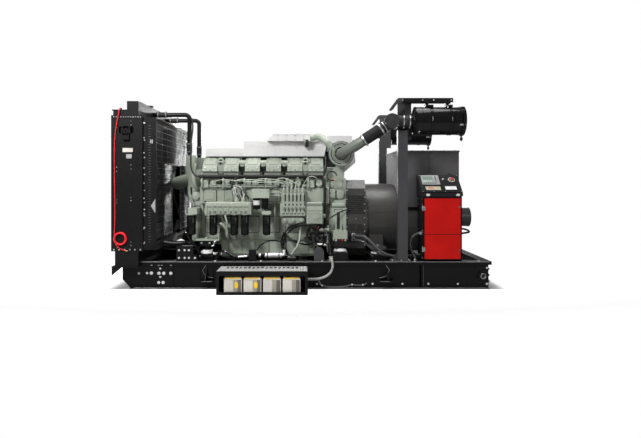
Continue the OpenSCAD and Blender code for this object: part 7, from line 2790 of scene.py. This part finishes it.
        shells.lathe((x1 - 0.022, y, z - r - 0.035), DOWN, [(0, 0.013), (0.012, 0.018), (0.03, 0.02), (0.046, 0.012),
                                                            (0.052, 0.011), (0.053, 0.0)], 18)
        metal.band((x1 - 0.022, y, z - r - 0.038), EZ, 0.0125, 0.0155, 0.008, 18)
        metal.lathe((x0 + 0.045, y + side * 0.1, z - r * 0.81 + 0.003), DOWN,
                    [(0, 0.012), (0.014, 0.012), (0.016, 0.008), (0.03, 0.007), (0.031, 0.0)], 12)

    def frame(self, bolts: Fasteners, side: float) -> None:
        """Bolts and beam cover of one filter frame.

        Args:
            bolts: the frame's bolts.
            side: -1 for the near side, 1 for the far one.
        """
        beam = Form().use(CABINET)
        beam.block((1.3, side * 1.0104 - 0.0006, 2.434), (1.955, side * 1.0104 + 0.0006, 2.4895), 0.0002)
        beam.piece("filter_beam_cover_" + ("near" if side < 0 else "far"))
        for x, y in ((1.17, 0.975), (1.17, 0.89), (1.39, 0.975), (1.39, 0.885), (1.285, 0.996)):
            bolts.spot((x, side * min(y, 0.985), 0.37), UP, 1.2)
        for x in (1.3, 1.56, 1.7, 1.93):
            bolts.spot((x, side * 1.011, 2.462), EY * side, 0.8)
        for x in (1.33, 1.4):
            for z in (2.3, 2.38):
                bolts.spot((x, side * 0.872, z), EY * -side, 0.9)

    def build(self) -> None:
        """Makes the intake's dress on both sides."""
        form = Form().use(TURBO)
        bands = Form().use(STEEL)
        shade_rings = Form().use(SHADOW)
        pale_rings = Form().use(TURBO_PALE)
        clamps = Form().use(ZINC)
        rims = Form().use(ELBOW)
        shells = Form().use(AIR_FILTER)
        metal = Form().use(STEEL)
        turbo_bolts = Fasteners("turbo_bolts", Head.HEX, TURBO_BOLT, radius=0.011, height=0.009)
        intake_bolts = Fasteners("intake_bolts", Head.HEX, ZINC, radius=0.009, height=0.008)
        for side in SIDES:
            self.turbo(form, turbo_bolts, bands, pale_rings, shade_rings, side)
            self.intake_hose(clamps, side)
            self.tee_and_neck(rims, clamps, intake_bolts, side)
            self.shell(shells, metal, intake_bolts, side)
            self.frame(intake_bolts, side)
        form.piece("turbo_rings")
        bands.piece("turbo_bands")
        shade_rings.piece("turbo_shade_rings")
        pale_rings.piece("turbo_bright_rings")
        clamps.piece("intake_clamps")
        rims.piece("tee_caps")
        shells.piece("filter_shell_beads")
        metal.piece("filter_latches")
        # the sheet beside the turbo is painted white rather than the shields' grey, as painted light where the turbo
        # shades it
        sheet = Form().use(WHITE)
        sheet.prism([(0.47, 0.4, 1.64), (0.8, 0.4, 1.905), (0.812, 0.4, 1.7),
                     (0.56, 0.4, 1.48), (0.47, 0.4, 1.5)], (0.0, 0.003, 0.0))
        sheet.piece("turbo_heat_sheet")
        web = Form().use(SAGE)
        gap = Form().use(HOSE)
        for side in SIDES:
            web.block((0.3, side * 0.4 - 0.02, 1.4), (0.47, side * 0.4 + 0.02, 1.605), 0.008)
            gap.block((0.29, side * 0.315 - 0.015, 1.59), (0.48, side * 0.315 + 0.015, 1.83), 0.004)
        web.piece("turbo_bracket_webs")
        gap.piece("turbo_bracket_seals")
        turbo_bolts.make()
        intake_bolts.make()
        line = smooth_route(self.hose, 6)
        ribs_along("hose_ribs", [line[2:-4], mirrored(line[2:-4])], 0.0115, 0.078, 0.0036, HOSE)
        pipe = Form().use(TURBO)
        joint = Form().use(HOSE)
        for side in SIDES:
            pipe.band((0.7, side * 0.912, 1.888), Vector((0.78, side * -0.32, 0.53)), 0.069, 0.075, 0.01, 32)
            joint.tube([(0.03, side * 0.45, 1.949), (0.046, side * 0.4505, 1.9495), (0.078, side * 0.451, 1.95)], 0.062,
                       24)
            pipe.band((0.028, side * 0.45, 1.949), EX, 0.05, 0.0685, 0.01, 28)
        pipe.piece("intake_pipe_rims")
        joint.piece("charge_pipe_sleeves")


# ---------------------------------------------------------------- alternator


@dataclass
class AlternatorDress:
    """Louvres, flanges, covers, bolts and loose leads of the alternator and its terminal box.

    Args:
        axis: height of the shaft.
        louvre_rows: slats in each opening.
        inlet_side: half the width across the air inlet housing.
        box_side: half the width across the terminal box.
    """

    axis: float = 0.88
    louvre_rows: int = 9
    inlet_side: float = 0.5
    box_side: float = 0.55

    def louvres(self) -> None:
        """Slatted openings in the sides of the air inlet housing."""
        x0 = low("alternator_vent_housing").x
        border = Form().use(ALTERNATOR)
        dark = Form().use(LOUVRE_DARK)
        slats: list[Bars] = []
        for z0, z1 in ((0.965, 1.215), (0.56, 0.81)):
            step = (z1 - z0) / self.louvre_rows
            for xa, xb in ((x0 + 0.022, x0 + 0.118), (x0 + 0.146, x0 + 0.242)):
                middle, half = (xa + xb) / 2, (xb - xa) / 2
                for side in SIDES:
                    y = side * self.inlet_side
                    dark.slab((middle, y, (z0 + z1) / 2), EX * half, EZ * (z1 - z0) / 2, EY * side * 0.002, 0.0, 0.0002)
                    for za, zb in ((z0 - 0.008, z0), (z1, z1 + 0.008)):
                        border.block((xa - 0.008, y, za), (xb + 0.008, y + side * 0.012, zb), 0.002)
                    for xc in (xa - 0.008, xb):
                        border.block((xc, y, z0 - 0.008), (xc + 0.008, y + side * 0.012, z1 + 0.008), 0.002)
                    slats.append(Bars((middle, y + side * 0.007, z0 + step / 2), (0, 0, step), self.louvre_rows,
                                      (2 * half, 0.017, 0.0045), (side * -38.0, 0, 0)))
        border.piece("louvre_frames")
        dark.piece("louvre_shadows")
        for k, field_of_slats in enumerate(slats):
            field_of_slats.make(f"louvre_slats_{k + 1}", ALTERNATOR)

    def flanges(self) -> None:
        """Flange rings, ribs and bolts of the housings."""
        form = Form().use(ALTERNATOR)
        bolts = Fasteners("alternator_bolts", Head.HEX, DARK_STEEL, radius=0.012, height=0.011)
        bright = Fasteners("alternator_studs", Head.HEX, ZINC, radius=0.009, height=0.008)
        x0, x1 = low("alternator_housing").x, high("alternator_housing").x
        ex1 = high("alternator_exciter").x
        rear = ex1 - 0.25
        for place, inner, outer, width, sides in (
                (x0 + 0.014, 0.48, 0.502, 0.026, 72), (x1 - 0.012, 0.47, 0.498, 0.022, 72),
                (x0 + 0.3, 0.488, 0.4925, 0.006, 72), (x1 - 0.16, 0.488, 0.4925, 0.006, 72),
                (x1 + 0.052, 0.44, 0.456, 0.014, 64), (rear - 0.01, 0.285, 0.308, 0.02, 56),
                (x1 + 0.08, 0.296, 0.306, 0.016, 56), (ex1 - 0.012, 0.12, 0.1405, 0.014, 40)):
            form.band((place, 0, self.axis), EX, inner, outer, width, sides)
        bolts.ring((x0 + 0.027, 0, self.axis), REAR, 0.494, 26, 0.6)
        bolts.ring((x1, 0, self.axis), REAR, 0.476, 24, 0.7)
        for side in SIDES:
            y = side * self.inlet_side
            for x, count in ((0.858, 9), (0.612, 7)):
                bright.row((x, y, 0.52), (x, y, 1.28), count, EY * side, 0.8)
            bright.spot((0.735, y, 0.885), EY * side, 0.9)
            form.slab((0.735, y, 0.885), EX * 0.115, EZ * 0.045, EY * side * 0.003, 0.006, 0.001)
            for a in (-14.0, 12.0):
                t = math.radians(a)
                out = Vector((0, side * math.cos(t), math.sin(t)))
                up = Vector((0, -side * math.sin(t), math.cos(t)))
                form.slab(Vector((1.33, 0, self.axis)) + out * 0.489, EX * 0.34, up * 0.004, out * 0.006, 0.002, 0.001)
            for x in (0.955, 1.09):
                bolts.spot((x, side * 0.65, 0.52), UP, 1.3)
                bolts.spot((x, side * 0.42, 0.52), UP, 1.1)
        form.lathe((ex1 - 0.001, 0, self.axis), REAR, [(0, 0.118), (0.004, 0.112), (0.008, 0.06), (0.009, 0.0)], 36)
        bolts.ring((x1 + 0.06, 0, self.axis), REAR, 0.425, 20, 0.8)
        bolts.ring((rear, 0, self.axis), REAR, 0.27, 16, 0.8)
        bolts.ring((rear, 0, self.axis), REAR, 0.165, 8, 0.7)
        bright.ring((ex1 - 0.004, 0, self.axis), REAR, 0.13, 8, 0.6)
        for k in range(22):
            t = math.radians(198 + 144 * k / 21)
            out = Vector((0, math.cos(t), math.sin(t)))
            form.slab(Vector((2.005, 0, self.axis)) + out * 0.299, EX * 0.14, EX.cross(out) * 0.006, out * 0.007, 0.003,
                      0.001)
        form.piece("alternator_flanges")
        bolts.make()
        bright.make()

    def terminal_box(self) -> None:
        """Edge screws and cover plates of the terminal box."""
        (x0, _, _), (x1, _, z1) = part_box("terminal_box")
        x0, x1 = x0 + 0.008, x1 - 0.008
        middle = (x0 + x1) / 2
        form = Form().use(TERMINAL)
        screws = Fasteners("terminal_box_screws", Head.HEX, DARK_STEEL, radius=0.0075, height=0.006)
        for side in SIDES:
            y = side * self.box_side
            for x in (middle - 0.21, middle + 0.21):
                form.slab((x, y, 1.44), EX * 0.2, EZ * 0.35, EY * side * 0.003, 0.006, 0.001)
            for xc in (x0 + 0.026, middle - 0.022, middle + 0.022, x1 - 0.026):
                screws.row((xc, y + side * 0.003, 1.115), (xc, y + side * 0.003, 1.765), 6, EY * side, 0.55)
        for y in (-0.53, 0.53):
            screws.row((x0 + 0.05, y, z1), (x1 - 0.05, y, z1), 6, UP)
        for x in (x0 + 0.02, x1 - 0.02):
            screws.row((x, -0.42, z1), (x, 0.42, z1), 5, UP)
        form.slab((middle, 0, z1), EX * 0.36, EY * 0.5, UP * 0.003, 0.01, 0.001)
        for x, way in ((x0, FRONT), (x1, REAR)):
            form.slab((x, 0, 1.6), EY * 0.44, EZ * 0.17, way * 0.003, 0.008, 0.001)
            for z in (1.745, 1.455):
                screws.row((x, -0.41, z), (x, 0.41, z), 6, way)
        form.piece("terminal_box_panels")
        screws.make()

    def leads(self) -> None:
        """The lead that loops out behind the cabinet, a second lead, glands and cable clips."""
        black = Form().use(CABLE)
        metal = Form().use(STEEL)
        black.bend([(2.07, -0.8, 0.765), (2.11, -0.802, 0.77), (2.16, -0.8, 0.765), (2.215, -0.79, 0.745),
                    (2.232, -0.76, 0.722), (2.2, -0.7, 0.705), (2.14, -0.6, 0.69), (2.11, -0.48, 0.7),
                    (2.105, -0.36, 0.745), (2.1, -0.262, 0.8)], 6, 0.013, 12)
        metal.band((2.082, -0.8, 0.766), EX, 0.0125, 0.02, 0.018, 14)
        metal.lathe((1.562, -0.905, 0.72), FRONT, [(-0.004, 0.026), (0.01, 0.026), (0.012, 0.02), (0.026, 0.018)], 6)
        metal.lathe((1.481, -0.905, 0.358), UP, [(0, 0.026), (0.01, 0.026), (0.012, 0.02), (0.024, 0.018)], 6)
        for x, y, z in ((1.022, -0.668, 0.478), (1.3, -0.69, 0.394)):
            metal.band((x, y, z), Vector((0.9, -0.1, -0.4)) if x < 1.2 else EX, 0.0182, 0.0215, 0.016, 18)
        second = [(0.7, -0.504, 0.6), (0.7, -0.526, 0.6), (0.705, -0.56, 0.6), (0.75, -0.625, 0.598),
                  (0.83, -0.69, 0.58), (0.925, -0.7, 0.5), (1.03, -0.712, 0.428), (1.15, -0.726, 0.392),
                  (1.32, -0.74, 0.378), (1.445, -0.75, 0.385), (1.515, -0.75, 0.392), (1.564, -0.75, 0.394)]
        leads = Form().use(LEAD)
        leads.bend(second, 5, 0.016, 12)
        leads.piece("second_lead")
        for z, wide in ((0.6, 0.03), (0.66, 0.032)):
            metal.lathe((0.7, -0.5, z), NEAR, [(0, wide), (0.012, wide), (0.014, wide - 0.008), (0.03, wide - 0.01)], 6)
        black.piece("loose_leads")
        metal.piece("cable_glands")

    def build(self) -> None:
        """Makes every piece of the alternator's dress."""
        self.louvres()
        self.flanges()
        self.terminal_box()
        self.leads()


# ---------------------------------------------------------------- controls


@dataclass
class ControlDress:
    """Door plates, hinges, latches and the controls on the console's lid.

    Args:
        slope: the lid's slope in degrees.
        edge: the slope's lower edge, at the lid's underside.
        lid_top: height of the lid's face above that edge, square to the slope.
    """

    slope: float = 39.0
    edge: tuple[float, float] = (-1.0, 1.246)
    lid_top: float = 0.017

    def on_lid(self, x: float, up: float, lift: float = 0.0) -> Vector:
        """A point on the lid's face, by its place along the set, up the slope and above the face."""
        a = math.radians(self.slope)
        return Vector((x, self.edge[0] + up * math.cos(a) - (self.lid_top + lift) * math.sin(a),
                       self.edge[1] + up * math.sin(a) + (self.lid_top + lift) * math.cos(a)))

    def along(self) -> Vector:
        """Direction up the slope."""
        a = math.radians(self.slope)
        return Vector((0, math.cos(a), math.sin(a)))

    def normal(self) -> Vector:
        """Direction square to the lid's face."""
        a = math.radians(self.slope)
        return Vector((0, -math.sin(a), math.cos(a)))

    def console(self) -> None:
        """Controller, lamps, blank plates, key switch and stop button on the lid."""
        up, out = self.along(), self.normal()
        body = Form().use(PANEL_GREY)
        body.slab(self.on_lid(1.7, 0.25), EX * 0.118, up * 0.098, out * 0.012, 0.008, 0.002)
        body.use(CONSOLE)
        body.slab(self.on_lid(1.7, 0.25, -0.0005), EX * 0.124, up * 0.104, out * 0.003, 0.008, 0.001)
        body.use(SCREEN)
        body.slab(self.on_lid(1.668, 0.285, 0.0115), EX * 0.068, up * 0.036, out * 0.0015, 0.003, 0.0004)
        body.use(DARK_STEEL)
        for k in range(6):
            body.slab(self.on_lid(1.604 + k * 0.03, 0.178, 0.0115), EX * 0.01, up * 0.01, out * 0.003, 0.003, 0.001)
        for k in range(4):
            body.slab(self.on_lid(1.77, 0.222 + k * 0.028, 0.0115), EX * 0.01, up * 0.009, out * 0.003, 0.003, 0.001)
        lamp = [(0, 0.0048), (0.003, 0.0048), (0.005, 0.003), (0.0055, 0.0)]
        body.use(LAMP_GREEN)
        for k in range(4):
            body.lathe(self.on_lid(1.615 + k * 0.03, 0.218, 0.011), out, lamp, 12)
        body.use(LAMP_RED)
        body.lathe(self.on_lid(1.8, 0.222, 0.011), out, lamp, 12)
        body.piece("console_controller", "console_lid")
        plates = Form().use(STRIP_CREAM)
        plates.slab(self.on_lid(1.712, 0.084), EX * 0.098, up * 0.036, out * 0.0025, 0.004, 0.0006)
        plates.use(STOP_RED)
        for k in range(5):
            plates.slab(self.on_lid(1.655 + k * 0.014, 0.086 + 0.006 * (k % 2), 0.0024), EX * 0.0045, up * 0.014,
                        out * 0.0012, 0.001, 0.0003)
        plates.piece("console_strip", "console_lid")
        bare = Form().use(WHITE)
        bare.slab(self.on_lid(1.945, 0.09), EX * 0.074, up * 0.034, out * 0.002, 0.003, 0.0005)
        bare.piece("console_blank_plate", "console_lid")
        stop = Form().use(STOP_RING)
        stop.lathe(self.on_lid(1.985, 0.262), out, [(0, 0.046), (0.003, 0.046), (0.004, 0.044), (0.0042, 0.02)], 40)
        stop.use(CABLE)
        stop.band(self.on_lid(1.985, 0.262, 0.0048), out, 0.023, 0.034, 0.0012, 32)
        stop.use(STOP_RED)
        stop.lathe(self.on_lid(1.985, 0.262, 0.003), out, [(0, 0.012), (0.012, 0.011), (0.014, 0.018), (0.02, 0.02),
                                                           (0.026, 0.016), (0.029, 0.008), (0.0295, 0.0)], 32)
        stop.piece("console_stop_button", "console_lid")
        key = Form().use(STEEL)
        key.lathe(self.on_lid(1.88, 0.27), out,
                  [(0, 0.019), (0.005, 0.019), (0.007, 0.015), (0.011, 0.014), (0.012, 0.0)], 28)
        key.use(DARK_STEEL)
        key.slab(self.on_lid(1.88, 0.27, 0.011), EX * 0.003, up * 0.012, out * 0.016, 0.0, 0.0008)
        key.piece("console_key_switch", "console_lid")
        screws = Fasteners("console_lid_screws", Head.DOME, ZINC, "console_lid", radius=0.0055, height=0.0035)
        for x in (1.567, 1.712, 1.86, 2.071):
            screws.spot(self.on_lid(x, 0.02), out)
        for x in (1.567, 2.071):
            screws.spot(self.on_lid(x, 0.355), out)
        screws.make()
        seams = Form().use(CONSOLE)
        for x in (1.5545, 2.0785):
            seams.slab(self.on_lid(x, 0.19, -0.0005), EX * 0.004, up * 0.176, out * 0.003, 0.0, 0.001)
        seams.slab(self.on_lid(1.819, 0.0115, -0.0005), EX * 0.262, up * 0.004, out * 0.003, 0.0, 0.001)
        seams.piece("console_lid_edges", "console_lid")
        latches = Form().use(BOLT_WHITE)
        for x in (1.632, 2.022):
            latches.slab((x, -1.0, 1.228), EX * 0.024, EZ * 0.013, NEAR * 0.01, 0.003, 0.0015)
            latches.drum((x - 0.02, -1.012, 1.232), (x + 0.02, -1.012, 1.232), 0.0045, 10)
            latches.slab((x, -1.01, 1.222), EX * 0.01, EZ * 0.011, NEAR * 0.008, 0.002, 0.001)
        latches.piece("console_latches")

    def door(self) -> None:
        """The door's two plates, edge fold, hinge barrels and locks."""
        z0, z1 = low("cabinet_door").z, high("cabinet_door").z
        x0, x1 = 1.578, 2.054
        face = -1.027
        plates = Form().use(DOOR)
        split = 0.713
        for za, zb in ((z0 + 0.008, split - 0.004), (split + 0.004, z1 - 0.008)):
            plates.slab(((x0 + x1) / 2, face, (za + zb) / 2), EX * ((x1 - x0) / 2 - 0.008), EZ * (zb - za) / 2,
                        NEAR * 0.0018, 0.004, 0.0008)
        plates.piece("door_plates", "cabinet_door")
        trim = Form().use(CABINET)
        for low_corner, high_corner in (((x0, face - 0.0016, z0), (x0 + 0.005, face, z1)),
                                        ((x1 - 0.005, face - 0.0016, z0), (x1, face, z1)),
                                        ((x0 + 0.005, face - 0.0016, z0), (x1 - 0.005, face, z0 + 0.005)),
                                        ((x0 + 0.005, face - 0.0016, z1 - 0.005), (x1 - 0.005, face, z1)),
                                        ((x0 + 0.008, face - 0.0012, split - 0.003),
                                         (x1 - 0.008, face, split + 0.003))):
            trim.block(low_corner, high_corner, 0.0004)
        trim.piece("door_edges", "cabinet_door")
        barrels = Form().use(STEEL)
        for z in (0.488, 1.02):
            barrels.drum((1.559, -1.014, z - 0.002), (1.559, -1.014, z + 0.062), 0.0115, 16)
            barrels.block((1.566, face - 0.003, z + 0.004), (1.588, face - 0.0012, z + 0.056), 0.0006)
        barrels.piece("hinge_barrels", "cabinet_door")
        locks = Form().use(DARK_STEEL)
        for z in (0.5, 1.065):
            locks.lathe((2.034, face, z), NEAR,
                        [(0, 0.014), (0.005, 0.014), (0.006, 0.01), (0.008, 0.009), (0.0085, 0.0)], 20)
            locks.slab((2.034, face - 0.008, z), EX * 0.0022, EZ * 0.007, NEAR * 0.002, 0.0, 0.0004)
        locks.piece("door_locks", "cabinet_door")

    def cabinet(self) -> None:
        """Hinge leaves, side screws and vents of the cabinet."""
        x0 = 1.565
        x1, y1, _ = high("control_cabinet")
        metal = Form().use(ZINC)
        for z in (0.488, 1.02):
            metal.slab((x0, -0.97, z + 0.03), EY * 0.016, EZ * 0.03, FRONT * 0.003, 0.002, 0.0006)
        metal.piece("hinge_leaves")
        screws = Fasteners("cabinet_screws", Head.HEX, ZINC, radius=0.007, height=0.006)
        for z in (0.4, 0.76, 1.17):
            for y in (-0.96, -0.69):
                screws.spot((x0, y, z), FRONT)
                screws.spot((x1, y, z), REAR)
        for y in (-0.95, -0.7):
            screws.spot((x0, y, 1.1), FRONT, 0.8)
        for z in (1.18, 0.4):
            screws.row((x0 + 0.05, y1, z), (x1 - 0.05, y1, z), 4, FAR)
        screws.make()
        vents = Form().use(CABINET)
        for k in range(9):
            z = 0.52 + 0.022 * k
            vents.slab((x1, -0.825, z), EY * 0.09, EZ * 0.006, REAR * 0.006, 0.003, 0.002)
            vents.slab((x0 + 0.245, y1, z + 0.3), EX * 0.12, EZ * 0.006, FAR * 0.006, 0.003, 0.002)
        vents.block((x0 + 0.002, -1.0, 1.19), (x1 - 0.002, -0.9995, 1.209), 0.0002)
        vents.piece("cabinet_vents")

    def build(self) -> None:
        """Makes the controls' dress."""
        self.console()
        self.door()
        self.cabinet()


DRESSES = [SkidDress(), BatteryDress(), MountDress(), RadiatorDress(), EngineDress(), IntakeDress(), AlternatorDress(),
           ControlDress()]


def main() -> None:
    """Builds the studio and every part's dress in order."""
    logging.basicConfig(level=logging.INFO, format="%(name)s: %(message)s")
    Studio().build()
    paint_solids()
    DrainHose().build()
    for dress in DRESSES:
        dress.build()
        LOG.info("%s done", type(dress).__name__)


if __name__ == "__main__":
    main()
